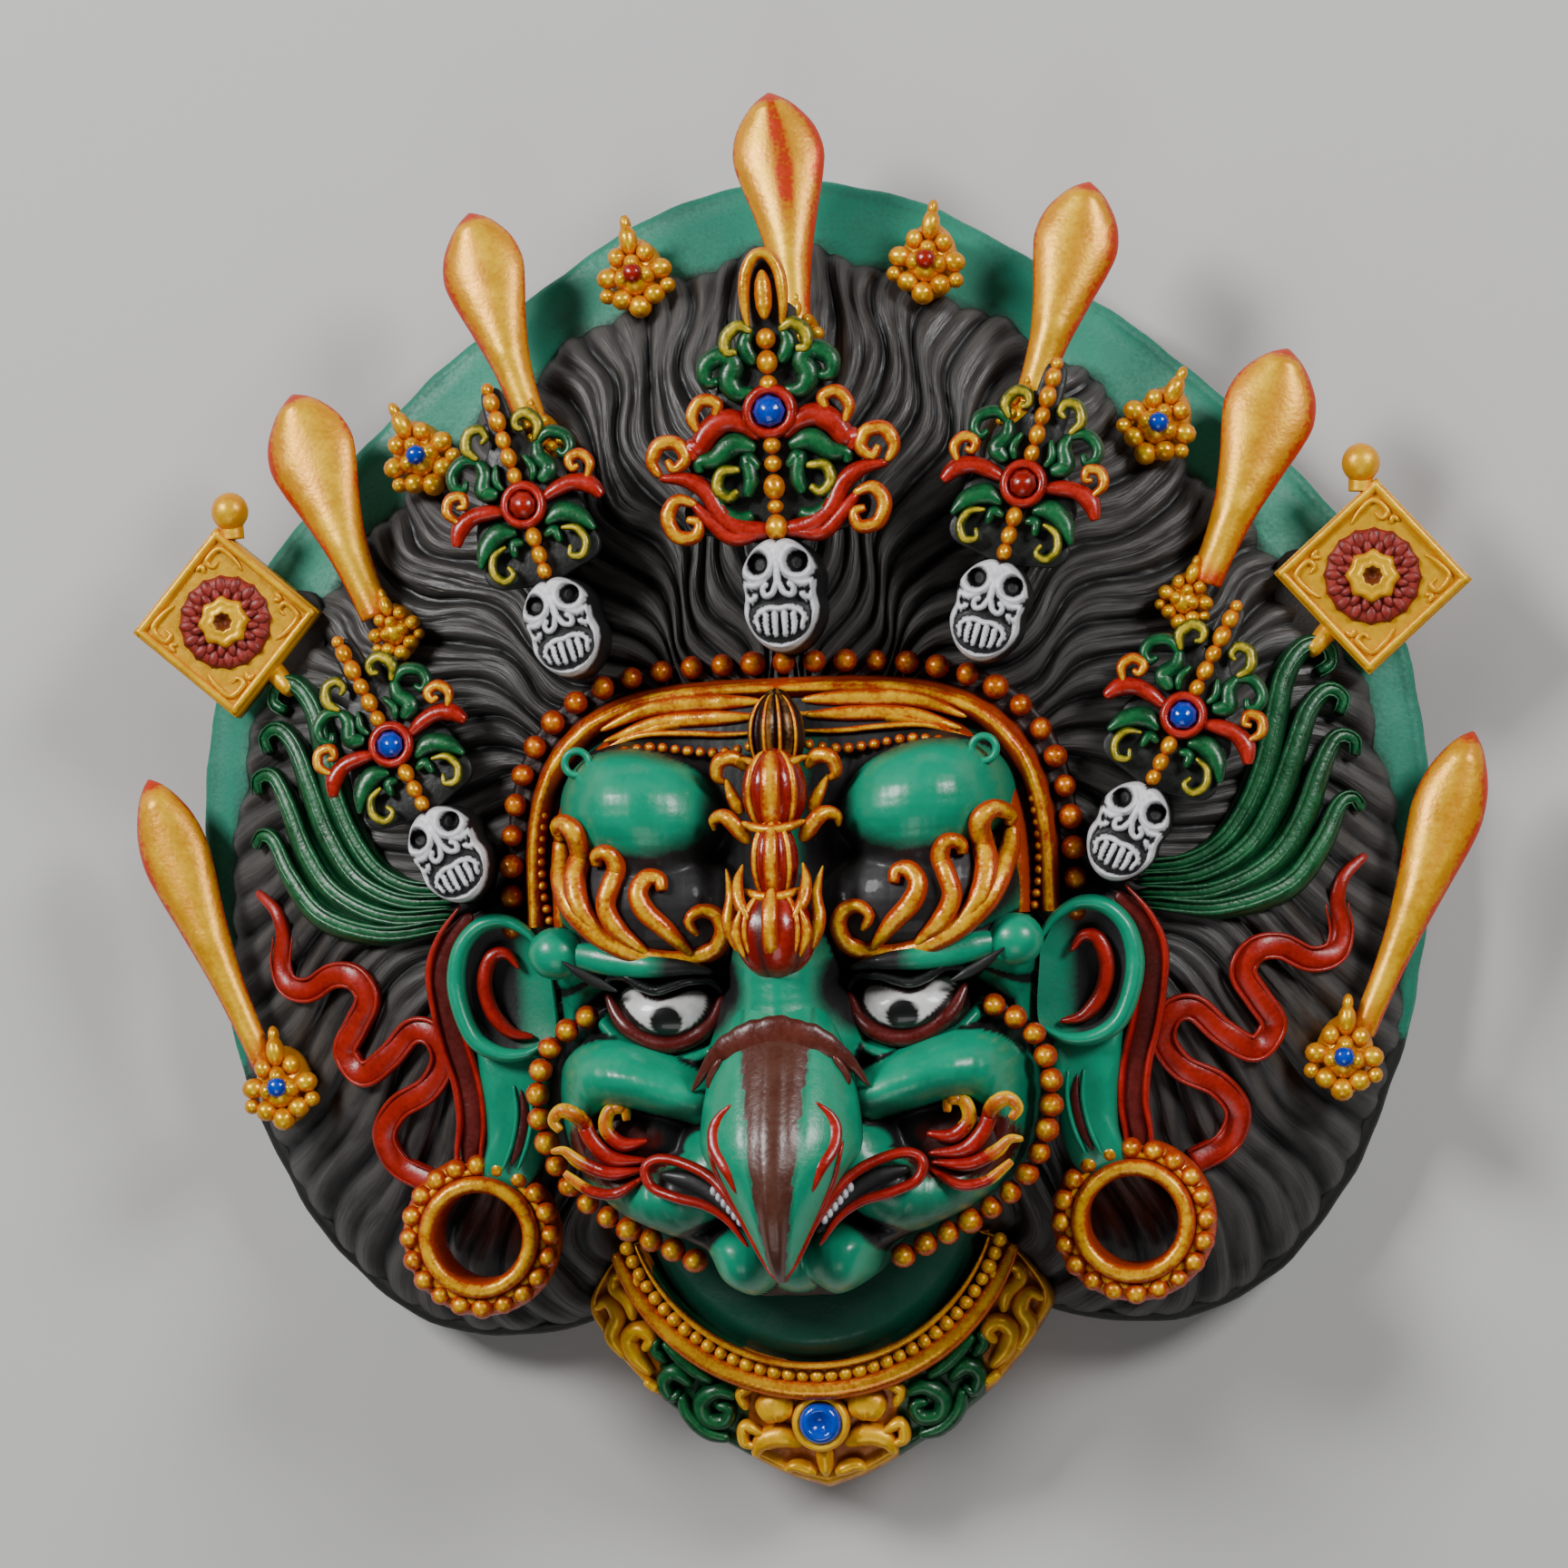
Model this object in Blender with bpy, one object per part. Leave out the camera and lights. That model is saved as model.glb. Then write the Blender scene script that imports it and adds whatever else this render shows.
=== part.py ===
"""A painted resin wall mask of a beaked guardian, cast in one piece with a hollow back.

It lies on its back: +Z comes out of the face, +Y runs up to the crown and +X to the
viewer's right. The origin is on the back, under the middle of the mask. Sizes are in
millimetres, and MM turns them into Blender's metres when the mesh is made.
"""

import math

import bmesh
import bpy
import numpy as np

MM = 0.001

# The hair shell: a shallow dome with a flat green rim.
RIM_THICKNESS = 9.0
DOME_HEIGHT = 33.0
OUTLINE_ANGLES = (0, 12, 28, 44, 58, 72, 85, 96, 108, 120, 130, 138, 146, 154, 163, 180)
OUTLINE_RADII = (98, 95.6, 91, 90.4, 92.8, 97.6, 99, 100, 102.5, 105.6, 108, 108.6, 105.5, 97, 86, 80)
LOBE_ANGLE = 135
LOCK_COUNT = 60
LOCK_RELIEF = 2.0
LOCK_WAVE = 2.4
LOCK_RINGS = 9
HAIR_STEP = 1.6
RIM_SHARE = 0.13

# The back: a flat land to hang by, around a hollow with a wall of one thickness.
WALL = 6.5
LAND_SHARE = 0.80
HANGER_RADIUS = 3.0
HANGER_DEPTH = 7.0
HANGER_Y = 87.0

# The diadem: an arch of beads over two bands.
ARCH_HALF_WIDTH = 44.3
ARCH_RISE = 40.0
ARCH_FOOT_Y = -21.0
ARCH_POWER = 3.4
ARCH_Z = 35.0
BEAD_RADIUS = 1.8
BEAD_PITCH = 4.8
BAND_INSETS = (4.2, 8.3)
BAND_RADIUS = 1.5

# The face, as bumps on |x|: centre x, centre y, radius x, radius y, top, depth.
HEAD_BUMP = (0, -26, 43, 52, 44, 18)
FACE_BUMPS = {
    "forehead boss": (21.5, -2.5, 13, 10, 54, 13),
    "brow shelf": (20, -18.5, 15.5, 8.5, 53.5, 10),
    "brow knob": (35.0, -26, 5, 5, 46, 10),
    "nose bridge": (0, -31, 8.5, 13, 60, 12),
    "cheek roll": (25.5, -43, 13, 7, 57, 13),
    "cheek end": (32, -47, 7, 8, 52, 12),
    "jaw": (22, -61, 16, 9, 51, 14),
    "upper lip": (9, -60, 9, 10, 59, 12),
    "chin": (7.4, -73, 6.4, 6.2, 56, 14),
}
EYE_SOCKET = (18, -34.5, 9.5, 5.6, 9)
CHEEK_HOLLOW = (28, -54.5, 7, 4, 4.5)
FACE_CENTRE_Y = -32
FACE_OUTLINE = (
    (0, 12), (20, 12), (33, 8), (38, -4), (38.5, -20), (38, -35), (37.5, -50), (35, -59),
    (30, -65), (22, -68.5), (14.5, -71.5), (12.5, -77), (6, -79.5), (0, -79),
)
EYE_BALL = (18, -34.8, 41, 8.0, 6.2, 8.6)
UPPER_LID = ((10.5, -33), (14.5, -30.5), (20, -30.8), (25.8, -30.8), (27.5, -33))
LOWER_LID = ((10.5, -33), (13.2, -37.2), (18.3, -39.4), (24, -37.4), (27.5, -33))

# The beak: y, half width, base z, top z at each station.
BEAK_STATIONS = (
    (-31, 5.5, 46, 58), (-37, 8.5, 46, 62), (-44, 10.8, 46, 66.5), (-51, 10.4, 46, 70),
    (-58, 8.8, 47, 72.5), (-64, 6.4, 49, 73), (-69, 4.0, 52, 71.5), (-73, 1.9, 56, 68.5),
    (-74.8, 0.6, 60, 65.5),
)
LIP = ((1.5, -72), (4.5, -67.5), (7.8, -62.2), (11, -58.6), (15.2, -56.6), (19.3, -56.3), (20.6, -58.4),
       (18.6, -61), (14.5, -62.6), (10.5, -63.6))
LIP_Z = (66, 65, 63, 61, 58, 55, 53, 53.5, 55.5, 58)

# The crest over the nose: y, half width, z of each bud, from the top down.
CREST_BUDS = ((7.5, 4.2, 46, 7), (-2, 5.0, 52, 6.5), (-12, 4.6, 56, 6.5), (-22, 6.4, 57.5, 7))
CREST_LEAVES = (
    ((3, -6), (6, -5), (8.8, -3.6)),
    ((4, -17), (7, -14), (8.8, -10.5)),
    ((3.5, 1), (6.5, 3), (8.5, 2)),
)

# Gold flames on the brow, each a curling stroke that starts at the brow's foot.
BROW_STROKES = (
    ((12.4, -21.8), (13.6, -20), (11.4, -19), (9.2, -20.6), (9.4, -23.6), (14.2, -26),
     (21, -25.3), (27, -22.8), (31.4, -18.2), (33.3, -12.6), (33.6, -7)),
    ((14.5, -25), (18, -20.6), (20.9, -17), (20, -14.3), (18, -14.9)),
    ((21.5, -25), (26, -20), (26.3, -15.8), (24.8, -12.4), (25.6, -10), (27.4, -11.2)),
    ((27.5, -22.5), (31.4, -16.5), (31.2, -12), (30.8, -8), (31.8, -5.2), (34.4, -6)),
)
BROW_STROKE_RADIUS = 1.25

# The ears, the red straps behind them and the beaded ear tunnels.
EAR_HELIX = ((38.5, -27.5), (40.2, -23.2), (43.5, -20.4), (47.5, -19.7), (51, -22), (52.9, -27), (52.2, -33),
             (50.2, -38.6), (46.4, -41.3), (41.5, -41), (38, -38.6))
EAR_LOBE = ((47.2, -40), (47, -46), (46.6, -53), (47, -59.5))
EAR_Z = 37
HELIX_RADIUS = 1.7
LOBE_HALF_WIDTH = 3.6
CONCHA = ((44, -25), (47, -26.2), (48, -30), (46.8, -34.6), (44, -37.4))
STRAP = ((51.2, -19), (54.3, -24), (55.2, -31), (53.2, -41), (51.4, -51), (51.8, -59))
STRAP_HALF_WIDTH = 2.2
TUNNEL_CENTRE = (51.4, -69.4)
TUNNEL_Z = 35
TUNNEL_HOLE_RADIUS = 7.0
TUNNEL_WALL = 1.9
TUNNEL_BEADS = 20
TUNNEL_BEAD_RADIUS = 1.75

# The beaded string along the jaw.
JAW_STRING = ((31, -34.2), (34.8, -36.2), (38.4, -39.8), (40, -46), (39.4, -53), (36.6, -60), (31.6, -65),
              (25.5, -68.6), (18.5, -71.6), (15.4, -73.4))
JAW_STRING_Z = 41
JAW_BEAD_RADIUS = 1.8

# Blades: base, tip, half width at the widest, z at the base and at the tip.
BLADES = {
    "top": ((3.0, 69), (-0.7, 109.6), 7.2, 29, 21),
    "upper": ((39.0, 56), (49.6, 93.2), 6.6, 27, 20),
    "middle": ((66.0, 29), (79.8, 65.6), 7.2, 26, 19),
    "lower": ((87.6, -41), (106.4, 4.4), 5.6, 22, 16),
}
BLADE_THICKNESS = 6.0
BLADE_STATIONS = (0, 0.15, 0.32, 0.5, 0.64, 0.75, 0.85, 0.93, 0.98, 1)
BLADE_WIDTHS = (0.40, 0.40, 0.47, 0.70, 0.93, 1.0, 0.88, 0.60, 0.30, 0.04)

# Square banners on the rim.
BANNER_CENTRE = (91.6, 29.2)
BANNER_SIDE = 21.5
BANNER_TURN = 41
BANNER_Z = 22
BANNER_THICKNESS = 4.5
BANNER_FRAME = 1.6
FRAME_RISE = 1.1
ROSETTE_RADIUS = 7.4
ROSETTE_RISE = 1.4
ROSETTE_HUB_RADIUS = 3.6
KNOB_RADIUS = 2.9
KNOB_PLACE = (90.2, 47.2)
POLE_FOOT = (80.5, 16.5)

# Green plumes and red ribbons on the hair.
PLUMES = (
    ((54, -15), (62, -14.8), (69, -11), (74, -3), (76, 6), (77.8, 14), (81.4, 20),
     (84.4, 17.2), (82.6, 14.6)),
    ((54, -17), (64, -17), (72, -12.5), (77, -4), (80, 5), (83.4, 10.6), (86.2, 9), (85.4, 6.6)),
    ((54, -19), (66, -19.6), (75.5, -14.6), (80.4, -7), (83, 1.4), (86.2, 3.8), (88, 1.6)),
    ((55, -20.6), (68, -21.8), (78.6, -16.6), (83.6, -8.6), (86, -4.6), (88.2, -5.8)),
)
PLUME_HALF_WIDTH = 2.0
RIBBON = (
    (88.7, -14.6), (84.7, -18.8), (84.4, -23.7), (84.2, -29.2), (80.4, -30.4), (75.6, -27.8), (71.2, -28.6),
    (69.4, -32), (72, -36), (73.8, -40.6), (70.4, -44), (66, -40.8), (61.8, -36.6), (57.7, -38), (57, -42.6),
    (60, -46.5), (65.6, -49.6), (68, -54.4), (65.4, -59.4), (60, -61.6),
)
RIBBON_HALF_WIDTH = 1.9

# Leaf crests on skulls: foot, top, z at the foot and at the top, share of the full width.
CRESTS = {
    "middle": ((1.2, 38), (0, 81.5), 46, 44, 1.0),
    "inner": ((35.2, 33.5), (44.6, 63.5), 43, 38, 0.76),
    "outer": ((56.6, -2.2), (70.8, 25.4), 39, 34, 0.76),
}
CREST_LENGTH = 43.5
CREST_LEAF = (
    (1.6, -1), (6.2, 0.8), (8.6, 2.6), (12.4, 0.2), (15.2, 1.6), (15.8, 5), (13, 7),
    (16.8, 8.8), (18.4, 12.4),
    (15.6, 15.2), (12, 15.6), (11.2, 17.4), (11, 20.4), (8, 21.2), (9, 24.8), (6.6, 27.6), (5.6, 30.6),
    (3.4, 31.8), (3.6, 38), (2.2, 42), (0, 43.5),
)
CREST_THICKNESS = 3.2
CREST_BEVEL = 1.0
CREST_FOOT = 24.0
CREST_STEM = (1.8, 5.8, 9.8, 13.6, 18.8, 24, 28, 32, 36.5, 41)
CREST_STEM_RADIUS = 1.7
CREST_GEM_RADIUS = 3.6
SKULL_SIZE = (6.0, 9.0)
SKULL_DROP = 8.8
SKULL_SHARE = 0.92

# Gold flower clusters: centre, direction of the point, z, size.
CLUSTERS = (
    ((23.2, 82.0), (0.2, 1), 21, 1.0),
    ((59.2, 54.4), (0.45, 0.9), 22, 1.0),
    ((63.0, 27.0), (0.3, 0.95), 28, 0.8),
    ((84.4, -46.6), (0.2, 1), 25, 1.0),
)
PETALS = ((0, 5.4, 1.6, 3.0), (-3.9, 0.6, 2.5, 1.9), (3.9, 0.6, 2.5, 1.9), (-2.7, -3.5, 2.1, 2.1),
          (2.7, -3.5, 2.1, 2.1), (0, -4.8, 1.9, 2.2), (0, 0, 2.6, 2.9))

# The collar: a pointed shield around the neck.
COLLAR_CENTRE_Y = -62
COLLAR_INNER_RADIUS = 29.5
COLLAR_BAND_RADIUS = 33.2
COLLAR_OUTLINE = (
    (25.6, -72), (31, -73.6), (37.4, -81.6), (35.4, -87), (29.6, -94.6), (22.4, -101.2),
    (14.2, -106.6), (6.4, -110.8), (0, -113.2),
)
COLLAR_Z = 24
COLLAR_DROP = 9
COLLAR_GEM = (0, -101.4)
COLLAR_LUMPS = ((7.4, -100.4, 3.4, 2.8), (5, -106.4, 3.6, 2.3), (16, -98.6, 3.8, 2.8), (22.4, -94.4, 4, 2.6),
                (27.6, -88.6, 3, 4), (32.2, -82.6, 2.4, 3.6), (0, -107.6, 1.8, 3.2))
NECK_RADIUS = 30.5

# The lengths above are measured from the middle of the hair shell; this is the mask's own middle.
MIDDLE_Y = -1.8

# How the fused carving is meshed.
FLOOR = -3.0
VOXEL = 0.9
CARVING_TRIANGLES = 5200
FRONT_TRIANGLES = 9000
WELD = 0.01
CUT_PASSES = 6

BODY_COLOUR = (0.03, 0.2, 0.14, 1)


def smooth_path(points, samples):
    """A curve through the points (Catmull-Rom), as an array of that many samples."""
    p = np.asarray(points, float)
    p = np.vstack([2 * p[0] - p[1], p, 2 * p[-1] - p[-2]])
    t = np.linspace(0, len(p) - 3 - 1e-9, samples)
    i = t.astype(int)
    f = (t - i)[:, None]
    a, b, c, d = p[i], p[i + 1], p[i + 2], p[i + 3]
    return 0.5 * (2 * b + (c - a) * f + (2 * a - 5 * b + 4 * c - d) * f**2 + (3 * b - a - 3 * c + d) * f**3)


def evenly(path, pitch):
    """Points along a path, one every pitch or so, as near as the whole length allows."""
    steps = np.linalg.norm(np.diff(path, axis=0), axis=1)
    along = np.concatenate([[0], np.cumsum(steps)])
    count = max(2, round(along[-1] / pitch) + 1)
    wanted = np.linspace(0, along[-1], count)
    return np.stack([np.interp(wanted, along, path[:, k]) for k in range(path.shape[1])], axis=1)


def outline_radius(angle):
    """The hair shell's outer radius, at an angle from the crown in degrees."""
    knots = smooth_path(np.stack([OUTLINE_ANGLES, OUTLINE_RADII], axis=1), 200)
    return np.interp(np.abs(angle), knots[:, 0], knots[:, 1])


def polar(x, y):
    """Angle from the crown in degrees, and distance as a share of the outline."""
    angle = np.degrees(np.arctan2(x, y))
    return angle, np.hypot(x, y) / outline_radius(angle)


def dome(x, y):
    """The hair shell without its locks: steeper at the lobes beside the neck."""
    angle, share = polar(x, y)
    lobe = np.exp(-(((np.abs(angle) - LOBE_ANGLE) / 30) ** 2))
    return RIM_THICKNESS + (DOME_HEIGHT - RIM_THICKNESS) * (1 - np.minimum(share, 1) ** (2.3 + 1.5 * lobe))


def hair_edge(angle):
    """Where the hair ends on the green rim, as a share of the outline: none is left at the lobes."""
    side = np.abs(angle)
    bare = np.clip((115 - side) / 50, 0, 1)
    return 0.985 - (RIM_SHARE - 0.015) * bare + 0.012 * bare * np.sin(side * 0.55)


def lock_turn(angle, share):
    """How far a lock has swung, in degrees: it waves on the crown and sweeps down on the lobes."""
    side = np.abs(angle)
    down = np.clip((side - 70) / 60, 0, 1)
    radius = np.maximum(share, 0.3) * outline_radius(angle)
    wave = np.degrees(LOCK_WAVE / radius) * np.sin(share * 17 + side * 0.11)
    sweep = 22 * down * (share**2 - 0.3) * np.clip((178 - side) / 20, 0, 1)
    return np.sign(angle) * (wave * np.clip(side / 8, 0, 1) + sweep)


def bump(x, y, cx, cy, rx, ry, top, depth):
    """A half ellipsoid that falls away outside its rim."""
    d = np.sqrt(((x - cx) / rx) ** 2 + ((y - cy) / ry) ** 2)
    return top - depth * (1 - np.sqrt(np.clip(1 - d**2, 0, 1))) - 1.5 * depth * np.clip(d - 1, 0, None)


def soft_max(a, b, blend=1.2):
    """The higher of two surfaces, with the crease between them filled a little."""
    return 0.5 * (a + b + np.sqrt((a - b) ** 2 + blend**2))


def dent(x, y, cx, cy, rx, ry, depth):
    return depth * np.exp(-(((x - cx) / rx) ** 2) - ((y - cy) / ry) ** 2)


def face(x, y):
    """The face as one height over x and y."""
    side = np.abs(x)
    z = bump(side, y, *HEAD_BUMP)
    for shape in FACE_BUMPS.values():
        z = soft_max(z, bump(side, y, *shape))
    return z - dent(side, y, *EYE_SOCKET) - dent(side, y, *CHEEK_HOLLOW)


def arch(inset, samples=200):
    """The diadem's line, left foot to right foot, set in from the bead row."""
    t = np.linspace(-math.pi / 2, math.pi / 2, samples)
    power = 2 / ARCH_POWER
    x = (ARCH_HALF_WIDTH - inset) * np.sign(np.sin(t)) * np.abs(np.sin(t)) ** power
    y = ARCH_FOOT_Y + (ARCH_RISE - inset) * np.abs(np.cos(t)) ** power
    return np.stack([x, y], axis=1)


def grid_faces(rows, columns, closed):
    """Quads between neighbouring rows of points; closed joins the last column to the first."""
    last = columns if closed else columns - 1
    return [
        (r * columns + c, r * columns + (c + 1) % columns,
         (r + 1) * columns + (c + 1) % columns, (r + 1) * columns + c)
        for r in range(rows - 1)
        for c in range(last)
    ]


def slab(outline, centre, height, rings=12, floor=FLOOR):
    """A closed block over an outline: its top is height(x, y) and its underside is flat."""
    outline = np.asarray(outline, float)
    centre = np.asarray(centre, float)
    shares = np.linspace(1, 0.04, rings)[:, None, None]
    flat = (centre + (outline - centre) * shares).reshape(-1, 2)
    top = np.column_stack([flat, height(flat[:, 0], flat[:, 1])])
    bottom = np.column_stack([outline, np.full(len(outline), floor)])
    points = np.vstack([bottom, top])
    count = len(outline)
    faces = grid_faces(rings + 1, count, True)
    faces.append(tuple(range(count - 1, -1, -1)))
    faces.append(tuple(rings * count + k for k in range(count)))
    return points, faces


def tube(path, half_width, half_height, sides=8):
    """A closed bar with an oval section, wide across the path and high along z."""
    path = np.asarray(path, float)
    count = len(path)
    along = np.gradient(path, axis=0)
    across = np.cross(along, (0, 0, 1))
    across /= np.linalg.norm(across, axis=1)[:, None]
    raised = np.cross(across, along)
    raised /= np.linalg.norm(raised, axis=1)[:, None]
    turn = np.linspace(0, 2 * math.pi, sides, endpoint=False)
    wide = np.broadcast_to(half_width, count)[:, None, None] * np.cos(turn)[None, :, None]
    high = np.broadcast_to(half_height, count)[:, None, None] * np.sin(turn)[None, :, None]
    points = path[:, None] + across[:, None] * wide + raised[:, None] * high
    faces = grid_faces(count, sides, True)
    faces.append(tuple(range(sides - 1, -1, -1)))
    faces.append(tuple((count - 1) * sides + k for k in range(sides)))
    return points.reshape(-1, 3), faces


def ball(centre, radii, turn=0.0, segments=10, rings=7):
    """An ellipsoid, turned about z."""
    lat = np.linspace(-math.pi / 2 + 0.12, math.pi / 2 - 0.12, rings)
    lon = np.linspace(0, 2 * math.pi, segments, endpoint=False)
    x = np.cos(lat)[:, None] * np.cos(lon) * radii[0]
    y = np.cos(lat)[:, None] * np.sin(lon) * radii[1]
    z = np.sin(lat)[:, None] * radii[2] + 0 * lon
    c, s = math.cos(turn), math.sin(turn)
    points = np.stack([x * c - y * s, x * s + y * c, z], axis=2).reshape(-1, 3) + np.asarray(centre, float)
    faces = grid_faces(rings, segments, True)
    faces.append(tuple(range(segments - 1, -1, -1)))
    faces.append(tuple((rings - 1) * segments + k for k in range(segments)))
    return points, faces


def mirrored(shape):
    """The same shape on the other side of the mask, with its faces turned back out."""
    points, faces = shape
    return points * (-1, 1, 1), [tuple(reversed(f)) for f in faces]


def both(shapes):
    return shapes + [mirrored(s) for s in shapes]


def lifted(points, samples, z):
    """A smooth path over the mask at a height: a number, one per point, or a surface."""
    flat = np.asarray(points, float)
    if callable(z):
        path = smooth_path(flat, samples)
        return np.column_stack([path, z(path[:, 0], path[:, 1])])
    heights = np.broadcast_to(z, len(flat))
    return smooth_path(np.column_stack([flat, heights]), samples)


def tapered(samples, start, end):
    """Full size in the middle, and these shares of it at the two ends."""
    t = np.linspace(0, 1, samples)
    return np.minimum(1, np.minimum(start + (1 - start) * t * 6, end + (1 - end) * (1 - t) * 6))


def hair_shell():
    """The dome as rings of points, with one column on every ridge and one in every valley."""
    columns = 2 * LOCK_COUNT
    angle = np.linspace(180, -180, columns, endpoint=False)
    ridge = LOCK_RELIEF * (np.arange(columns) % 2 - 0.5)
    rows = []
    for u in np.linspace(0, 1, LOCK_RINGS):
        turned = angle + lock_turn(angle, 0.1 + 0.85 * u)
        share = 0.1 + (hair_edge(turned) - 0.1) * u
        fade = min(1, 0.4 + 3 * (1 - u))
        rows.append(ring(turned, share, HAIR_STEP + ridge * fade))
    rows.append(ring(turned, share + 0.012, 0))
    rows.append(ring(turned, np.ones(columns), 0))
    rows.append(np.column_stack([rows[-1][:, :2], np.full(columns, FLOOR)]))
    faces = grid_faces(len(rows), columns, True)
    faces.append(tuple(range(columns - 1, -1, -1)))
    faces.append(tuple((len(rows) - 1) * columns + k for k in range(columns)))
    return [(np.vstack(rows), faces)]


def ring(angle, share, lift):
    """Points around the dome at a share of its outline, lifted off its surface."""
    radius = share * outline_radius(angle)
    x = radius * np.sin(np.radians(angle))
    y = radius * np.cos(np.radians(angle))
    return np.column_stack([x, y, dome(x, y) + lift])


def mirrored_outline(half, samples):
    """A closed outline from its right half, listed from the top down."""
    right = smooth_path(half, samples)
    left = right[1:-1][::-1] * (-1, 1)
    return np.vstack([right, left])[::-1]


def head():
    outline = mirrored_outline(FACE_OUTLINE, 60)
    shapes = [slab(outline, (0, FACE_CENTRE_Y), face, rings=60)]
    x, y, z, rx, ry, rz = EYE_BALL
    lids = [tube(lifted(line, 14, 49), 1.1, 1.6) for line in (UPPER_LID, LOWER_LID)]
    shapes += both([ball((x, y, z), (rx, ry, rz)), *lids])
    return shapes + beak() + both([tube(lifted(LIP, 24, LIP_Z), 1.3, 1.5)])


def beak():
    """A hooked ridge: each station is an oval that keeps its base and top heights."""
    y, wide, base, top = smooth_path(BEAK_STATIONS, 24).T
    turn = np.linspace(0, 2 * math.pi, 14, endpoint=False)
    x = wide[:, None] * np.cos(turn)
    z = (top + base)[:, None] / 2 + (top - base)[:, None] / 2 * np.sin(turn)
    points = np.stack([x, y[:, None] + 0 * x, z], axis=2).reshape(-1, 3)
    faces = [tuple(reversed(f)) for f in grid_faces(len(y), 14, True)]
    faces.append(tuple(range(14)))
    faces.append(tuple((len(y) - 1) * 14 + k for k in range(13, -1, -1)))
    return [(points, [tuple(reversed(f)) for f in faces])]


def crest_and_brows():
    shapes = [ball((0, y, z), (wide, long, 6)) for y, wide, z, long in CREST_BUDS]
    leaves = [tube(lifted(leaf, 8, 53), 1.5, 1.8) for leaf in CREST_LEAVES]
    strokes = [
        tube(lifted(stroke, 26, lambda x, y: face(x, y) + 0.6), BROW_STROKE_RADIUS, BROW_STROKE_RADIUS + 0.3)
        for stroke in BROW_STROKES
    ]
    return shapes + both(leaves + strokes)


def diadem():
    beads = evenly(arch(0), BEAD_PITCH)
    radii = (BEAD_RADIUS, BEAD_RADIUS, BEAD_RADIUS * 1.4)
    shapes = [ball((x, y, ARCH_Z), radii, segments=8) for x, y in beads]
    plate = np.vstack([arch(1.2, 60), [(0, ARCH_FOOT_Y - 6)]])[::-1]
    shapes.append(slab(plate, (0, 0), lambda x, y: ARCH_Z - 0.5 + 0 * x, rings=3))
    for rank, inset in enumerate(BAND_INSETS):
        line = arch(inset, 70)
        path = np.column_stack([line, np.full(len(line), ARCH_Z + 1.5 * rank)])
        shapes.append(tube(path, BAND_RADIUS, BAND_RADIUS + 0.8))
    return shapes


def ears():
    samples = 26
    helix = tube(lifted(EAR_HELIX, samples, EAR_Z), HELIX_RADIUS, HELIX_RADIUS + 1)
    rim = smooth_path(EAR_HELIX + (EAR_HELIX[0],), 30)[::-1]
    floor = slab(rim, (45, -30), lambda x, y: EAR_Z - 2 + 0 * x, 3)
    lobe = tube(lifted(EAR_LOBE, 12, EAR_Z - 3), LOBE_HALF_WIDTH, 3.2)
    strap = tube(lifted(STRAP, 16, lambda x, y: dome(x, y) + 3), STRAP_HALF_WIDTH, 2.8)
    fold = tube(lifted(CONCHA, 12, EAR_Z - 2.4), 0.9, 1.6)
    return both([helix, floor, lobe, strap, fold])


def ring_points(radius, count):
    turn = np.linspace(0, 2 * math.pi, count, endpoint=False)
    x, y = TUNNEL_CENTRE
    return np.stack([x + radius * np.cos(turn), y + radius * np.sin(turn)], axis=1)


def hoop(inner, outer, bottom, top):
    """A closed upright wall between two outlines of as many points."""
    rims = [(inner, bottom), (outer, bottom), (outer, top), (inner, top)]
    count = len(inner)
    rows = [np.column_stack([flat, np.full(count, z)]) for flat, z in rims]
    faces = grid_faces(4, count, True)
    faces += [(3 * count + k, 3 * count + (k + 1) % count, (k + 1) % count, k) for k in range(count)]
    return np.vstack(rows), faces


def ear_tunnels():
    outer = TUNNEL_HOLE_RADIUS + TUNNEL_WALL
    row = outer + TUNNEL_BEAD_RADIUS * 0.75
    base = dome(*TUNNEL_CENTRE) - 8
    shapes = [
        hoop(ring_points(TUNNEL_HOLE_RADIUS, 36), ring_points(outer, 36), base, TUNNEL_Z + 1.5),
        hoop(ring_points(outer - 0.5, 36), ring_points(row + 0.6, 36), base, TUNNEL_Z - 1),
    ]
    size = (TUNNEL_BEAD_RADIUS,) * 3
    shapes += [ball((x, y, TUNNEL_Z - 0.6), size, segments=8) for x, y in ring_points(row, TUNNEL_BEADS)]
    return both(shapes)


def jaw_string():
    beads = evenly(smooth_path(JAW_STRING, 120), JAW_BEAD_RADIUS * 2.15)
    size = (JAW_BEAD_RADIUS, JAW_BEAD_RADIUS, JAW_BEAD_RADIUS * 1.6)
    return both([ball((x, y, JAW_STRING_Z), size, segments=8) for x, y in beads])


def blade(base, tip, half_width, base_z, tip_z):
    """A spoon-shaped blade: narrow at its foot, widest at three quarters, pointed at its tip."""
    stations = np.array(BLADE_STATIONS)
    start = np.array([*base, base_z], float)
    end = np.array([*tip, tip_z], float)
    wide = np.array(BLADE_WIDTHS)
    path = start + (end - start) * stations[:, None]
    high = BLADE_THICKNESS / 2 * np.clip(wide * 1.6, 0.08, 1)
    return tube(path, np.maximum(wide * half_width, 0.3), high, sides=8)


def blades():
    shapes = [blade(*BLADES["top"])]
    return shapes + both([blade(*BLADES[name]) for name in ("upper", "middle", "lower")])


def local_frame(place, turn, z):
    """A function that carries points from a piece's own axes to its place on the mask."""
    c, s = math.cos(turn), math.sin(turn)

    def carry(shape):
        points, faces = shape
        x, y = points[:, 0], points[:, 1]
        moved = np.column_stack([place[0] + x * c - y * s, place[1] + x * s + y * c, points[:, 2] + z])
        return moved, faces

    return carry


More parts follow.
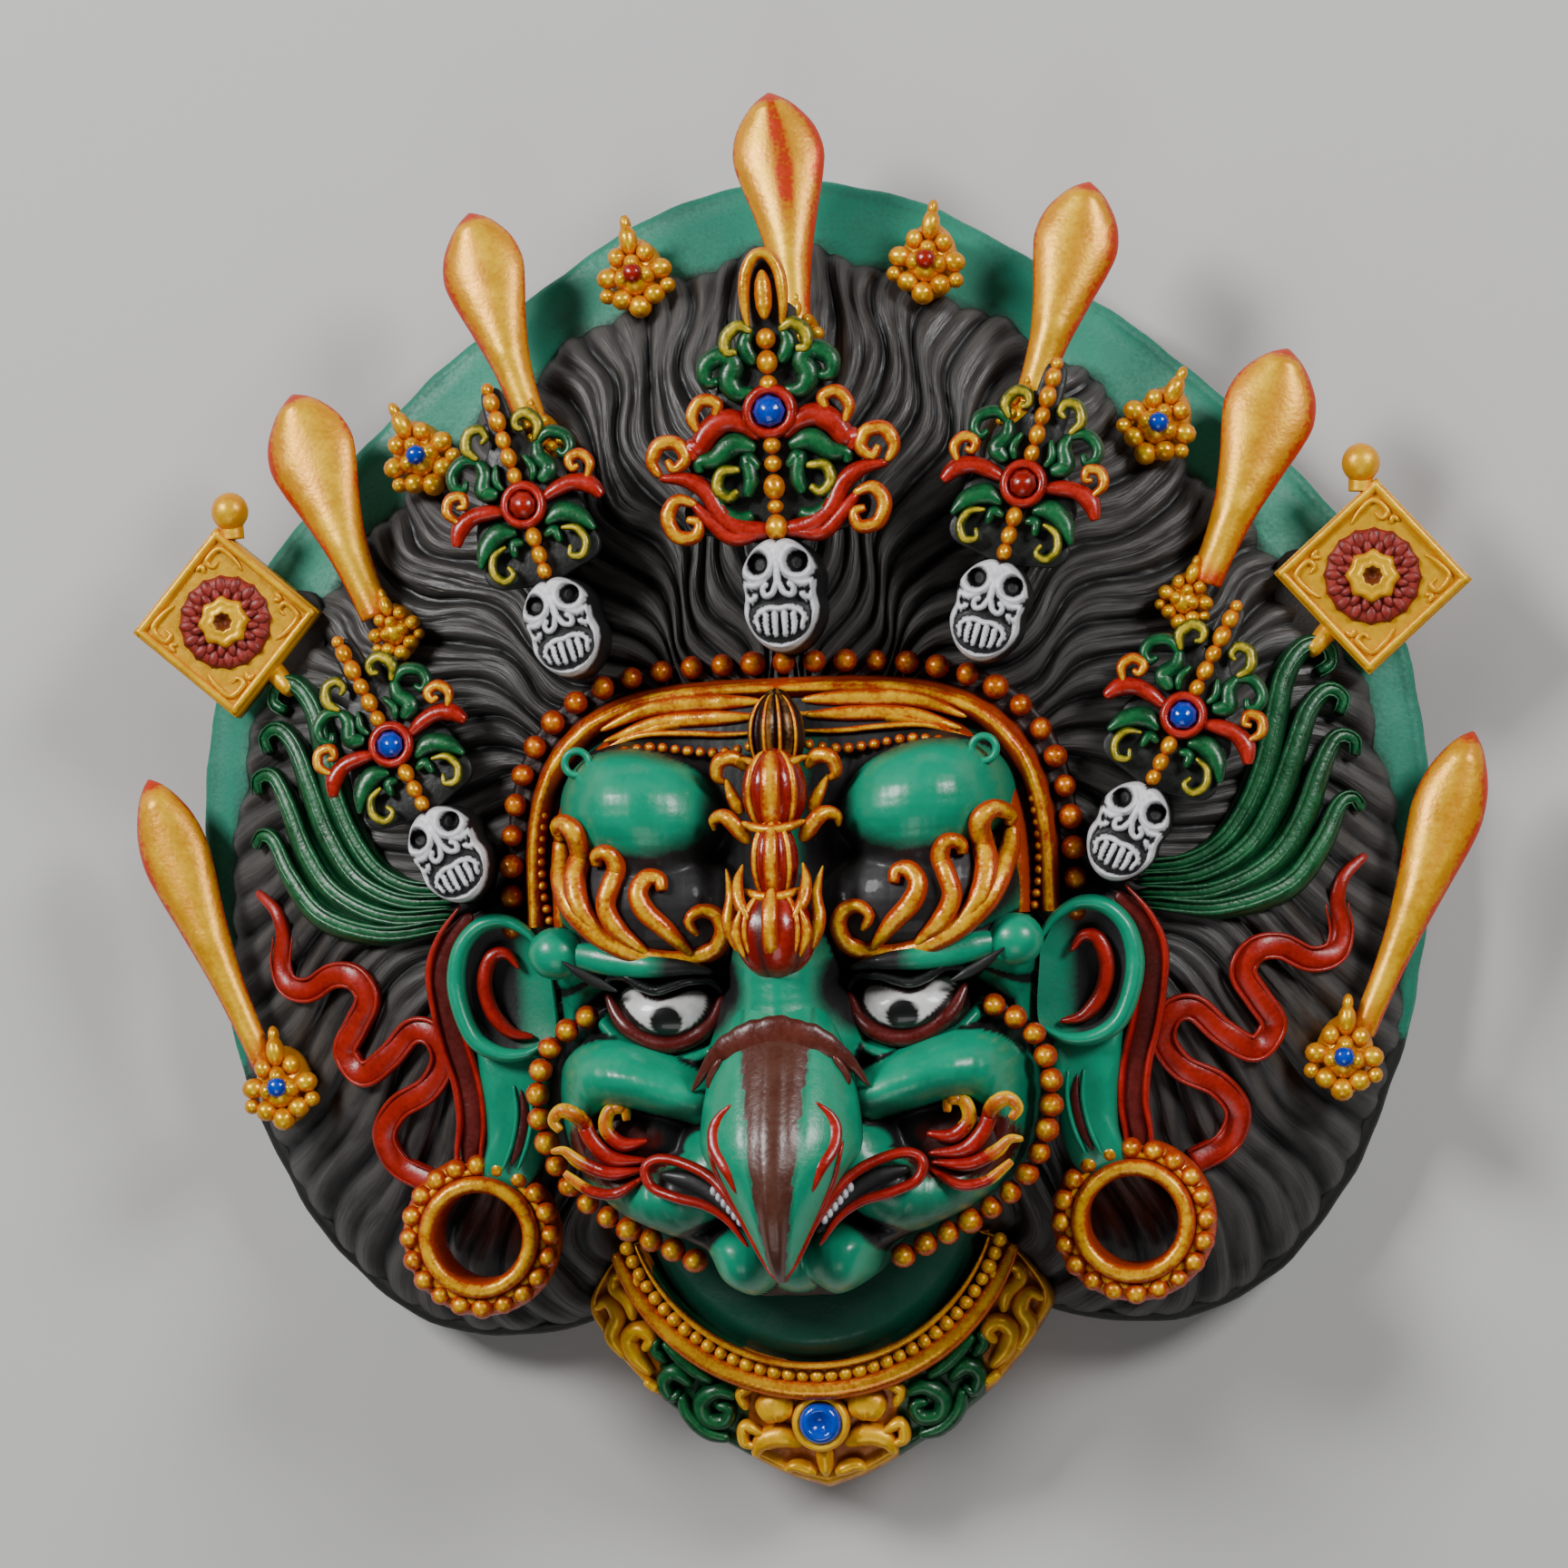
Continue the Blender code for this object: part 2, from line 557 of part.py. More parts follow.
def disc(radius, bottom, top, sides=24):
    turn = np.linspace(0, 2 * math.pi, sides, endpoint=False)
    outline = np.stack([np.cos(turn), np.sin(turn)], axis=1) * radius
    return slab(outline, (0, 0), lambda x, y: top + 0 * x, rings=2, floor=bottom)


def box(half_x, half_y, bottom, top):
    corners = ((half_x, half_y), (-half_x, half_y), (-half_x, -half_y), (half_x, -half_y))
    return slab(corners, (0, 0), lambda x, y: top + 0 * x, rings=2, floor=bottom)


def banner():
    """A square plate with a raised frame and a round flower, on a short pole and a post."""
    half = BANNER_SIDE / 2
    corners = np.array(((1, 1), (-1, 1), (-1, -1), (1, -1)))
    carry = local_frame(BANNER_CENTRE, math.radians(BANNER_TURN), BANNER_Z)
    parts = [
        box(half - BANNER_FRAME / 2, half - BANNER_FRAME / 2, -BANNER_THICKNESS, 0),
        hoop(corners * (half - BANNER_FRAME), corners * half, -BANNER_THICKNESS - 0.4, FRAME_RISE),
        disc(ROSETTE_RADIUS, -1, ROSETTE_RISE, 14),
        disc(ROSETTE_HUB_RADIUS, 0.5, ROSETTE_RISE + 1.2, 10),
    ]
    knob = ball((*KNOB_PLACE, BANNER_Z), (KNOB_RADIUS,) * 3, segments=8, rings=5)
    corner = (BANNER_CENTRE[0] - 0.6, BANNER_CENTRE[1] + half)
    neck = tube(np.linspace((*corner, BANNER_Z - 2), (*KNOB_PLACE, BANNER_Z), 2), 1.8, 1.8, sides=6)
    pole = tube(np.linspace((*BANNER_CENTRE, BANNER_Z - 2.5), (*POLE_FOOT, BANNER_Z), 2), 2.0, 2.4, sides=6)
    post = box(6, 6, 0, BANNER_Z - 2)
    post = (post[0] + (BANNER_CENTRE[0] - 8, BANNER_CENTRE[1] - 2, 0), post[1])
    return [carry(p) for p in parts] + [knob, neck, pole, post]


def plumes_and_ribbons():
    shapes = []
    for strand in PLUMES:
        width = PLUME_HALF_WIDTH * tapered(30, 0.6, 0.35)
        shapes.append(tube(lifted(strand, 30, lambda x, y: dome(x, y) + 3.0), width, 3.2))
    ribbon = lifted(RIBBON, 76, lambda x, y: dome(x, y) + 2.6)
    shapes.append(tube(ribbon, RIBBON_HALF_WIDTH * tapered(76, 0.5, 1), 2.6, sides=6))
    return shapes


def skull_height(x, y):
    """A skull in its own axes: a broad brow with two sockets, a nose hole and a toothed jaw."""
    side = np.abs(x)
    z = soft_max(bump(side, y, 0, 3.4, 7, 6.4, 3, 5), bump(side, y, 0, -4.2, 5.4, 6.6, 2, 4), 0.6)
    z = z - dent(side, y, 3.0, 3.6, 1.7, 1.9, 2.8) - dent(side, y, 0, -0.4, 0.9, 1.3, 1.4)
    return z - dent(side, y, 0, -5.4, 4, 0.6, 0.9)


def bevelled(outline, centre, z, depth):
    """A flat plate over an outline, with its top edge cut back."""
    outline = np.asarray(outline, float)
    inward = np.asarray(centre, float) - outline
    inner = outline + inward * (CREST_BEVEL / np.linalg.norm(inward, axis=1))[:, None]
    count = len(outline)
    levels = ((outline, z - depth), (outline, z - CREST_BEVEL), (inner, z))
    rows = [np.column_stack([flat, np.full(count, level)]) for flat, level in levels]
    faces = grid_faces(3, count, True)
    faces.append(tuple(range(count - 1, -1, -1)))
    faces += [(2 * count + k, 2 * count + (k + 1) % count, 3 * count) for k in range(count)]
    return np.vstack([*rows, [(*centre, z)]]), faces


def crest_frame(foot, top, foot_z, top_z, scale):
    """A function that carries points from a crest's own axes onto the mask."""
    rise = np.array(top, float) - foot
    length = np.hypot(*rise)
    carry = local_frame(foot, math.atan2(-rise[0], rise[1]), foot_z)

    def place(shape):
        points, faces = shape
        scaled = points * (scale, length / CREST_LENGTH, 1)
        leaning = scaled + np.column_stack([0 * scaled[:, :2], scaled[:, 1] * (top_z - foot_z) / length])
        return carry((leaning, faces))

    return place


def leaf_crest(*where):
    """One crest: a scalloped leaf on a rib, with a beaded stem and a ringed stone."""
    place = crest_frame(*where)
    right = np.array(CREST_LEAF)
    outline = np.vstack([right, right[:-1][::-1] * (-1, 1)])
    leaf = bevelled(outline, (0, 14), 0, CREST_THICKNESS)
    spine = ((3, 0), (3.4, 36), (-3.4, 36), (-3, 0))
    rib = slab(spine, (0, 18), lambda x, y: -1 + 0 * x, 2, floor=-CREST_FOOT)
    between = np.array([(a, (a + b) / 2) for a, b in zip(CREST_STEM[:-1], CREST_STEM[1:])]).ravel()
    along = np.append(between, CREST_STEM[-1])
    swell = np.where(np.arange(len(along)) % 2, 0.55, 1.0) * CREST_STEM_RADIUS
    stem = tube(np.column_stack([0 * along, along, 0 * along + 0.3]), swell, swell + 0.5, sides=6)
    stone = disc(CREST_GEM_RADIUS, -2, 2.4, 12)
    stone = (stone[0] + (0, 18.8, 0), stone[1])
    return [place(part) for part in (leaf, rib, stem, stone)]


def skull(*where):
    """The skull at a crest's foot, as a small relief."""
    place = crest_frame(*where)
    turn = np.linspace(0, 2 * math.pi, 40, endpoint=False)
    wide, tall = SKULL_SIZE
    outline = np.stack([np.cos(turn) * wide * (1 + 0.1 * np.sin(turn)), np.sin(turn) * tall], axis=1)
    points, faces = slab(outline, (0, 0), skull_height, rings=14, floor=-14)
    widen = SKULL_SHARE / where[-1] if where[-1] < SKULL_SHARE else 1
    return place((points * (widen, 1, 1) + (0, -SKULL_DROP, 1), faces))


def crests():
    shapes = leaf_crest(*CRESTS["middle"])
    return shapes + both(leaf_crest(*CRESTS["inner"]) + leaf_crest(*CRESTS["outer"]))


def skulls():
    return [skull(*CRESTS["middle"]), *both([skull(*CRESTS["inner"]), skull(*CRESTS["outer"])])]


def cluster(centre, direction, z, size):
    """A small gold flower of drops around a boss."""
    turn = math.atan2(-direction[0], direction[1])
    petals = [ball((x * size, y * size, 0), (a * size, b * size, 2.4), segments=8, rings=5)
              for x, y, a, b in PETALS]
    petals.append(ball((0, 0, 1.6), (1.7 * size, 1.7 * size, 2.0), segments=8, rings=5))
    petals.append(ball((0, 0, -6), (3 * size, 4 * size, 8), segments=8, rings=5))
    carry = local_frame(centre, turn, z)
    return [carry(p) for p in petals]


def flower_clusters():
    shapes = []
    for row in CLUSTERS:
        shapes += cluster(*row)
    return both(shapes) + cluster((3.6, 70.5), (0, 1), 31, 0.7)


def collar_height(x, y):
    """Highest along the neck and falling to the point."""
    out = np.hypot(x, y - COLLAR_CENTRE_Y) - COLLAR_INNER_RADIUS
    return COLLAR_Z - COLLAR_DROP * np.clip(out / 22, 0, 1)


def collar():
    shield = mirrored_outline(((0, -70),) + COLLAR_OUTLINE, 60)
    shapes = [slab(shield, (0, -88), collar_height, rings=10)]
    turn = np.radians(np.linspace(205, 335, 40))
    arc = np.stack([np.cos(turn), np.sin(turn)], axis=1)
    band = arc * COLLAR_BAND_RADIUS + (0, COLLAR_CENTRE_Y)
    shapes.append(tube(np.column_stack([band, collar_height(*band.T) + 1]), 1.7, 2.2))
    beads = arc * (COLLAR_INNER_RADIUS + 1) + (0, COLLAR_CENTRE_Y)
    shapes.append(tube(np.column_stack([beads, collar_height(*beads.T) + 0.8]), 1.1, 1.5))
    gem_z = collar_height(*COLLAR_GEM)
    shapes.append(ball((*COLLAR_GEM, gem_z), (3.4, 3.4, 3.4)))
    lumps = [ball((x, y, collar_height(x, y)), (a, b, 2.2)) for x, y, a, b in COLLAR_LUMPS]
    return shapes + both(lumps)


def neck():
    turn = np.linspace(0, 2 * math.pi, 48, endpoint=False)
    outline = np.stack([np.cos(turn), np.sin(turn)], axis=1) * NECK_RADIUS + (0, COLLAR_CENTRE_Y)
    return [slab(outline, (0, COLLAR_CENTRE_Y), lambda x, y: 21.5 + 5 * np.exp(-((x / 20) ** 2)), rings=8)]


def mesh_object(name, shapes):
    """One Blender object from a list of closed shapes, in metres."""
    mesh = bmesh.new()
    for points, faces in shapes:
        placed = (np.asarray(points) - (0, MIDDLE_Y, 0)) * MM
        corners = [mesh.verts.new(p) for p in placed.tolist()]
        for face_corners in faces:
            mesh.faces.new([corners[k] for k in face_corners])
    bmesh.ops.recalc_face_normals(mesh, faces=mesh.faces[:])
    data = bpy.data.meshes.new(name)
    mesh.to_mesh(data)
    mesh.free()
    made = bpy.data.objects.new(name, data)
    bpy.context.scene.collection.objects.link(made)
    return made


def cutter(name, shapes):
    made = mesh_object(name, shapes)
    made.hide_render = True
    made.display_type = "WIRE"
    return made


def hollow_height(x, y):
    """The hollow keeps one wall under the hair shell, and rises under the face."""
    shell = dome(x, y) - WALL
    under_face = bump(np.abs(x), y, HEAD_BUMP[0], HEAD_BUMP[1], HEAD_BUMP[2] - 9, HEAD_BUMP[3] - 16, 35, 14)
    return soft_max(shell, under_face, 2)


def hollow_outline():
    angle = np.radians(np.linspace(0, 360, 40, endpoint=False))
    degrees = np.degrees(np.arctan2(np.sin(angle), np.cos(angle)))
    share = LAND_SHARE - 0.12 * np.clip((np.abs(degrees) - 140) / 30, 0, 1)
    radius = outline_radius(degrees) * share
    return np.stack([-np.sin(angle) * radius, np.cos(angle) * radius], axis=1)


def combine(casting, tool, operation):
    step = casting.modifiers.new(operation.title() + " " + tool.name, "BOOLEAN")
    step.operation = operation
    step.object = tool
    step.solver = "EXACT"
    step.use_self = operation == "UNION"


def painted(colour):
    material = bpy.data.materials.new("Painted resin")
    material.use_nodes = True
    shader = material.node_tree.nodes["Principled BSDF"]
    shader.inputs["Base Color"].default_value = colour
    shader.inputs["Roughness"].default_value = 0.45
    shader.inputs["Metallic"].default_value = 0.0
    return material


def thin(target, triangles):
    """Collapse the faces that matter least until about this many triangles are left."""
    whole = target.evaluated_get(bpy.context.evaluated_depsgraph_get()).to_mesh()
    before = sum(len(p.vertices) - 2 for p in whole.polygons)
    step = target.modifiers.new("Thin", "DECIMATE")
    step.ratio = min(1.0, triangles / before)
    return step


def doubled_edges(mesh):
    """The ends of each edge that doesn't part exactly two faces."""
    return [{v.index for v in e.verts} for e in mesh.edges if len(e.link_faces) != 2]


def drop_pockets(mesh):
    """Fill the small sealed pockets left between shapes that lean on each other."""
    left = set(mesh.verts)
    shells = []
    while left:
        shell = {left.pop()}
        reached = set(shell)
        while reached:
            reached = {e.other_vert(v) for v in reached for e in v.link_edges} & left
            left -= reached
            shell |= reached
        shells.append(shell)
    body = max(shells, key=len)
    bmesh.ops.delete(mesh, geom=[v for v in mesh.verts if v not in body], context="VERTS")


def in_triangles(name, target):
    """The finished surface as one plain object of triangles, closed as the real casting is.

    Where a long face's diagonal would lie along an edge that is there already, the face is cut
    from its middle instead.
    """
    mesh = bmesh.new()
    mesh.from_mesh(bpy.data.meshes.new_from_object(
        target.evaluated_get(bpy.context.evaluated_depsgraph_get())))
    bmesh.ops.remove_doubles(mesh, verts=mesh.verts[:], dist=WELD * MM)
    drop_pockets(mesh)
    for _ in range(CUT_PASSES):
        mesh.verts.index_update()
        trial = mesh.copy()
        bmesh.ops.triangulate(trial, faces=trial.faces[:])
        doubled = doubled_edges(trial)
        trial.free()
        long_faces = [f for f in mesh.faces if len(f.verts) > 3]
        crossed = [f for f in long_faces if any(ends <= {v.index for v in f.verts} for ends in doubled)]
        if not crossed:
            break
        bmesh.ops.poke(mesh, faces=crossed)
    bmesh.ops.triangulate(mesh, faces=mesh.faces[:])
    data = bpy.data.meshes.new(name)
    mesh.to_mesh(data)
    mesh.free()
    made = bpy.data.objects.new(name, data)
    bpy.context.scene.collection.objects.link(made)
    bpy.data.objects.remove(target)
    return made


def mask():
    """The hair shell with the carving fused onto it, then cut flat and hollow from behind."""
    shapes = head() + crest_and_brows() + diadem() + ears() + ear_tunnels() + jaw_string()
    shapes += both(plumes_and_ribbons()) + skulls() + flower_clusters() + neck() + collar()
    carving = cutter("carving", shapes)
    fuse = carving.modifiers.new("Fuse", "REMESH")
    fuse.mode = "VOXEL"
    fuse.voxel_size = VOXEL * MM
    thin(carving, CARVING_TRIANGLES)

    front = mesh_object("front", hair_shell())
    combine(front, carving, "UNION")
    combine(front, cutter("ornaments", crests() + blades() + both(banner())), "UNION")
    casting = in_triangles("casting", front)
    thin(casting, FRONT_TRIANGLES)

    behind = 30
    reach = 2 * max(OUTLINE_RADII)
    combine(casting, cutter("back_cut", [box(reach, reach, -behind, 0)]), "DIFFERENCE")
    hollow = slab(hollow_outline(), (0, -12), hollow_height, rings=6, floor=FLOOR - 2)
    combine(casting, cutter("hollow", [hollow]), "DIFFERENCE")
    points, faces = disc(HANGER_RADIUS, FLOOR - 2, HANGER_DEPTH)
    combine(casting, cutter("hanger_hole", [(points + (0, HANGER_Y, 0), faces)]), "DIFFERENCE")
    finished = in_triangles("mask", casting)
    finished.data.materials.append(painted(BODY_COLOUR))
    return finished


def main():
    for old in list(bpy.data.objects):
        bpy.data.objects.remove(old)
    mask()


main()
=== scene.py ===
# %% [markdown]
# # A painted wall mask
#
# The real thing is one resin casting: a beaked guardian's face under a beaded diadem, with leaf
# crests on skulls, a fan of wavy black hair on a green rim, blades, banners and a pointed
# collar. It was painted by hand, with black washed into the hollows and gold laid over red.
#
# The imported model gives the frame: the mask lies on its back, +Z comes out of the face and +Y
# runs up to the crown. Each part of the relief is modelled here again as its own finer
# surface, in millimetres from the middle of the hair, and stands for the one cast node.

import math

import bpy
import numpy as np
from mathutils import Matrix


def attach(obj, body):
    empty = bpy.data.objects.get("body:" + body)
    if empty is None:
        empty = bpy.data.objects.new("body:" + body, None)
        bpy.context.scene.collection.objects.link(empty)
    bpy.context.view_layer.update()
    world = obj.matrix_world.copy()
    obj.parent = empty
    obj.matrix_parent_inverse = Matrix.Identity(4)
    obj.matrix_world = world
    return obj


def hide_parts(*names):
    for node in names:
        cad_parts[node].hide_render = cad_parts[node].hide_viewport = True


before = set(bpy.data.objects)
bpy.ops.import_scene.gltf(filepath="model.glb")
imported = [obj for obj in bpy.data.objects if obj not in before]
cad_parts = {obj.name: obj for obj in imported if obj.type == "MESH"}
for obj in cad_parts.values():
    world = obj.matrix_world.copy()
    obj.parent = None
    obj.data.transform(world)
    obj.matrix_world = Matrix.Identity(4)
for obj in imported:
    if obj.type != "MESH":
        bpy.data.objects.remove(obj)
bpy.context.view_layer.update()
MM = 0.001
HAIR_MIDDLE = np.array([0.0, 1.8, 0.0])

# %% [markdown]
# ## Sheets of points
#
# Everything on the mask is a curved surface, so every shape here is a sheet: a grid of points
# worked out at once with numpy. A sheet may be closed round, like a tube, and then its two ends
# are capped. With the points go marks, numbers between 0 and 1 that the paint reads: "crown"
# is high on ridges and tops, where the lighter ridge colour is rubbed paint and a painted
# highlight; the wash mark is high where black wash would settle and where painted shade falls in
# hollows and under things; and "tint" picks a second colour. A mesh built this way keeps its
# marks as attributes, so no image is needed.

# %% Sheets and pieces
# crown brings a painted highlight as well as rubbed paint; the wash mark brings painted shade as well as
# black wash.
MARKS = ("crown", "wash", "tint")


def sheet(points, closed=False, looped=False, **marks):
    """A stack of grids (shapes, rows, columns, 3) in mm, with a mark for every point.

    A closed sheet's columns wrap round; a looped one's rows do too, as on a ring.
    """
    points = np.asarray(points, float)
    points = points.reshape((-1,) + points.shape[-3:])
    shape = points.shape[:3]
    kept = {name: np.broadcast_to(marks.get(name, 0.0), shape).astype(float) for name in MARKS}
    return {"points": points, "closed": closed, "looped": looped, "marks": kept}


def both_sides(*sheets):
    """Each sheet and its mirror image in x."""
    flipped = [{**s, "points": s["points"] * (-1, 1, 1)} for s in sheets]
    return list(sheets) + flipped


def corners_of(rows, columns, closed, looped):
    """Corner numbers of the quads between neighbouring rows and columns, wrapped where asked."""
    across = np.arange(columns if closed else columns - 1)
    down = np.arange(rows if looped else rows - 1)
    r, c = np.meshgrid(down, across, indexing="ij")
    right = (c + 1) % columns
    below = (r + 1) % rows
    quads = [r * columns + c, r * columns + right, below * columns + right, below * columns + c]
    return np.stack(quads, axis=-1).reshape(-1, 4)


def faces_of(one):
    """Corner lists and lengths for a stack of grids, turned so that every face looks outwards.

    A closed shape's faces are reversed if its volume, summed from the faces, is negative. An open
    one's are reversed if it looks down.
    """
    points = one["points"]
    count, rows, columns = points.shape[:3]
    quads = corners_of(rows, columns, one["closed"], one["looped"])
    flat = points.reshape(count, -1, 3)
    a, b, c, d = (flat[:, quads[:, k]] for k in range(4))
    areas = np.cross(c - a, d - b)
    facing = areas[..., 2].sum(1)
    caps = np.empty((0, columns), int)
    if one["closed"]:
        centre = flat.mean(1, keepdims=True)
        facing = (((a + b + c + d) / 4 - centre) * areas).sum((1, 2))
    if one["closed"] and not one["looped"]:
        first = np.arange(columns)[::-1]
        caps = np.stack([first, (rows - 1) * columns + np.arange(columns)])
    start = np.arange(count)[:, None, None] * (rows * columns)
    outward = (facing >= 0)[:, None, None]
    quads = np.where(outward, quads, quads[:, ::-1]) + start
    caps = np.where(outward, caps, caps[:, ::-1]) + start
    corners = np.concatenate([quads.ravel(), caps.ravel()])
    lengths = np.concatenate([np.full(quads.size // 4, 4), np.full(caps.size // columns, columns)])
    return corners, lengths


def piece(name, sheets, material):
    """One smooth-shaded object made of sheets, which stands for the cast node."""
    points, corners, lengths, start = [], [], [], 0
    for one in sheets:
        c, n = faces_of(one)
        corners.append(c + start)
        lengths.append(n)
        flat = one["points"].reshape(-1, 3)
        points.append(flat)
        start += len(flat)
    points = (np.vstack(points) + HAIR_MIDDLE) * MM
    corners = np.concatenate(corners)
    lengths = np.concatenate(lengths)
    mesh = bpy.data.meshes.new(name)
    mesh.vertices.add(len(points))
    mesh.vertices.foreach_set("co", points.ravel())
    mesh.loops.add(len(corners))
    mesh.loops.foreach_set("vertex_index", corners.astype(np.int32))
    mesh.polygons.add(len(lengths))
    mesh.polygons.foreach_set("loop_start", (np.cumsum(lengths) - lengths).astype(np.int32))
    mesh.update(calc_edges=True)
    mesh.shade_smooth()
    for mark in MARKS:
        values = np.concatenate([one["marks"][mark].ravel() for one in sheets])
        mesh.attributes.new(mark, "FLOAT", "POINT").data.foreach_set("value", values.astype(np.float32))
    made = bpy.data.objects.new(name, mesh)
    bpy.context.scene.collection.objects.link(made)
    mesh.materials.append(material)
    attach(made, "root")
    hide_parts("mask")
    print(f"{name}: {int((lengths - 2).sum())} triangles")
    return made


# %% [markdown]
# ## Strokes, balls and turned shapes
#
# A modeller lays clay down as rolled strokes, pressed balls and turned discs. A stroke is an
# oval carried along a curve, with a width and a height that change on the way. The curve goes
# smoothly through a few given points, which is all that a scroll or a ribbon needs. Balls are
# stacked in one array, so a row of beads is one line of code.

# %% Curves
def smooth_path(points, count):
    """A Catmull-Rom curve: between b and c it leaves along c - a and arrives along d - b."""
    p = np.asarray(points, float)
    p = np.vstack([2 * p[0] - p[1], p, 2 * p[-1] - p[-2]])
    t = np.linspace(0, 1, 16, endpoint=False)[:, None, None]
    a, b, c, d = p[:-3], p[1:-2], p[2:-1], p[3:]
    square, cube = 2 * a - 5 * b + 4 * c - d, 3 * b - a - 3 * c + d
    curve = 0.5 * (2 * b + (c - a) * t + square * t**2 + cube * t**3)
    curve = np.vstack([curve.transpose(1, 0, 2).reshape(-1, p.shape[1]), p[-2]])
    return evenly(curve, count)


def evenly(curve, count):
    """The same curve as that many points, spaced evenly along its length."""
    along = np.concatenate([[0], np.cumsum(np.linalg.norm(np.diff(curve, axis=0), axis=1))])
    wanted = np.linspace(0, along[-1], count)
    return np.stack([np.interp(wanted, along, curve[:, k]) for k in range(curve.shape[1])], axis=1)


def profile(x, knots):
    """A smooth value at x from (x, value) knots."""
    curve = smooth_path(knots, 400)
    return np.interp(x, curve[:, 0], curve[:, 1])


def step_up(x, low, high):
    """0 below low, 1 above high, and an S between: 3t^2 - 2t^3."""
    t = np.clip((x - low) / (high - low), 0, 1)
    return t * t * (3 - 2 * t)


def bell(x, at, width):
    """1 at one place and falling away on both sides: e^-((x - at) / width)^2."""
    return np.exp(-(((x - at) / width) ** 2))


def full_turn(count):
    """That many angles evenly round a circle, in radians."""
    return np.linspace(0, 2 * math.pi, count, endpoint=False)


def wobble(*coordinates, seed=0.0):
    """A gentle, repeatable unevenness between -1 and 1: three sines that don't line up."""
    total = 0.0
    for k, value in enumerate(coordinates):
        total = total + np.sin(value * 1.7 + seed * 3.1 + k) * np.cos(value * 0.63 + seed * 5.3 - k)
    return total / len(coordinates)


# %% Strokes
def spread(values, count):
    """A number or a short list as that many values, evenly spaced along a stroke."""
    values = np.atleast_1d(np.asarray(values, float))
    return np.interp(np.linspace(0, 1, count), np.linspace(0, 1, len(values)), values)


def taper(count, start=0.2, end=0.2, share=0.25):
    """Full size along the middle of a stroke, rounding down to these shares at its two ends."""
    t = np.linspace(0, 1, count)
    rise = start + (1 - start) * np.sqrt(np.clip(t / share, 0, 1))
    fall = end + (1 - end) * np.sqrt(np.clip((1 - t) / share, 0, 1))
    return np.minimum(rise, fall)


def stroke(path, half_width, half_height, z=0.0, count=60, around=12, ends=(0.2, 0.2), tint=0.0,
           flat=1.0):
    """An oval carried along a curve that lies on the mask.

    The section is (w cos a, h sin a) with the sine raised to flat, across the curve and up.
    z is a number, a list of heights or a function of x and y.
    """
    line = smooth_path(path, count)
    if line.shape[1] == 2:
        height = z(line[:, 0], line[:, 1]) if callable(z) else spread(z, count)
        line = np.column_stack([line, height])
    ahead = np.gradient(line, axis=0)
    ahead /= np.linalg.norm(ahead, axis=1, keepdims=True) + 1e-9
    side = np.cross(ahead, (0, 0, 1))
    side /= np.linalg.norm(side, axis=1, keepdims=True) + 1e-9
    up = np.cross(side, ahead)
    full = taper(count, *ends)
    turn = full_turn(around)
    bulge = np.sign(np.sin(turn)) * np.abs(np.sin(turn)) ** flat
    wide = (spread(half_width, count) * full)[:, None, None]
    high = (spread(half_height, count) * full)[:, None, None]
    across = side[:, None] * wide * np.cos(turn)[:, None]
    points = line[:, None] + across + up[:, None] * high * bulge[:, None]
    # crown is the upper half of the section, highest on top: the ridge colour there is rubbed paint and
    # a painted highlight.
    crown = np.clip(np.sin(turn), 0, 1)[None, :] * np.ones((count, 1))
    return sheet(points, True, crown=crown, tint=spread(tint, count)[:, None])


# %% Balls and turned shapes
def balls(centres, radii, rows=10, columns=16, tint=0.0):
    """An ellipsoid at each centre, its poles along z, with a tiny flat cap at either pole."""
    centres = np.atleast_2d(np.asarray(centres, float))
    radii = np.broadcast_to(np.asarray(radii, float), centres.shape)
    rise = np.linspace(-1.5, 1.5, rows)[:, None]
    turn = full_turn(columns)[None, :]
    unit = np.stack([np.cos(rise) * np.cos(turn), np.cos(rise) * np.sin(turn), np.sin(rise) + 0 * turn],
                    axis=-1)
    points = centres[:, None, None] + unit * radii[:, None, None]
    tints = np.broadcast_to(tint, len(centres))[:, None, None]
    # crown rises to the top of each ball: the ridge colour there is rubbed paint and a painted
    # highlight.
    return sheet(points, True, crown=np.clip(unit[..., 2], 0, 1), tint=tints)


def turned(centre, knots, columns=40, scallops=0, depth=0.0, rows=None):
    """A profile of (radius, height) knots spun round z at a centre; scallops wave its radius."""
    knots = np.asarray(knots, float)
    line = smooth_path(knots, rows) if rows else knots
    turn = full_turn(columns)
    radius = np.maximum(line[:, :1], 0.02) * (1 + depth * np.cos(scallops * turn)[None, :])
    rise = np.broadcast_to(line[:, 1:], radius.shape)
    points = np.stack([centre[0] + radius * np.cos(turn), centre[1] + radius * np.sin(turn),
                       centre[2] + rise], axis=-1)
    # crown rises with height: the ridge colour on top is rubbed paint and a painted highlight.
    low, high = line[:, 1].min(), line[:, 1].max()
    return sheet(points, True, crown=(rise - low) / (high - low + 1e-9))


def hoop(centre, radius, half_width, half_height, around=60, section=12):
    """A ring: an oval (w cos b, h sin b) spun round z, looped both ways."""
    a = full_turn(around)[:, None]
    b = full_turn(section)[None, :]
    r = radius + half_width * np.cos(b)
    points = [centre[0] + r * np.cos(a), centre[1] + r * np.sin(a),
              centre[2] + half_height * np.sin(b) + 0 * a]
    # crown is the top of the ring: rubbed paint and a painted highlight.
    return sheet(np.stack(points, axis=-1), True, True, crown=np.clip(np.sin(b), 0, 1) + 0 * a)


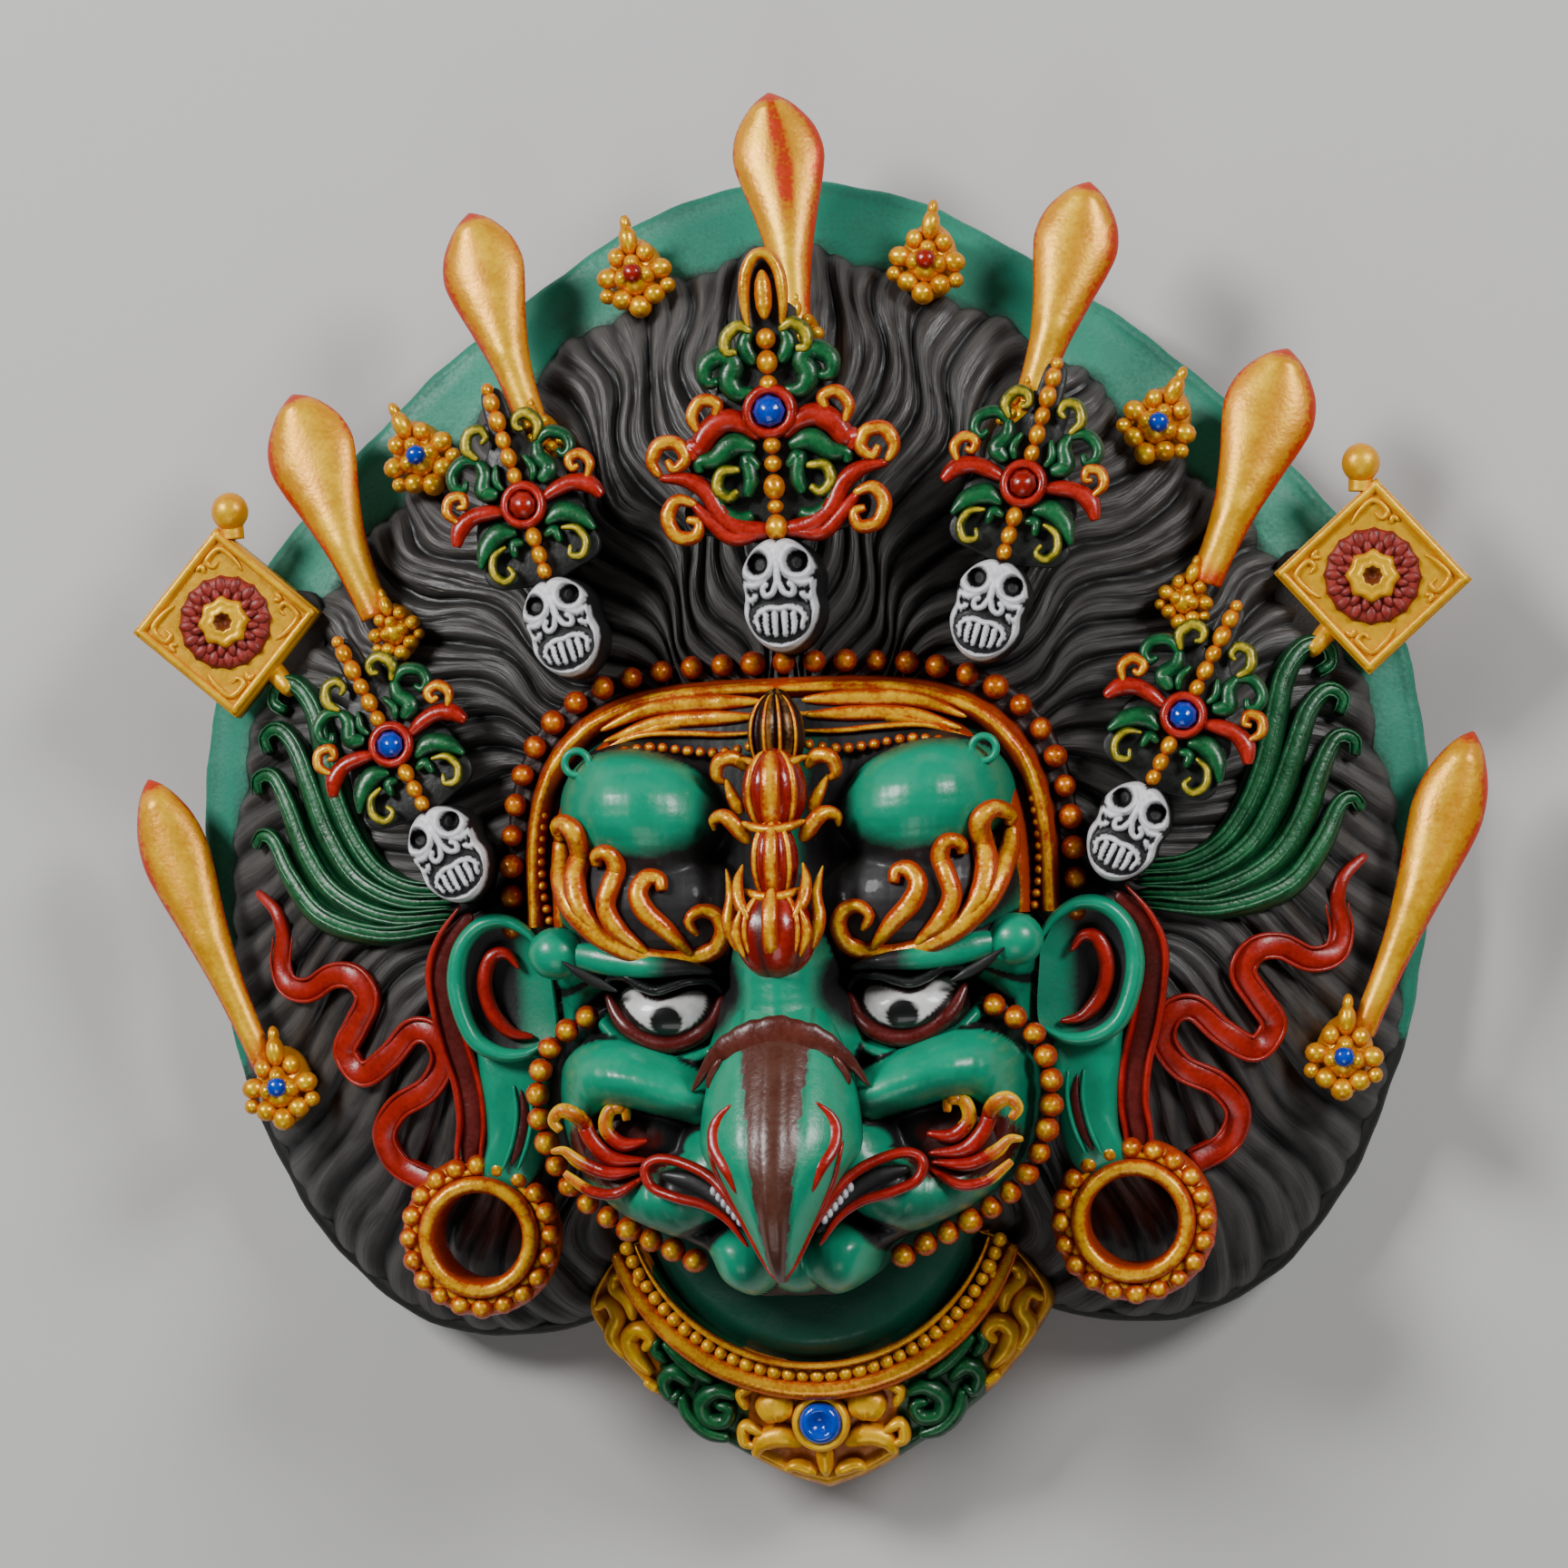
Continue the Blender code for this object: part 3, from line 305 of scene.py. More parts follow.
def bud(centre, radii, ribs=5, depth=0.1, rows=26, columns=60):
    """A ball whose poles lie along y, ribbed like a melon: its radius dips between the ribs."""
    rise = np.linspace(-1.5, 1.5, rows)[:, None]
    turn = full_turn(columns)[None, :]
    rib = np.abs(np.cos(ribs * turn))
    swell = np.cos(rise) * (1 - depth + depth * rib)
    points = [swell * np.cos(turn), np.sin(rise) + 0 * turn, swell * np.sin(turn)]
    points = np.stack(points, axis=-1) * radii + centre
    # crown is on the tops of the ribs, rubbed paint and a painted highlight; the wash mark darkens the
    # grooves between them, black wash and painted shade.
    crown = rib * np.clip(np.sin(turn), 0, 1) + 0 * rise
    return sheet(points, True, crown=crown, wash=(1 - rib) ** 3 + 0 * rise)


def pad(outline, centre, top, base, rows=16, power=2.2):
    """A cushion over a closed outline: rings shrink to the centre and rise as 1 - share^power.

    The first ring is the foot, straight under the rim, so the cushion has a side.
    """
    outline = np.asarray(outline, float)
    share = np.concatenate([[1.0], np.cos(np.linspace(0, math.pi / 2 * 0.99, rows))])
    flat = np.asarray(centre, float) + (outline - centre)[None] * share[:, None, None]
    z = np.broadcast_to((1 - share**power)[:, None] * top, flat.shape[:2]).copy()
    z[0] = base
    # The middle takes the ridge colour, rubbed paint and a painted highlight; the wash mark darkens the
    # edge and the foot, black wash and painted shade.
    edge = np.concatenate([[1.0], share[1:] ** 8])[:, None] * np.ones(len(outline))
    return sheet(np.dstack([flat, z]), True, crown=1 - edge, wash=edge * 0.6)


def placed(one, place, turn=0.0, z=0.0, scale=(1, 1, 1)):
    """A sheet scaled, turned about z and moved to its place on the mask."""
    c, s = math.cos(turn), math.sin(turn)
    points = one["points"] * scale
    x, y = points[..., 0], points[..., 1]
    moved = np.stack([place[0] + x * c - y * s, place[1] + x * s + y * c, points[..., 2] + z], axis=-1)
    return {**one, "points": moved}


# %% Hollows
def averaged(height, reach):
    """Each value replaced by the mean of its neighbours, by running sums along both axes."""
    for axis in (0, 1):
        margin = [(reach + 1, reach) if k == axis else (0, 0) for k in (0, 1)]
        total = np.cumsum(np.pad(height, margin, mode="edge"), axis=axis)
        size = height.shape[axis]
        high = np.take(total, np.arange(2 * reach + 1, 2 * reach + 1 + size), axis=axis)
        low = np.take(total, np.arange(size), axis=axis)
        height = (high - low) / (2 * reach + 1)
    return height


def hollows(height, reach, depth):
    """How far each point lies below its smoothed surroundings, as a share of a depth in mm."""
    return np.clip((averaged(averaged(height, reach), reach) - height) / depth, -1, 1)


# %% [markdown]
# ## Hand paint
#
# The painter worked in layers: a body colour brushed on unevenly, a second colour in places, a
# black wash that stays in the hollows, and a lighter colour dragged over the ridges. The dark
# hollow colour also stands for painted shade, and the lighter ridge colour for a painted
# highlight on tops and ridges. One node group does this for every finish from the marks, broken
# up by noise at the scale of a brush.
# It gives a colour, a roughness and a height for the bump; the shader itself stays in each
# material, where its fixed values are set.

# %% Node helpers
def feed(tree, node, inputs):
    """Sets a node's inputs: a socket is linked to it and a value is kept in it."""
    for key, value in inputs.items():
        if isinstance(value, bpy.types.NodeSocket):
            tree.links.new(value, node.inputs[key])
        else:
            node.inputs[key].default_value = value


def add(tree, kind, inputs=None, **settings):
    """A shader node with its settings and its inputs."""
    node = tree.nodes.new("ShaderNode" + kind)
    for key, value in settings.items():
        setattr(node, key, value)
    feed(tree, node, inputs or {})
    return node


def math_node(tree, operation, a, b=0.0, clamp=False):
    return add(tree, "Math", {0: a, 1: b}, operation=operation, use_clamp=clamp).outputs[0]


def mix_colour(tree, share, under, over):
    return add(tree, "Mix", {0: share, 6: under, 7: over}, data_type="RGBA").outputs[2]


def ramp(tree, value, low, high, start=0.0, end=1.0):
    """A value between low and high stretched to run from start to end, and held there beyond."""
    return add(tree, "MapRange", {0: value, 1: low, 2: high, 3: start, 4: end}, clamp=True).outputs[0]


def noise(tree, vector, scale, detail, roughness):
    inputs = {"Vector": vector, "Scale": scale, "Detail": detail, "Roughness": roughness}
    return add(tree, "TexNoise", inputs).outputs["Fac"]


def new_material(name):
    """A material, its node tree and its shader."""
    material = bpy.data.materials.new(name)
    material.use_nodes = True
    return material, material.node_tree, material.node_tree.nodes["Principled BSDF"]


def new_group(name, inputs, outputs):
    """An empty node group with named sockets: inputs are (name, kind, value)."""
    tree = bpy.data.node_groups.new(name, "ShaderNodeTree")
    for label, kind, value in inputs:
        socket = tree.interface.new_socket(label, in_out="INPUT", socket_type="NodeSocket" + kind)
        socket.default_value = value
    for label, kind in outputs:
        tree.interface.new_socket(label, in_out="OUTPUT", socket_type="NodeSocket" + kind)
    return tree, tree.nodes.new("NodeGroupInput").outputs, tree.nodes.new("NodeGroupOutput").inputs


# %% The paint group
GREY = (0.5, 0.5, 0.5, 1.0)
SPECK_SCALE = 1500.0
paint_group, given, made = new_group(
    "hand paint",
    [("Colour", "Color", GREY), ("Second colour", "Color", GREY), ("Hollow colour", "Color", GREY),
     ("Ridge colour", "Color", GREY), ("Second", "Float", 0.0), ("Wash", "Float", 0.0),
     ("Crown", "Float", 0.0), ("Ridge wear", "Float", 0.3), ("Patches", "Float", 0.3),
     ("Patch size", "Float", 220.0), ("Gloss", "Float", 0.4)],
    [("Colour", "Color"), ("Roughness", "Float"), ("Height", "Float")],
)
place = add(paint_group, "TexCoord").outputs["Object"]


def plus(a, b, clamp=False):
    return math_node(paint_group, "ADD", a, b, clamp)


def times(a, b):
    return math_node(paint_group, "MULTIPLY", a, b)


uneven = plus(noise(paint_group, place, given["Patch size"], 3.0, 0.62), -0.5)
fleck = plus(noise(paint_group, place, SPECK_SCALE, 1.0, 0.6), -0.5)
ragged = plus(times(uneven, 0.9), times(fleck, 0.6))

second = ramp(paint_group, plus(given["Second"], times(ragged, 0.9)), 0.3, 0.62)
second = times(second, math_node(paint_group, "GREATER_THAN", given["Second"], 0.01))
colour = mix_colour(paint_group, second, given["Colour"], given["Second colour"])

# Ridge colour where crown is high: rubbed paint and a painted highlight.
worn = ramp(paint_group, plus(given["Crown"], times(ragged, 0.8)), 0.64, 1.02)
colour = mix_colour(paint_group, times(worn, given["Ridge wear"]), colour, given["Ridge colour"])

# Hollow colour where the wash mark is high: black wash and painted shade.
wash = ramp(paint_group, plus(given["Wash"], times(ragged, given["Patches"])), 0.12, 0.85)
colour = mix_colour(paint_group, wash, colour, given["Hollow colour"])
shade = plus(times(uneven, 0.5), 1.0)
hue = add(paint_group, "HueSaturation", {"Value": shade, "Color": colour})

rough = plus(given["Gloss"], times(wash, 0.22))
rough = plus(rough, times(ragged, 0.28), clamp=True)
brushed = plus(uneven, times(fleck, 0.35))
for label, socket in (("Colour", hue.outputs[0]), ("Roughness", rough), ("Height", brushed)):
    paint_group.links.new(socket, made[label])
print("Paint group:", len(paint_group.nodes), "nodes")


# %% A painted material
def mark(tree, name):
    return add(tree, "Attribute", attribute_name=name).outputs["Fac"]


def wire_up(tree, shader, colour, roughness, height, relief):
    """Links a colour, a roughness and a height to the shader; relief is the bump's depth in mm."""
    bump = add(tree, "Bump", {"Height": height, "Distance": relief * MM, "Strength": 1.0})
    normal = bump.outputs["Normal"]
    feed(tree, shader, {"Base Color": colour, "Roughness": roughness, "Normal": normal})


def painted(name, colour, hollow, ridge=None, second=None, wear_and_highlight=0.3, patches=0.3, patch_size=220.0,
            gloss=0.4, metallic=0.0, coat=0.0, relief=0.12):
    """A material whose paint group reads the piece's marks; relief is the bump's depth in mm."""
    material, tree, shader = new_material(name)
    shader.inputs["Metallic"].default_value = metallic
    shader.inputs["Coat Weight"].default_value = coat
    shader.inputs["Coat Roughness"].default_value = 0.12
    paint = tree.nodes.new("ShaderNodeGroup")
    paint.node_tree = paint_group
    # The ridge colour is rubbed paint and a painted highlight; the hollow colour is black wash and
    # painted shade.
    wanted = {
        "Colour": (*colour, 1), "Hollow colour": (*hollow, 1), "Ridge colour": (*(ridge or colour), 1),
        "Second colour": (*(second or colour), 1), "Ridge wear": wear_and_highlight, "Patches": patches,
        "Patch size": patch_size, "Gloss": gloss,
    }
    feed(tree, paint, wanted)
    feed(tree, paint, {"Second": mark(tree, "tint"), "Wash": mark(tree, "wash"),
                       "Crown": mark(tree, "crown")})
    wire_up(tree, shader, paint.outputs["Colour"], paint.outputs["Roughness"], paint.outputs["Height"],
           relief)
    return material


# %% The painter's palette
TEAL = (0.0005, 0.285, 0.152)
BLACK = (0.004, 0.004, 0.0045)
GOLD = (0.92, 0.50, 0.001)
ORANGE = (0.50, 0.050, 0.001)
RED = (0.46, 0.010, 0.005)
DARK_RED = (0.075, 0.003, 0.002)
LEAF = (0.003, 0.125, 0.030)

face_paint = painted("green face paint", TEAL, BLACK, ridge=(0.01, 0.34, 0.20), second=DARK_RED,
                     wear_and_highlight=0.15, gloss=0.34, coat=0.12, patches=0.35, patch_size=160, relief=0.08)
rim_paint = painted("dusty green rim paint", (0.008, 0.235, 0.145), (0.016, 0.022, 0.018),
                    ridge=(0.04, 0.26, 0.18), second=(0.012, 0.011, 0.010), wear_and_highlight=0.4, gloss=0.5,
                    patches=0.75, patch_size=95)
# Orange under gold: the gold on the tops of strokes and beads is gold paint and a painted highlight.
gold_paint = painted("gold over red", ORANGE, (0.016, 0.003, 0.0015), ridge=GOLD,
                     second=(0.32, 0.02, 0.002), wear_and_highlight=0.95, gloss=0.3, metallic=0.2, patches=0.45,
                     patch_size=350, relief=0.16)
bead_paint = painted("orange bead paint", (0.36, 0.030, 0.001), (0.02, 0.003, 0.001),
                     ridge=(0.80, 0.27, 0.001), wear_and_highlight=0.95, gloss=0.28, metallic=0.2, patches=0.4,
                     patch_size=420, relief=0.1)
bright_gold = painted("bright yellow gold", (0.80, 0.33, 0.0005), (0.14, 0.011, 0.001),
                      ridge=(0.97, 0.58, 0.001), second=(0.58, 0.036, 0.001), wear_and_highlight=0.8, gloss=0.38,
                      metallic=0.3, patches=0.25, patch_size=200, relief=0.12)
red_paint = painted("red paint", (0.26, 0.006, 0.003), DARK_RED, ridge=RED, second=GOLD, wear_and_highlight=0.8,
                    gloss=0.33, coat=0.15, patches=0.4, patch_size=300)
leaf_paint = painted("dark green paint", (0.001, 0.045, 0.013), BLACK, ridge=LEAF,
                     second=(0.55, 0.45, 0.03), wear_and_highlight=0.9, gloss=0.36, coat=0.1, patches=0.4,
                     patch_size=300)
bone_paint = painted("white over black", (0.60, 0.60, 0.63), BLACK, ridge=(0.85, 0.85, 0.88), wear_and_highlight=0.8,
                     gloss=0.36, patches=0.75, patch_size=620, relief=0.18)
blue_paint = painted("blue gem paint", (0.002, 0.030, 0.36), (0.002, 0.004, 0.05),
                     ridge=(0.006, 0.09, 0.70), wear_and_highlight=0.5, second=(0.8, 0.5, 0.1), gloss=0.15, coat=0.5,
                     patches=0.3)
beak_paint = painted("brown beak paint", (0.075, 0.010, 0.005), BLACK, ridge=(0.14, 0.028, 0.015),
                     second=TEAL, wear_and_highlight=0.6, gloss=0.36, coat=0.05, patches=0.6, patch_size=300)
resin_back = painted("bare black back", (0.03, 0.028, 0.026), (0.012, 0.011, 0.01),
                     ridge=(0.05, 0.047, 0.042), wear_and_highlight=0.3, gloss=0.6, patches=0.5, patch_size=90,
                     relief=0.3)

# %% [markdown]
# ## The shell under the hair
#
# The casting is a shallow dome with a flat-cut back, a thick edge and a hollow behind. Its
# outline is a radius over the angle from the crown, and everything else is a share of that
# radius: so one polar sheet runs from under the face, over the green rim, down the side, along
# the land that it hangs flat on, and up into the hollow. The hanging hole is cut out of it.

# %% The dome
RIM_Z = 9.0
DOME_Z = 33.0
OUTLINE = ((0, 98), (12, 95.6), (28, 91), (44, 90.4), (58, 92.8), (72, 97.6), (85, 99), (96, 100),
           (108, 102.5), (120, 105.6), (130, 108), (138, 108.6), (146, 105.5), (154, 97), (163, 86),
           (180, 80))
LOBE_ANGLE = 135
WALL = 6.5
LAND_SHARE = 0.80
EDGE_SHARE = 0.972
EDGE_ROUND = 1.6


def outline_radius(angle):
    """The casting's outer radius at an angle from the crown, in degrees."""
    return profile(np.abs(angle), OUTLINE)


def dome(x, y):
    """Rim height plus a dome that falls as 1 - share^p; p is larger on the lobes by the neck."""
    angle = np.degrees(np.arctan2(x, y))
    share = np.minimum(np.hypot(x, y) / outline_radius(angle), 1)
    power = 2.3 + 1.5 * bell(np.abs(angle), LOBE_ANGLE, 30)
    return RIM_Z + (DOME_Z - RIM_Z) * (1 - share**power)


def polar_points(angle, share):
    """x and y at an angle from the crown, a share of the way out to the outline."""
    radius = share * outline_radius(angle)
    return radius * np.sin(np.radians(angle)), radius * np.cos(np.radians(angle))


def hair_edge(angle):
    """The share at which the hair ends on the green rim; on the lobes it covers the rim."""
    side = np.abs(angle)
    bare = np.clip((115 - side) / 50, 0, 1)
    return 0.985 - 0.115 * bare + 0.012 * bare * np.sin(side * 0.55)


# %% Rim, back and hollow
def shell_sheet(columns=320):
    """Rings of one closed sheet, each a share of the outline and a height.

    They go over the dome, round the edge as a quarter of an oval, down the side, in along
    the flat land and up over the hollow, where the ceiling keeps one wall under the dome.
    """
    angle = np.linspace(180, -180, columns, endpoint=False)
    chipped = 1 + 0.0035 * wobble(angle * 0.21, angle * 0.53, seed=1)
    rings, washes = [], []
    # The wash mark is darkest under the hair, fading out past its edge, and darker again round the edge,
    # down the side, along the land and in the hollow: black wash and painted shade.
    for share in np.linspace(0.3, EDGE_SHARE, 30):
        x, y = polar_points(angle, share * chipped)
        sunk = 1.3 * step_up(hair_edge(angle) - share, 0.0, 0.03)
        rough_cast = 0.12 * wobble(x * 0.7, y * 0.7, seed=2)
        rings.append(np.column_stack([x, y, dome(x, y) - sunk + rough_cast]))
        washes.append(0.75 * step_up(share - hair_edge(angle) + 0.012, 0.03, 0.0) + 0.12)
    for turn in np.linspace(0, math.pi / 2, 6)[1:]:
        x, y = polar_points(angle, (EDGE_SHARE + 0.025 * math.sin(turn)) * chipped)
        edge = dome(*polar_points(angle, EDGE_SHARE)) - EDGE_ROUND * (1 - math.cos(turn))
        rings.append(np.column_stack([x, y, edge]))
        washes.append(0 * angle + 0.25)
    for z in (5.5, 3.5, 1.5, 0.4):
        x, y = polar_points(angle, 0.998 * chipped)
        rings.append(np.column_stack([x, y, 0 * x + z]))
        washes.append(0 * angle + 0.45)
    land = LAND_SHARE - 0.12 * np.clip((np.abs(angle) - 140) / 30, 0, 1)
    for t in (0, 0.3, 0.7, 1):
        x, y = polar_points(angle, 0.994 + (land + 0.006 - 0.994) * t)
        rings.append(np.column_stack([x, y, 0 * x]))
        washes.append(0 * angle + 0.6)
    for t in np.linspace(0, 1, 26):
        x, y = polar_points(angle, land * (1 - 0.97 * t**0.8))
        ceiling = dome(x, y) - WALL
        under_face = 35 - 14 * (1 - np.sqrt(np.clip(1 - (x / 34) ** 2 - ((y + 26) / 36) ** 2, 0, 1)))
        ceiling = np.maximum(ceiling, under_face - 2)
        rise = min(1, 0.08 + t * 9)
        rough_cast = 0.3 * wobble(x * 0.3, y * 0.3, seed=3) * t
        rings.append(np.column_stack([x, y, ceiling * rise + rough_cast]))
        washes.append(0 * angle + 0.8)
    rings = np.array(rings)
    black = step_up(np.abs(angle), 112, 118)[None, :] + 0 * rings[..., 0]
    black = np.maximum(black, step_up(-rings[..., 2], -8.5, -6.5))
    black[35:] = 1
    return sheet(rings, True, crown=np.zeros(rings.shape[:2]), wash=np.array(washes), tint=black)


shell = piece("rim_and_back", [shell_sheet()], rim_paint)

# %% The hanging hole
HANGER_RADIUS = 3.0
HANGER_DEPTH = 7.0
HANGER_Y = 87.0


def cut_hole(target, radius, depth, y):
    """Cuts a round blind hole into the back with an exact Boolean and keeps the result."""
    knots = ((0.1, -4), (radius, -4), (radius, depth - 0.6), (radius - 0.6, depth), (0.1, depth))
    drill = piece("drill", [turned((0, y, 0), knots, columns=32)], rim_paint)
    step = target.modifiers.new("Hanging hole", "BOOLEAN")
    step.object = drill
    step.operation = "DIFFERENCE"
    step.solver = "EXACT"
    bpy.context.view_layer.update()
    graph = bpy.context.evaluated_depsgraph_get()
    cut = bpy.data.meshes.new_from_object(target.evaluated_get(graph))
    target.modifiers.clear()
    target.data = cut
    bpy.data.objects.remove(drill)
    return len(cut.polygons)


print("Rim and back has", cut_hole(shell, HANGER_RADIUS, HANGER_DEPTH, HANGER_Y), "faces after the hole")

# %% [markdown]
# ## The hair
#
# Sixty locks fan out from the face and wave like flames; past half way each one parts in two.
# Carved one by one they would be slow to place. As a height over the turned angle they come all
# at once: the ridge is |sin| of the angle times the number of locks, and the angle is first
# swung to and fro along the radius, which gives the S of the waves.

# %% Hair sheet
LOCKS = 60
LOCK_WAVE = 2.4
HAIR_START = 0.16


def lock_turn(angle, share):
    """How far a lock has swung, in degrees: it waves on the crown and sweeps down on the lobes."""
    side = np.abs(angle)
    down = np.clip((side - 70) / 60, 0, 1)
    radius = np.maximum(share, 0.3) * outline_radius(angle)
    wave = np.degrees(LOCK_WAVE / radius) * np.sin(share * 17 + side * 0.11)
    sweep = 22 * down * (share**2 - 0.3) * np.clip((178 - side) / 20, 0, 1)
    return np.sign(angle) * (wave * np.clip(side / 8, 0, 1) + sweep)


def hair_sheet(columns=760, rows=94):
    """A closed sheet: locks on top, an edge rolled down onto the rim, and an underside."""
    own = np.linspace(180, -180, columns, endpoint=False)[None, :] * np.ones((rows, 1))
    u = np.linspace(0, 1, rows)[:, None] * np.ones((1, columns))
    turned_angle = own + lock_turn(own, 0.12 + 0.85 * u)
    loose = own + 0.45 * wobble(own * 0.11, u * 9, seed=4) + 0.25 * np.sin(u * 31 + own * 0.35)
    single = np.abs(np.sin(np.radians(loose) * LOCKS / 2))
    double = np.abs(np.sin(np.radians(loose) * LOCKS))
    share = HAIR_START + (hair_edge(turned_angle) - HAIR_START) * u
    parting = step_up(share, 0.42, 0.62)
    ridge = (1 - parting) * single**0.75 + parting * (0.42 * single + 0.58 * double**0.75)
    strands = np.abs(np.sin(np.radians(loose) * LOCKS * 1.5 + 6 * np.sin(u * 4 + own * 0.05)))
    thick = 0.85 + 0.25 * wobble(own * 0.17, u * 5, seed=5)
    share = share + 0.014 * u**8 * (ridge - 0.4)
    edge = np.sqrt(np.clip(1 - (np.clip(u - 0.955, 0, 1) / 0.045) ** 2, 0, 1))
    x, y = polar_points(turned_angle, share)
    relief = (0.5 + 2.5 * ridge * thick + 0.35 * strands * ridge) * edge
    top = np.stack([x, y, dome(x, y) + relief - 0.25], axis=-1)
    under = np.stack([x[-1:], y[-1:], dome(x, y)[-1:] - 1.2], axis=-1)
    inner = np.stack([x[:1], y[:1], dome(x, y)[:1] - 1.2], axis=-1)
    points = np.concatenate([top, under, inner])
    ends = np.concatenate([np.zeros_like(ridge), np.ones((2, columns))])
    # crown is high on the lock ridges, where the paint turns lighter grey: rubbed paint and a painted
    # sheen.
    crown = np.concatenate([ridge**1.5 * (0.55 + 0.45 * strands), np.zeros((2, columns))])
    wash = np.concatenate([(1 - ridge) ** 2, np.ones((2, columns))])
    strand_place = np.concatenate([loose / 360 + 0.5, np.zeros((2, columns))])
    return sheet(points, True, crown=crown, wash=np.maximum(wash, ends), tint=strand_place)


# %% Hair paint
def hair_material():
    """Charcoal paint: fine strands run along the locks; the ridges are rubbed grey and carry a painted
    sheen.

    The strand pattern is noise over the lock's own angle (the tint mark) and the distance from
    the middle, stretched so that it runs outwards.
    """
    material, tree, shader = new_material("black hair paint")
    here = add(tree, "TexCoord").outputs["Object"]
    out = add(tree, "VectorMath", {0: here}, operation="LENGTH").outputs["Value"]
    across = math_node(tree, "MULTIPLY", mark(tree, "tint"), 620.0)
    along = math_node(tree, "MULTIPLY", out, 90.0)
    lie = add(tree, "CombineXYZ", {"X": across, "Y": along}).outputs[0]
    strands = noise(tree, lie, 1.0, 4.0, 0.55)
    dust_and_sheen = noise(tree, here, 70.0, 6.0, 0.65)
    brushed_up = math_node(tree, "MULTIPLY_ADD", strands, 1.3)
    ridge = math_node(tree, "MULTIPLY", mark(tree, "crown"), brushed_up)
    # Lighter grey on the ridges, broken by patches: rubbed paint and a painted sheen.
    rubbed_grey_and_sheen = ramp(tree, math_node(tree, "MULTIPLY", ridge, dust_and_sheen), 0.04, 0.40)
    base = mix_colour(tree, rubbed_grey_and_sheen, (0.0032, 0.0032, 0.0034, 1), (0.062, 0.058, 0.054, 1))
    wire_up(tree, shader, base, ramp(tree, dust_and_sheen, 0.35, 0.7, 0.34, 0.62), strands, 0.35)
    return material


piece("hair", [hair_sheet()], hair_material())

# %% [markdown]
# ## The face
#
# The face is modelled as a sculptor builds it: a broad egg first, then rounded masses pressed on
# it, and hollows pushed in. Each mass is an ellipse that falls away from its top as
# 1 - sqrt(1 - d^2), or a roll of clay laid along a curve. The highest wins at each point, with
# the crease between two masses filled a little, which reads as one skin.

# %% Masses and rolls of clay
def fallen(d, depth):
    """How far a rounded section has fallen at a share d of its radius; past the rim it is steep."""
    return depth * (1 - np.sqrt(np.clip(1 - d**2, 0, 1))) + 1.6 * depth * np.clip(d - 1, 0, None)


def mass(x, y, cx, cy, rx, ry, top, depth, turn=0.0):
    """A half ellipsoid with this top and depth; outside its rim it falls away steeply."""
    c, s = math.cos(math.radians(turn)), math.sin(math.radians(turn))
    across = ((x - cx) * c + (y - cy) * s) / rx
    along = (-(x - cx) * s + (y - cy) * c) / ry
    d = np.sqrt(across**2 + along**2)
    return top - fallen(d, depth)


def clay_roll(x, y, path, radius, top, depth):
    """The same rounded section, with d as the distance to a curve over the roll's radius there."""
    steps = 26
    line = smooth_path(path, steps)
    radii = spread(radius, steps)
    tops = spread(top, steps)
    best = np.full(x.shape, -1e3)
    for k in range(steps - 1):
        (px, py), (dx, dy) = line[k], line[k + 1] - line[k]
        t = np.clip(((x - px) * dx + (y - py) * dy) / (dx * dx + dy * dy), 0, 1)
        r = radii[k] + (radii[k + 1] - radii[k]) * t
        high = tops[k] + (tops[k + 1] - tops[k]) * t
        d = np.hypot(x - px - t * dx, y - py - t * dy) / r
        best = np.maximum(best, high - fallen(d, depth))
    return best


def joined(a, b, blend=1.0):
    """The higher of two surfaces; the crease between them is a curve as wide as blend."""
    return 0.5 * (a + b + np.sqrt((a - b) ** 2 + blend**2))


def spot(x, y, cx, cy, rx, ry, soft=0.5, turn=0.0):
    """A painted patch: 1 inside an ellipse, fading to 0 over a share of its radius."""
    c, s = math.cos(math.radians(turn)), math.sin(math.radians(turn))
    d = np.hypot(((x - cx) * c + (y - cy) * s) / rx, (-(x - cx) * s + (y - cy) * c) / ry)
    return 1 - step_up(d, 1 - soft, 1 + soft)


def painted_line(x, y, path, width):
    """A painted stroke: 1 on the curve, fading to 0 at its width."""
    line = smooth_path(path, 40)
    best = np.full(x.shape, 1e3)
    for px, py in line:
        best = np.minimum(best, np.hypot(x - px, y - py))
    return 1 - step_up(best, 0.45 * width, width)


# %% The face's form
FACE_HALF_WIDTHS = ((-80.2, 1.5), (-79, 7), (-76, 12.4), (-71.5, 15.5), (-68.5, 22.5), (-65, 30),
                    (-59, 35.4), (-50, 38), (-35, 38.6), (-20, 39), (-4, 38.4), (6, 34), (10.5, 27),
                    (13.5, 17))
FACE_FOOT_Z = 24
EYE = (18.2, -34.8)


# Each mass: middle x and y, half widths, top, depth, turn, and the width of its crease.
NOSE_AND_BROW = (
    (0, -31, 8.6, 14, 59, 13, 0, 2), (0, -38, 12.5, 10, 60, 14, 0, 2),
    (22.2, -3.4, 13.8, 9.6, 54.5, 13, 14, 3), (20.5, -18.5, 16.5, 10.6, 52.0, 10, 8, 4),
)
MUZZLE_AND_CHIN = (
    (9.5, -57, 8, 8.4, 56.5, 12, 0, 3), (22, -54, 9, 8, 49, 8, 0, 1.5),
    (7.9, -72.2, 6.6, 6.6, 56, 12, 0, 1), (0, -72, 6, 6.6, 51, 10, 0, 2),
    (14, -69.6, 6, 4.6, 50.5, 9, 0, 1),
)
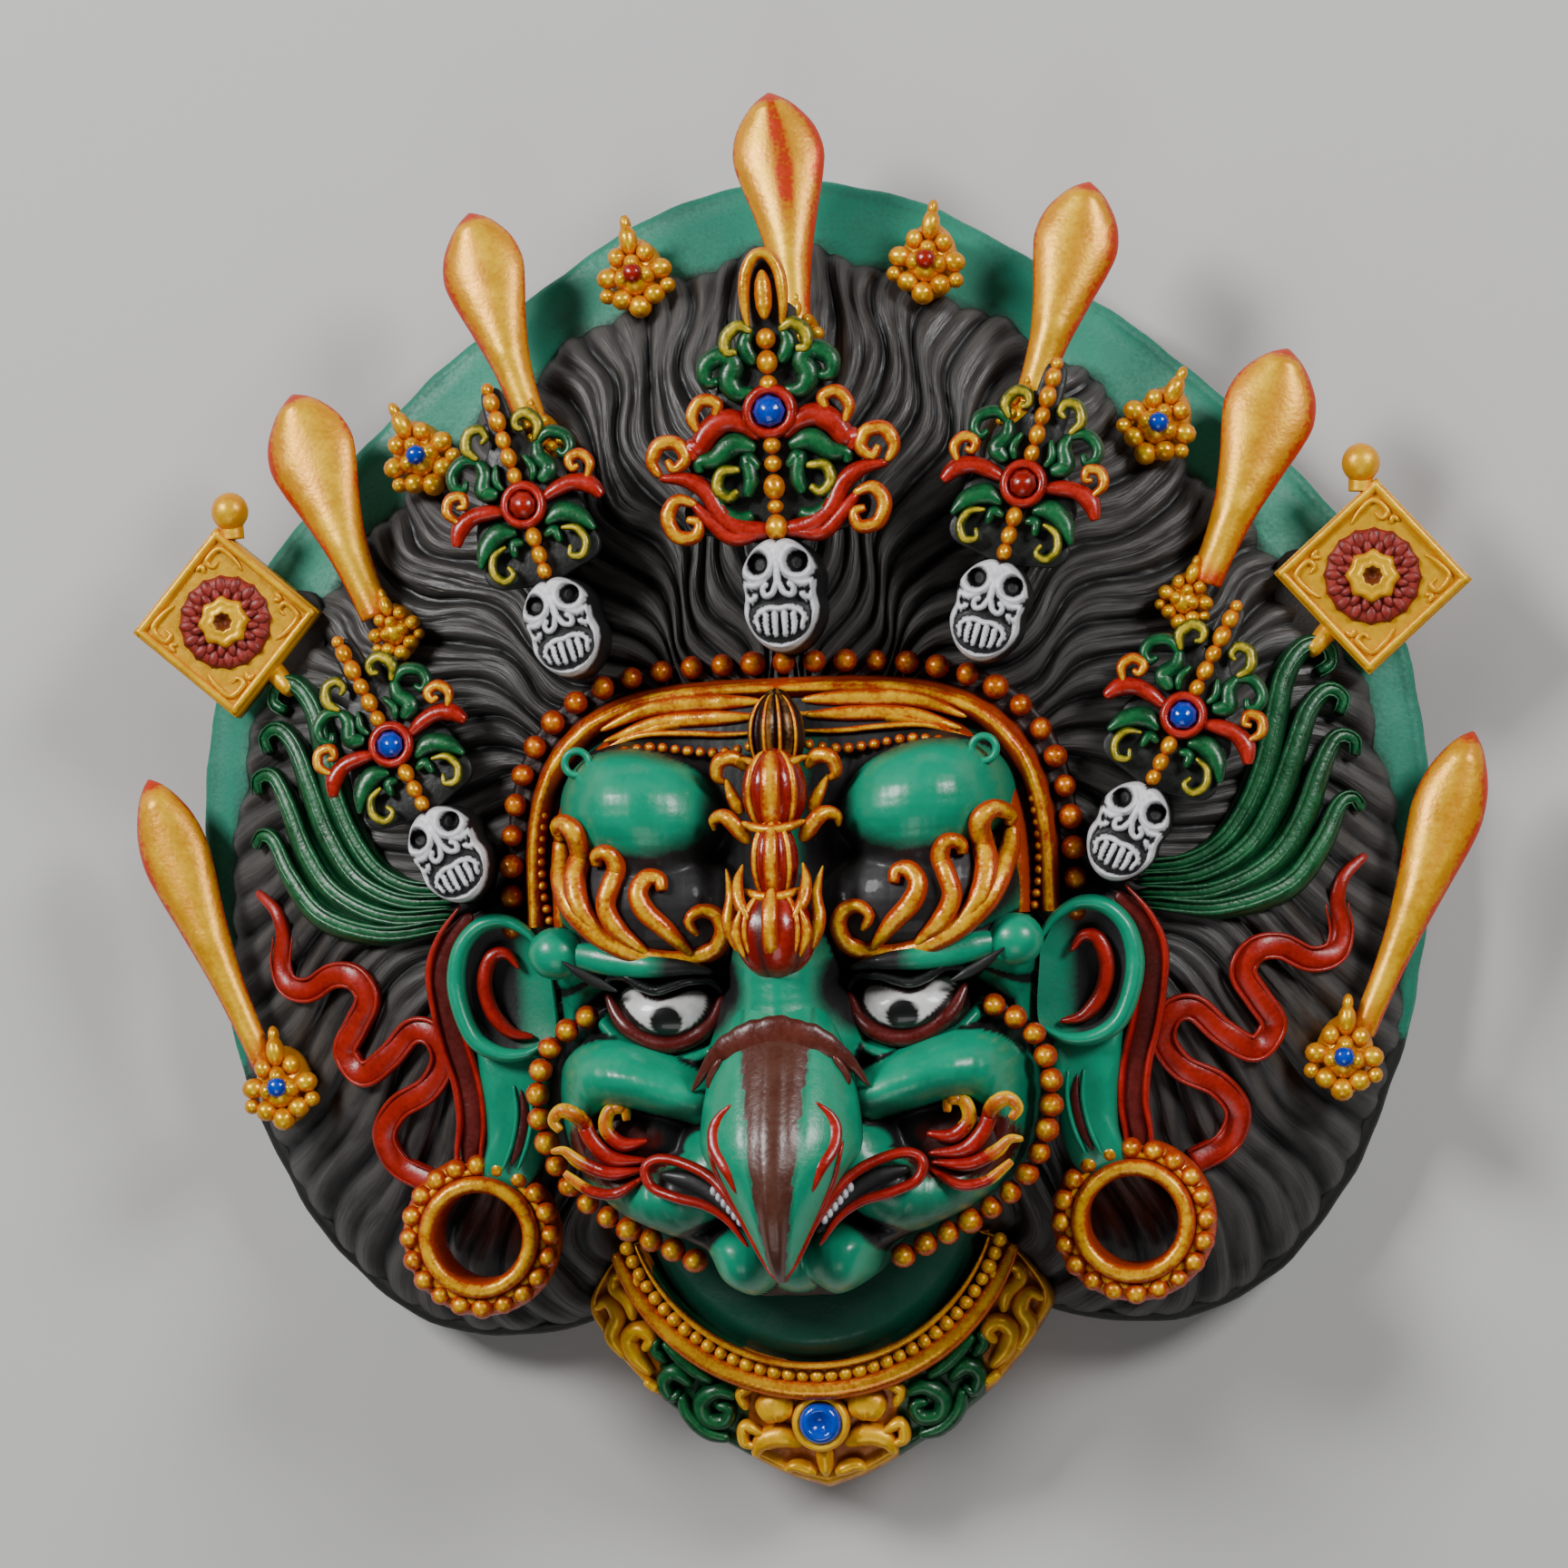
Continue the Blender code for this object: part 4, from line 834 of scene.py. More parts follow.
# Each roll: its path, radii, tops, depth and the width of its crease.
BROW_AND_CHEEK = (
    (((24, -25.6), (30, -25.2), (35.6, -25.8)), (2.6, 3.4, 5.0), (50.5, 49.5, 48), 6, 1),
    (((31, -29), (36, -32), (37, -37)), (3, 4, 3), (44, 42, 41), 5, 2),
    (((13.5, -47.5), (18.5, -45.6), (24.5, -43.6), (30.2, -44.2), (34, -48.2), (34.8, -53.5),
      (32, -59.5), (26.5, -63.2), (20, -63.6), (14.5, -61.5)),
     (4.2, 4.8, 5.4, 5.4, 5.0, 5.0, 5.4, 6.0, 6.6, 6.0),
     (57.5, 57.8, 57.5, 56, 54, 53, 52.5, 53, 55, 57), 9, 1.2),
)
LOWER_LID_ROLL = (
    (((8.5, -38.5), (13, -41.2), (18.5, -42.6), (24.5, -40.4), (29, -36.2)), (1.2, 1.8, 2.0, 1.8, 1.2),
     (48, 49.5, 50, 48.5, 46), 4, 1),
)


def with_masses(z, side, y, masses):
    for *shape, crease in masses:
        z = joined(z, mass(side, y, *shape), crease)
    return z


def with_rolls(z, side, y, rolls):
    for *shape, crease in rolls:
        z = joined(z, clay_roll(side, y, *shape), crease)
    return z


def face_form(x, y):
    """Height of the face over |x| and y, in mm: a broad egg, then masses, rolls and hollows."""
    side = np.abs(x)
    z = with_masses(mass(side, y, 0, -26, 44, 53, 44, 17), side, y, NOSE_AND_BROW)
    z = with_masses(with_rolls(z, side, y, BROW_AND_CHEEK), side, y, MUZZLE_AND_CHIN)
    z = z - 9.5 * bell(side, EYE[0], 9.5) * bell(y, EYE[1], 5.4)
    z = with_rolls(z, side, y, LOWER_LID_ROLL)
    z = z - 1.3 * bell(side, 10.6, 1.6) * bell(y, -8, 10)
    return z + 0.12 * wobble(side * 0.5, y * 0.5, seed=7) + 0.05 * wobble(side * 1.9, y * 1.7, seed=8)


# Each patch of black: middle x and y, half widths, softness, turn and strength. The two weak
# patches, along the jaw and beside the beak, are painted shade.
BOSS_PATCHES = ((21, -17.6, 16.5, 8.2, 0.22, 10, 1), (13, -10.5, 9, 9, 0.6, 0, 1))
BLACK_PATCHES = (
    (7, -8, 4.6, 18, 0.5, 0, 0.95), (EYE[0] - 0.6, EYE[1] + 1.2, 10.4, 5.8, 0.25, 0, 1),
    (9, -31, 3.4, 5, 0.6, 0, 1), (13, -28.2, 7, 3.2, 0.4, 0, 1), (16, 10.5, 22, 4.4, 0.3, 0, 1),
    (24, -66.5, 12, 3.4, 0.8, 0, 0.45), (16, -50.4, 7, 2.2, 0.7, -20, 0.55),
    (15.5, -60.2, 5.4, 1.7, 0.4, 12, 0.9),
)


def strongest(x, y, patches):
    """The strongest of several painted patches at each point."""
    return np.maximum.reduce([strength * spot(x, y, *shape) for *shape, strength in patches])


def face_paint_marks(x, y, height):
    """Black brushed round the brows, eyes and middle crest; black wash and painted shade in the creases.
    """
    side = np.abs(x)
    # Creases found from the height are darkened: black wash and painted shade.
    creases = np.clip(hollows(height, 7, 1.1), 0, 1) + 0.8 * np.clip(hollows(height, 2, 0.18), 0, 1)
    boss_rim = 0.5 * spot(side, y, 31, 1.5, 7, 4, 0.6, turn=-40)
    boss_rim += 0.9 * spot(side, y, 17, 6.8, 14, 3.4, 0.5)
    green_boss = spot(side, y, 23.2, -1.8, 12.2, 7.2, 0.3, turn=14)
    round_boss = np.maximum(strongest(side, y, BOSS_PATCHES), boss_rim) * (1 - green_boss)
    liner = painted_line(side, y, ((26.5, -31.2), (30.2, -28.4), (34.2, -24.6)), 1.5)
    recess = spot(side, y, 26.5, -55.4, 9, 6, 0.35)
    wash = np.maximum.reduce([creases, round_boss, liner, strongest(side, y, BLACK_PATCHES)])
    return np.clip(wash, 0, 1), recess


def face_sheet(rows=276, columns=276):
    """Rows run down the face and columns across it; x is a share of the half width at that y."""
    y = np.linspace(13.3, -80, rows)[:, None] * np.ones((1, columns))
    u = np.sin(np.linspace(-1, 1, columns) * math.pi / 2 * 0.999)[None, :] * np.ones((rows, 1))
    x = u * profile(y, FACE_HALF_WIDTHS)
    height = face_form(x, y)
    wash, recess = face_paint_marks(x, y, height)
    down = np.sqrt(np.clip(1 - np.abs(u) ** 9, 0, 1)) * np.sqrt(np.clip((y + 80.6) / 1.5, 0, 1))
    z = FACE_FOOT_Z + (height - FACE_FOOT_Z) * down
    # crown is high on the rounded masses, where the lighter teal is rubbed paint and a painted
    # highlight.
    crown = np.clip(-hollows(height, 9, 1.2), 0, 1)
    # The face's edge, where it turns down to its foot, is darkened as painted shade.
    return sheet(np.stack([x, y, z], axis=-1), crown=crown, wash=np.maximum(wash, 1 - down),
                 tint=recess * 0.9)


piece("face", [face_sheet()], face_paint)

# %% [markdown]
# ## Eyes and lids
#
# Each eye is a ball that shows through a slanted opening. The opening is painted, as on the real
# one: white between an upper and a lower curve, black outside them, and a black pupil looking
# down and in. The lids are rolled strokes, dark red below and black above.

# %% Eyes
WHITE_ABOVE = ((11.6, -33.2), (12.6, -31.4), (14.5, -31.0), (17.0, -31.8), (19.5, -32.4), (22.0, -31.6),
               (24.0, -30.2), (25.6, -30.4), (26.2, -32.2))
WHITE_BELOW = ((11.8, -33.2), (13.2, -35.6), (15.6, -37.3), (18.8, -37.7), (21.6, -36.5), (24.0, -34.4),
               (26.0, -31.6))
UPPER_LID = ((9.6, -31.8), (11.4, -29.8), (14.5, -29.5), (17.2, -30.3), (19.6, -30.9), (22.0, -30.1),
             (24.4, -28.7), (27.0, -28.9), (28.2, -30.6))
LOWER_LID = ((9.8, -32.2), (11.4, -36.2), (14.8, -38.7), (18.8, -39.4), (22.6, -38.0), (25.8, -35.2),
             (27.8, -31.4))
PUPIL = (18.2, -35.7)
PUPIL_RADIUS = 2.5


def eye_ball():
    """A ball whose marks come from its own x and y: tint is white paint, crown the pupil."""
    ball = balls([(18.4, -35.0, 42.2)], (9.6, 6.2, 8.4), rows=60, columns=76)
    x, y = ball["points"][..., 0], ball["points"][..., 1]
    above = profile(x, WHITE_ABOVE) - y
    below = y - profile(x, WHITE_BELOW)
    inside = np.minimum(np.minimum(above, below), np.minimum(x - 12.0, 26.0 - x)) - 0.1
    pupil = np.hypot(x - PUPIL[0], (y - PUPIL[1]) * 1.05) - PUPIL_RADIUS
    ball["marks"]["tint"] = step_up(inside, 0.0, 0.35)
    ball["marks"]["crown"] = 1 - step_up(pupil, -0.15, 0.2)
    ball["marks"]["wash"] = 0 * x
    return ball


def eye_material():
    """White, pupil and surround are mixed by the marks; a clear coat makes the ball wet."""
    material, tree, shader = new_material("painted eye")
    here = add(tree, "TexCoord").outputs["Object"]
    smear = noise(tree, here, 420.0, 4.0, 0.5)
    white = mix_colour(tree, ramp(tree, smear, 0.35, 0.75), (0.86, 0.85, 0.84, 1), (0.55, 0.50, 0.50, 1))
    colour = mix_colour(tree, mark(tree, "tint"), (0.016, 0.006, 0.006, 1), white)
    colour = mix_colour(tree, mark(tree, "crown"), colour, (0.006, 0.006, 0.006, 1))
    feed(tree, shader, {"Base Color": colour, "Roughness": ramp(tree, smear, 0, 1, 0.22, 0.42)})
    shader.inputs["Coat Weight"].default_value = 0.5
    return material


piece("eyes", both_sides(eye_ball()), eye_material())
LID_Z = (47.5, 49.6, 50.2, 49.4, 46.5)
lower_lid = stroke(LOWER_LID, 1.35, 1.2, z=(47.0, 48.6, 49.2, 48.4, 46.6), count=50)
lower_lid["marks"]["wash"] = 0.25 * np.ones_like(lower_lid["marks"]["wash"])
piece("lower_lids", both_sides(lower_lid), painted(
    "dark red lid paint", (0.07, 0.003, 0.002), BLACK, ridge=(0.2, 0.012, 0.008), wear_and_highlight=0.5, gloss=0.3,
    coat=0.3))
upper_lid = stroke(UPPER_LID, 0.85, 1.1, z=LID_Z, count=60)
piece("upper_lids", both_sides(upper_lid), painted(
    "black lid paint", BLACK, BLACK, ridge=(0.03, 0.03, 0.03), wear_and_highlight=0.4, gloss=0.3, coat=0.3))
brow_fold = stroke(((10.5, -28.4), (14, -27.6), (20, -27.2), (26, -26.4), (31, -25.4), (35, -25.2)),
                   (1.0, 1.4, 2.0, 2.3, 2.6), (1.2, 1.6, 1.9), z=(50.5, 51.2, 51.0, 49.6, 48, 46.4),
                   count=50)
fold_x = brow_fold["points"][..., 0]
brow_fold["marks"]["wash"] = np.clip(0.95 * step_up(-fold_x, -23, -16), 0, 1)
brow_knob = balls([(35.6, -24.9, 46.2)], (4.3, 4.1, 4.2), 16, 24)
liner = stroke(((25.6, -30.9), (28.4, -29.6), (31.4, -27.9), (34.2, -25.9)), (0.5, 0.85, 0.75, 0.3), 0.5,
               z=lambda x, y: np.maximum(face_form(x, y), 49.4) + 0.5, count=30)
liner["marks"]["wash"] = np.ones_like(liner["marks"]["wash"])
piece("lid_folds", both_sides(brow_fold, brow_knob, liner), face_paint)

# %% [markdown]
# ## The beak
#
# The beak is a loft: at each station down its length there is an oval, with its own width, base
# and top, so it swells at the nostrils and hooks over the lip. A brown stripe worn by brushing
# runs down its back; its share of the width narrows to the tip.

# %% Beak
BEAK = ((-31, 5.2, 46, 57), (-37, 8.3, 46, 61.5), (-44, 11.0, 46, 66), (-51, 12.2, 46, 70),
        (-55.5, 12.0, 46, 71.6), (-59.5, 9.2, 47, 72.4), (-64, 6.5, 49, 72.6), (-69, 3.9, 52, 71),
        (-72.6, 2.0, 56, 68.4), (-74.6, 0.8, 60, 65.5))
STRIPE = ((-76, 0.8), (-72, 1.2), (-65.7, 2.2), (-59.8, 3.0), (-51, 4.0), (-42.8, 4.8), (-38, 5.2),
          (-30, 5.2))


def beak_top(x, y):
    """Height of the beak: the upper half of the oval at each station."""
    stations = smooth_path(BEAK, 200)[::-1]
    wide, base, top = (np.interp(y, stations[:, 0], stations[:, k]) for k in (1, 2, 3))
    middle = (top + base) / 2
    return middle + (top - base) / 2 * np.sqrt(np.clip(1 - (x / wide) ** 2, 0, 1))


def beak_loft(rows=124, columns=92):
    """Ovals (w cos a, middle + half sin a) carried down the stations."""
    y, wide, base, top = (v[:, None] for v in smooth_path(BEAK, rows).T)
    turn = full_turn(columns)[None, :]
    x = wide * np.cos(turn)
    stripe = profile(y, STRIPE)
    groove = 0.28 * bell(np.abs(x) - stripe, 0.1, 0.35) + 0.14 * np.cos(x * 3.1) * (np.abs(x) < stripe)
    ridge = (0.8 * bell(x, 0, 2.2) - groove) * (np.sin(turn) > 0) * step_up(-y, 36, 44)
    z = (top + base) / 2 + (top - base) / 2 * np.sin(turn) + ridge
    ragged_edge = stripe - np.abs(x) + 0.15 * wobble(y * 1.3, seed=9)
    brown = step_up(ragged_edge, -0.15, 0.15) * step_up(-y, 36.6, 37.6)
    streak = 0.35 * step_up(wobble(x * 2.6, y * 0.11, seed=10), 0.35, 0.9) * brown
    worn = np.clip(brown - streak, 0, 1) * np.ones_like(x)
    # The wash mark darkens the grooves beside the stripe, black wash and painted shade, and the
    # underside, painted shade; crown on top takes a painted highlight as well as rubbed paint.
    wash = 0.45 * bell(np.abs(x) - stripe, 0.1, 0.45) + 0.9 * step_up(-np.sin(turn), -0.25, 0.2)
    crown = np.clip(np.sin(turn), 0, 1) ** 3 * np.ones_like(x)
    points = np.stack([x, y + 0 * x, z], axis=-1)
    return sheet(points, True, crown=crown, wash=np.clip(wash, 0, 1), tint=worn)


beak_green = painted("green beak with a brown stripe", TEAL, BLACK, second=(0.085, 0.018, 0.010),
                     ridge=(0.10, 0.10, 0.06), wear_and_highlight=0.12, gloss=0.34, coat=0.1, patches=0.3,
                     patch_size=260, relief=0.1)
piece("beak", [beak_loft()], beak_green)


def on_beak(x, y):
    return beak_top(x, y) + 0.05


comma = stroke(((6.4, -47.6), (8.3, -49.6), (9.1, -52), (8.7, -54.6), (7.0, -57.4), (5.7, -60.8)),
               (0.6, 1.1, 1.0, 0.7), 0.55, z=on_beak, count=44, ends=(0.1, 0.1))
edge_line = stroke(((10.2, -53.6), (8.7, -58.6), (6.5, -63.4), (4.2, -68.0), (2.0, -72.2), (0.4, -74.4)),
                   0.55, 0.6, z=on_beak, count=44)
piece("beak_lines", both_sides(comma, edge_line), red_paint)
FLARE = ((-13.6, -46.2), (-11.4, -43.2), (-8.4, -40.2), (-4.8, -38.4), (0, -37.6), (4.8, -38.4),
         (8.4, -40.2), (11.4, -43.2), (13.6, -46.2))
flare = stroke(FLARE, (0.6, 1.5, 2.0, 2.5, 3.0, 2.5, 2.0, 1.5, 0.6), 1.0,
               z=(57.4, 58.6, 60.2, 61.4, 61.8, 61.4, 60.2, 58.6, 57.4), count=90, around=18,
               ends=(0.15, 0.15))
flare_x, flare_y = flare["points"][..., 0], flare["points"][..., 1]
flare["points"][..., 1] += 0.35 * wobble(flare_x * 1.1, flare_y * 0.4, seed=17)
flare_tip = stroke(((8.6, -41.0), (10.4, -44.4), (9.8, -46.2)), 0.7, 0.7, z=(60.6, 59.9, 59.6), count=20)
piece("beak_flare", [flare] + both_sides(flare_tip), beak_paint)

# %% Lips and teeth
LIP_LINE = ((1.2, -72.4), (4.2, -67.4), (7.6, -62.4), (10.8, -59.0), (15.0, -56.9), (19.0, -56.2),
            (21.2, -57.6), (20.2, -60.4), (16.4, -62.0), (12.0, -63.2), (8.4, -65.6), (5.4, -69.6))
LIP_HEIGHTS = (66, 64.5, 62.6, 61.2, 59.6, 58, 57, 57.4, 58.8, 59.6, 60, 60.5)
lip = stroke(LIP_LINE, 0.85, 1.1, z=LIP_HEIGHTS, count=90, ends=(0.3, 0.2))
mouth_floor = stroke(((5, -67.6), (9.5, -62.9), (14, -60), (19, -58.6)), (1.2, 1.5, 1.6, 1.2), 0.9,
                     z=(60, 58.6, 57.4, 56.2), count=40)
piece("lips", both_sides(lip), red_paint)
mouth_floor["marks"]["wash"] = 0.95 + 0 * mouth_floor["marks"]["wash"]
piece("mouth_floors", both_sides(mouth_floor), face_paint)
teeth_x = np.linspace(6.4, 10.4, 6)
teeth_at = np.column_stack([teeth_x, -65.6 + 1.15 * (teeth_x - 6.4), 61.2 - 0.25 * (teeth_x - 6.4)])
piece("teeth", both_sides(balls(teeth_at, (0.55, 0.8, 0.7), 8, 10)), bone_paint)

# %% [markdown]
# ## The diadem
#
# The diadem is an arch, flatter than a circle: x and y follow the sine and cosine of one turn,
# each raised to a power. One section carried along it gives the two gold bands, the groove
# between them and the seat for the beads. The beads are pressed on by hand, so no two are quite
# the same size.

# %% Diadem
ARCH_HALF_WIDTH = 44.3
ARCH_RISE = 40.0
ARCH_FOOT_Y = -21.0
ARCH_POWER = 3.4
BAND_SECTION = ((-1.6, 27), (-1.0, 32.6), (0.6, 33.2), (1.9, 33.6), (2.6, 35.6), (3.5, 38.2),
                (4.6, 38.4), (5.4, 36.2), (6.0, 34.8), (6.6, 35.4), (7.2, 38.2), (8.2, 39.6),
                (9.2, 38.8), (10.0, 37.6), (11.6, 37.4), (13, 36.5), (14.5, 33))


def arch(inset, count=260):
    """The diadem's line from its left foot to its right, set in from the bead row."""
    t = np.linspace(-math.pi / 2, math.pi / 2, count)
    power = 2 / ARCH_POWER
    x = (ARCH_HALF_WIDTH - inset) * np.sign(np.sin(t)) * np.abs(np.sin(t)) ** power
    y = ARCH_FOOT_Y + (ARCH_RISE - inset) * np.abs(np.cos(t)) ** power
    return evenly(np.stack([x, y], axis=1), count)


def band_sheet(count=240):
    """The section's height over its inset, the same all the way round but for tool marks."""
    section = smooth_path(BAND_SECTION, 64)
    lines = np.array([arch(inset, count) for inset in section[:, 0]])
    height = section[:, 1][:, None] + 0.14 * wobble(lines[..., 0] * 0.9, lines[..., 1] * 0.9, seed=11)
    inset = section[:, 0][:, None] * np.ones((1, count))
    outer = bell(inset, 4.05, 1.5)
    inner = bell(inset, 8.5, 1.6)
    groove = bell(inset, 6.0, 0.8)
    seat = 1 - step_up(inset, 2.0, 2.9)
    # crown is high on the two gold rolls: rubbed gold and a painted highlight.
    crown = np.maximum(outer, inner) * (0.75 + 0.25 * wobble(lines[..., 0] * 0.5, inset * 2, seed=12))
    crown = np.clip(1.35 * crown * (0.85 + 0.15 * np.sin(inset * 9 + lines[..., 0] * 0.2)), 0, 1)
    red = 0.5 * bell(inset, 3.1, 0.6) + 0.4 * bell(inset, 9.8, 0.9)
    # The wash mark darkens the groove, the seat of the beads and the inner edge: black wash and painted
    # shade.
    wash = np.maximum.reduce([groove, 0.95 * seat, 0.9 * bell(inset, 10.6, 0.5),
                              step_up(inset, 12.4, 13.6)])
    return sheet(np.dstack([lines, height]), crown=crown, wash=wash, tint=red)


def bead_row(path, z, radius, pitch, tall=1.25, seed=0.0, rows=9, columns=14):
    """Balls evenly along a path, each a little larger or smaller than the next."""
    path = smooth_path(path, 400) if len(path) < 100 else np.asarray(path)
    length = np.linalg.norm(np.diff(path, axis=0), axis=1).sum()
    count = max(2, round(length / pitch) + 1)
    spots = evenly(path, count)
    nth = np.arange(count)
    size = radius * (1 + 0.09 * wobble(nth * 2.3, seed=seed))
    heights = z(spots[:, 0], spots[:, 1]) if callable(z) else spread(z, count)
    radii = np.column_stack([size * (1 + 0.06 * np.sin(nth * 4.1)), size, size * tall])
    return balls(np.column_stack([spots, heights]), radii, rows, columns)


piece("diadem_bands", [band_sheet()], gold_paint)
piece("diadem_beads", [bead_row(arch(0), 34.6, 1.85, 4.8, seed=1.0)], bead_paint)
BROW_BEADS = ((4.6, 6.0), (9, 5.2), (14, 5.6), (20, 6.4), (25.4, 5.6), (30, 3.6))
brow_beads = bead_row(BROW_BEADS, (44, 42.2, 42, 42, 40.5), 0.85, 2.0, seed=2.0, rows=7, columns=10)
wire = stroke(((3.0, 8.2), (9, 8.0), (15, 8.4), (22, 8.4), (28, 6.6)), 0.5, 0.6,
              z=(41.5, 40.5, 40, 39.4, 38.6))
side_beads = bead_row(((38.3, -3.5), (39.0, -9), (38.9, -15), (38, -20)), 37.2, 0.75, 1.9, seed=3.0,
                      rows=7, columns=10)
fan = [stroke(path, width, 1.1, z=lambda x, y: np.maximum(face_form(x, y), 38) + 0.4, count=50)
       for path, width in ((((3.2, 13.0), (12, 13.0), (21, 12.4), (28.6, 9.4)), (1.2, 1.4, 0.9)),
                           (((3.8, 10.6), (12, 10.6), (20, 10.2), (28, 7.6)), (1.1, 1.3, 0.8)))]
piece("fine_beads", both_sides(brow_beads, wire, side_beads, *fan), gold_paint)

# %% [markdown]
# ## The crest over the nose
#
# Four lotus buds stand one below the other, from a dark one at the top to a glossy red bulb
# between the eyes, with leaves curling out at each joint. A bud is a ball with its poles up and
# down the face, ribbed like a melon: its radius dips between the ribs as |cos| of a multiple of
# the turn.

# %% Buds and leaves
dark_gold_paint = painted("gold lines on dark red", (0.030, 0.006, 0.003), BLACK,
                          ridge=(0.55, 0.25, 0.03), wear_and_highlight=0.5, gloss=0.32, metallic=0.2, patches=0.4,
                          patch_size=400)
top_bud = bud((0, 7.6, 47.5), (4.5, 6.6, 5.4), ribs=3.5, depth=0.16)
top_tip = bud((0, 11.4, 46.0), (2.6, 3.4, 3.6), ribs=3, depth=0.1, rows=16, columns=36)
piece("crest_top", [top_bud, top_tip], dark_gold_paint)
red_bud = bud((0, -1.0, 52), (5.0, 6.6, 5.6), ribs=3, depth=0.16)
neck_bud = bud((0, -11.6, 55), (3.7, 6.4, 4.8), ribs=3, depth=0.2)
bulb = bud((0, -22.6, 57), (6.3, 7.0, 6.6), ribs=2.5, depth=0.08)
gem_red = painted("glossy red bulb", (0.24, 0.006, 0.003), DARK_RED, ridge=(0.50, 0.02, 0.006), wear_and_highlight=0.5,
                  gloss=0.25, coat=0.25, patches=0.4)
piece("crest_buds", [red_bud, neck_bud, bulb], gem_red)


def rib_lines(centre, radii, turns, half_width):
    """Thin gold strokes that run down a bud from pole to pole, at these turns from the front."""
    rise = np.linspace(1.2, -1.2, 30)
    made = []
    for turn in np.radians(turns):
        x = centre[0] + radii[0] * 1.01 * np.cos(rise) * np.sin(turn)
        z = centre[2] + radii[2] * 1.01 * np.cos(rise) * np.cos(turn)
        y = centre[1] + radii[1] * np.sin(rise)
        made.append(stroke(np.column_stack([x, y, z]), half_width, 0.45, count=28, around=8))
    return made


RIBS = (
    ((0, -1.0, 52), (5.0, 6.6, 5.6), (-44, 44), 0.55), ((0, -1.0, 52), (5.0, 6.6, 5.6), (0,), 1.5),
    ((0, -11.6, 55), (3.7, 6.4, 4.8), (-46, 46), 0.5), ((0, -11.6, 55), (3.7, 6.4, 4.8), (0,), 1.1),
    ((0, -21.4, 57.2), (6.2, 6.2, 6.6), (0,), 1.2), ((0, -21.8, 57), (6.3, 6.0, 6.6), (-40, 40), 0.5),
    ((0, 7.6, 47.5), (4.5, 6.6, 5.4), (-50, -16, 16, 50), 0.3),
)
gold_lines = [line for rib in RIBS for line in rib_lines(*rib)]
collar_rings = [stroke(((-w, y), (-w * 0.5, y - 0.9), (0, y - 1.2), (w * 0.5, y - 0.9), (w, y)), 0.8,
                       1.0, z=(z - 3.4, z - 0.8, z, z - 0.8, z - 3.4), count=30)
                for w, y, z in ((5.0, 4.2, 54.0), (4.8, -5.6, 57.6), (4.4, -15.8, 60.6))]
leaf_strokes = both_sides(
    stroke(((4.4, 2.4), (6.4, 4.2), (8.6, 3.8), (9.2, 1.6), (7.8, 0.4)), (1.3, 1.2, 0.9), 1.3,
           z=(48, 50, 48), count=34),
    stroke(((4.0, -8.8), (5.6, -6.4), (7.6, -4.6), (9.4, -5.0), (9.6, -6.6)), (1.5, 1.3, 0.8), 1.3,
           z=(53, 54, 51)),
    stroke(((5.2, -4.4), (6.8, -1.2), (7.9, 1.2)), (1.2, 1.0, 0.4), 1.0, z=(51, 51, 48), count=30),
    stroke(((5.8, -25.0), (6.9, -20.5), (6.5, -16.6), (7.4, -12.6)), (0.9, 1.1, 0.9, 0.4), 1.2,
           z=(58, 58.6, 57.5, 55)),
    stroke(((3.4, -20.2), (4.9, -17.4), (5.2, -14.4), (4.6, -12.0)), (0.9, 1.0, 0.5), 1.0,
           z=(62, 60, 57)),
    stroke(((4.2, -26.0), (5.4, -22.4), (4.6, -18.6)), (0.5, 0.9, 0.4), 0.8, z=(61.2, 62, 62)),
)
piece("crest_gold", gold_lines + collar_rings + leaf_strokes, gold_paint)

# %% [markdown]
# ## Flames on the brow and swirls on the cheek
#
# These are thick rolls of clay that start together at one edge and part like flames, each with a
# curled tip. They follow the face: the height of a roll is the face's own height there, plus a
# little. A mark along the cheek swirls turns their red paint to gold at the tips.

# %% Brow flames
def on_face(x, y):
    return face_form(x, y) + 0.5


FLAMES = (
    (((12.8, -22.4), (13.9, -20.4), (12.2, -18.9), (9.8, -19.6), (8.9, -22.2), (10.6, -25.0),
      (15.4, -26.3), (21.4, -25.5), (27.4, -22.6), (32.0, -18.0), (34.6, -12.2), (35.2, -7.6)),
     (1.2, 1.5, 1.6, 1.6, 1.8, 2.1, 1.9)),
    (((14.2, -25.2), (17.4, -21.6), (20.4, -18.6), (21.5, -15.8), (20.2, -13.6), (18.2, -13.8),
      (17.8, -15.6)), (1.2, 1.5, 1.7, 1.5, 1.3)),
    (((20.8, -25.0), (24.8, -21.4), (26.6, -17.8), (25.8, -14.4), (24.9, -11.8), (25.9, -9.6),
      (27.9, -9.8), (28.2, -11.6)), (1.2, 1.6, 1.6, 1.5, 1.3)),
    (((26.8, -22.8), (30.6, -18.2), (31.8, -13.6), (31.0, -9.6), (31.2, -6.4), (33.2, -4.8),
      (35.2, -5.8), (34.8, -7.4)), (1.3, 1.8, 1.9, 1.7, 1.4)),
)
flames = [stroke(path, width, 1.7, z=on_face, count=64, ends=(0.45, 0.6)) for path, width in FLAMES]
# A higher power leaves the gold only along the top of each flame: gold paint and a painted highlight.
for one in flames:
    one["marks"]["crown"] **= 1.6
boss_ring = hoop((31.6, 4.4, 44.5), 1.9, 0.6, 0.9, around=30, section=10)
piece("brow_flames", both_sides(*flames), gold_paint)
piece("brow_rings", both_sides(boss_ring), face_paint)

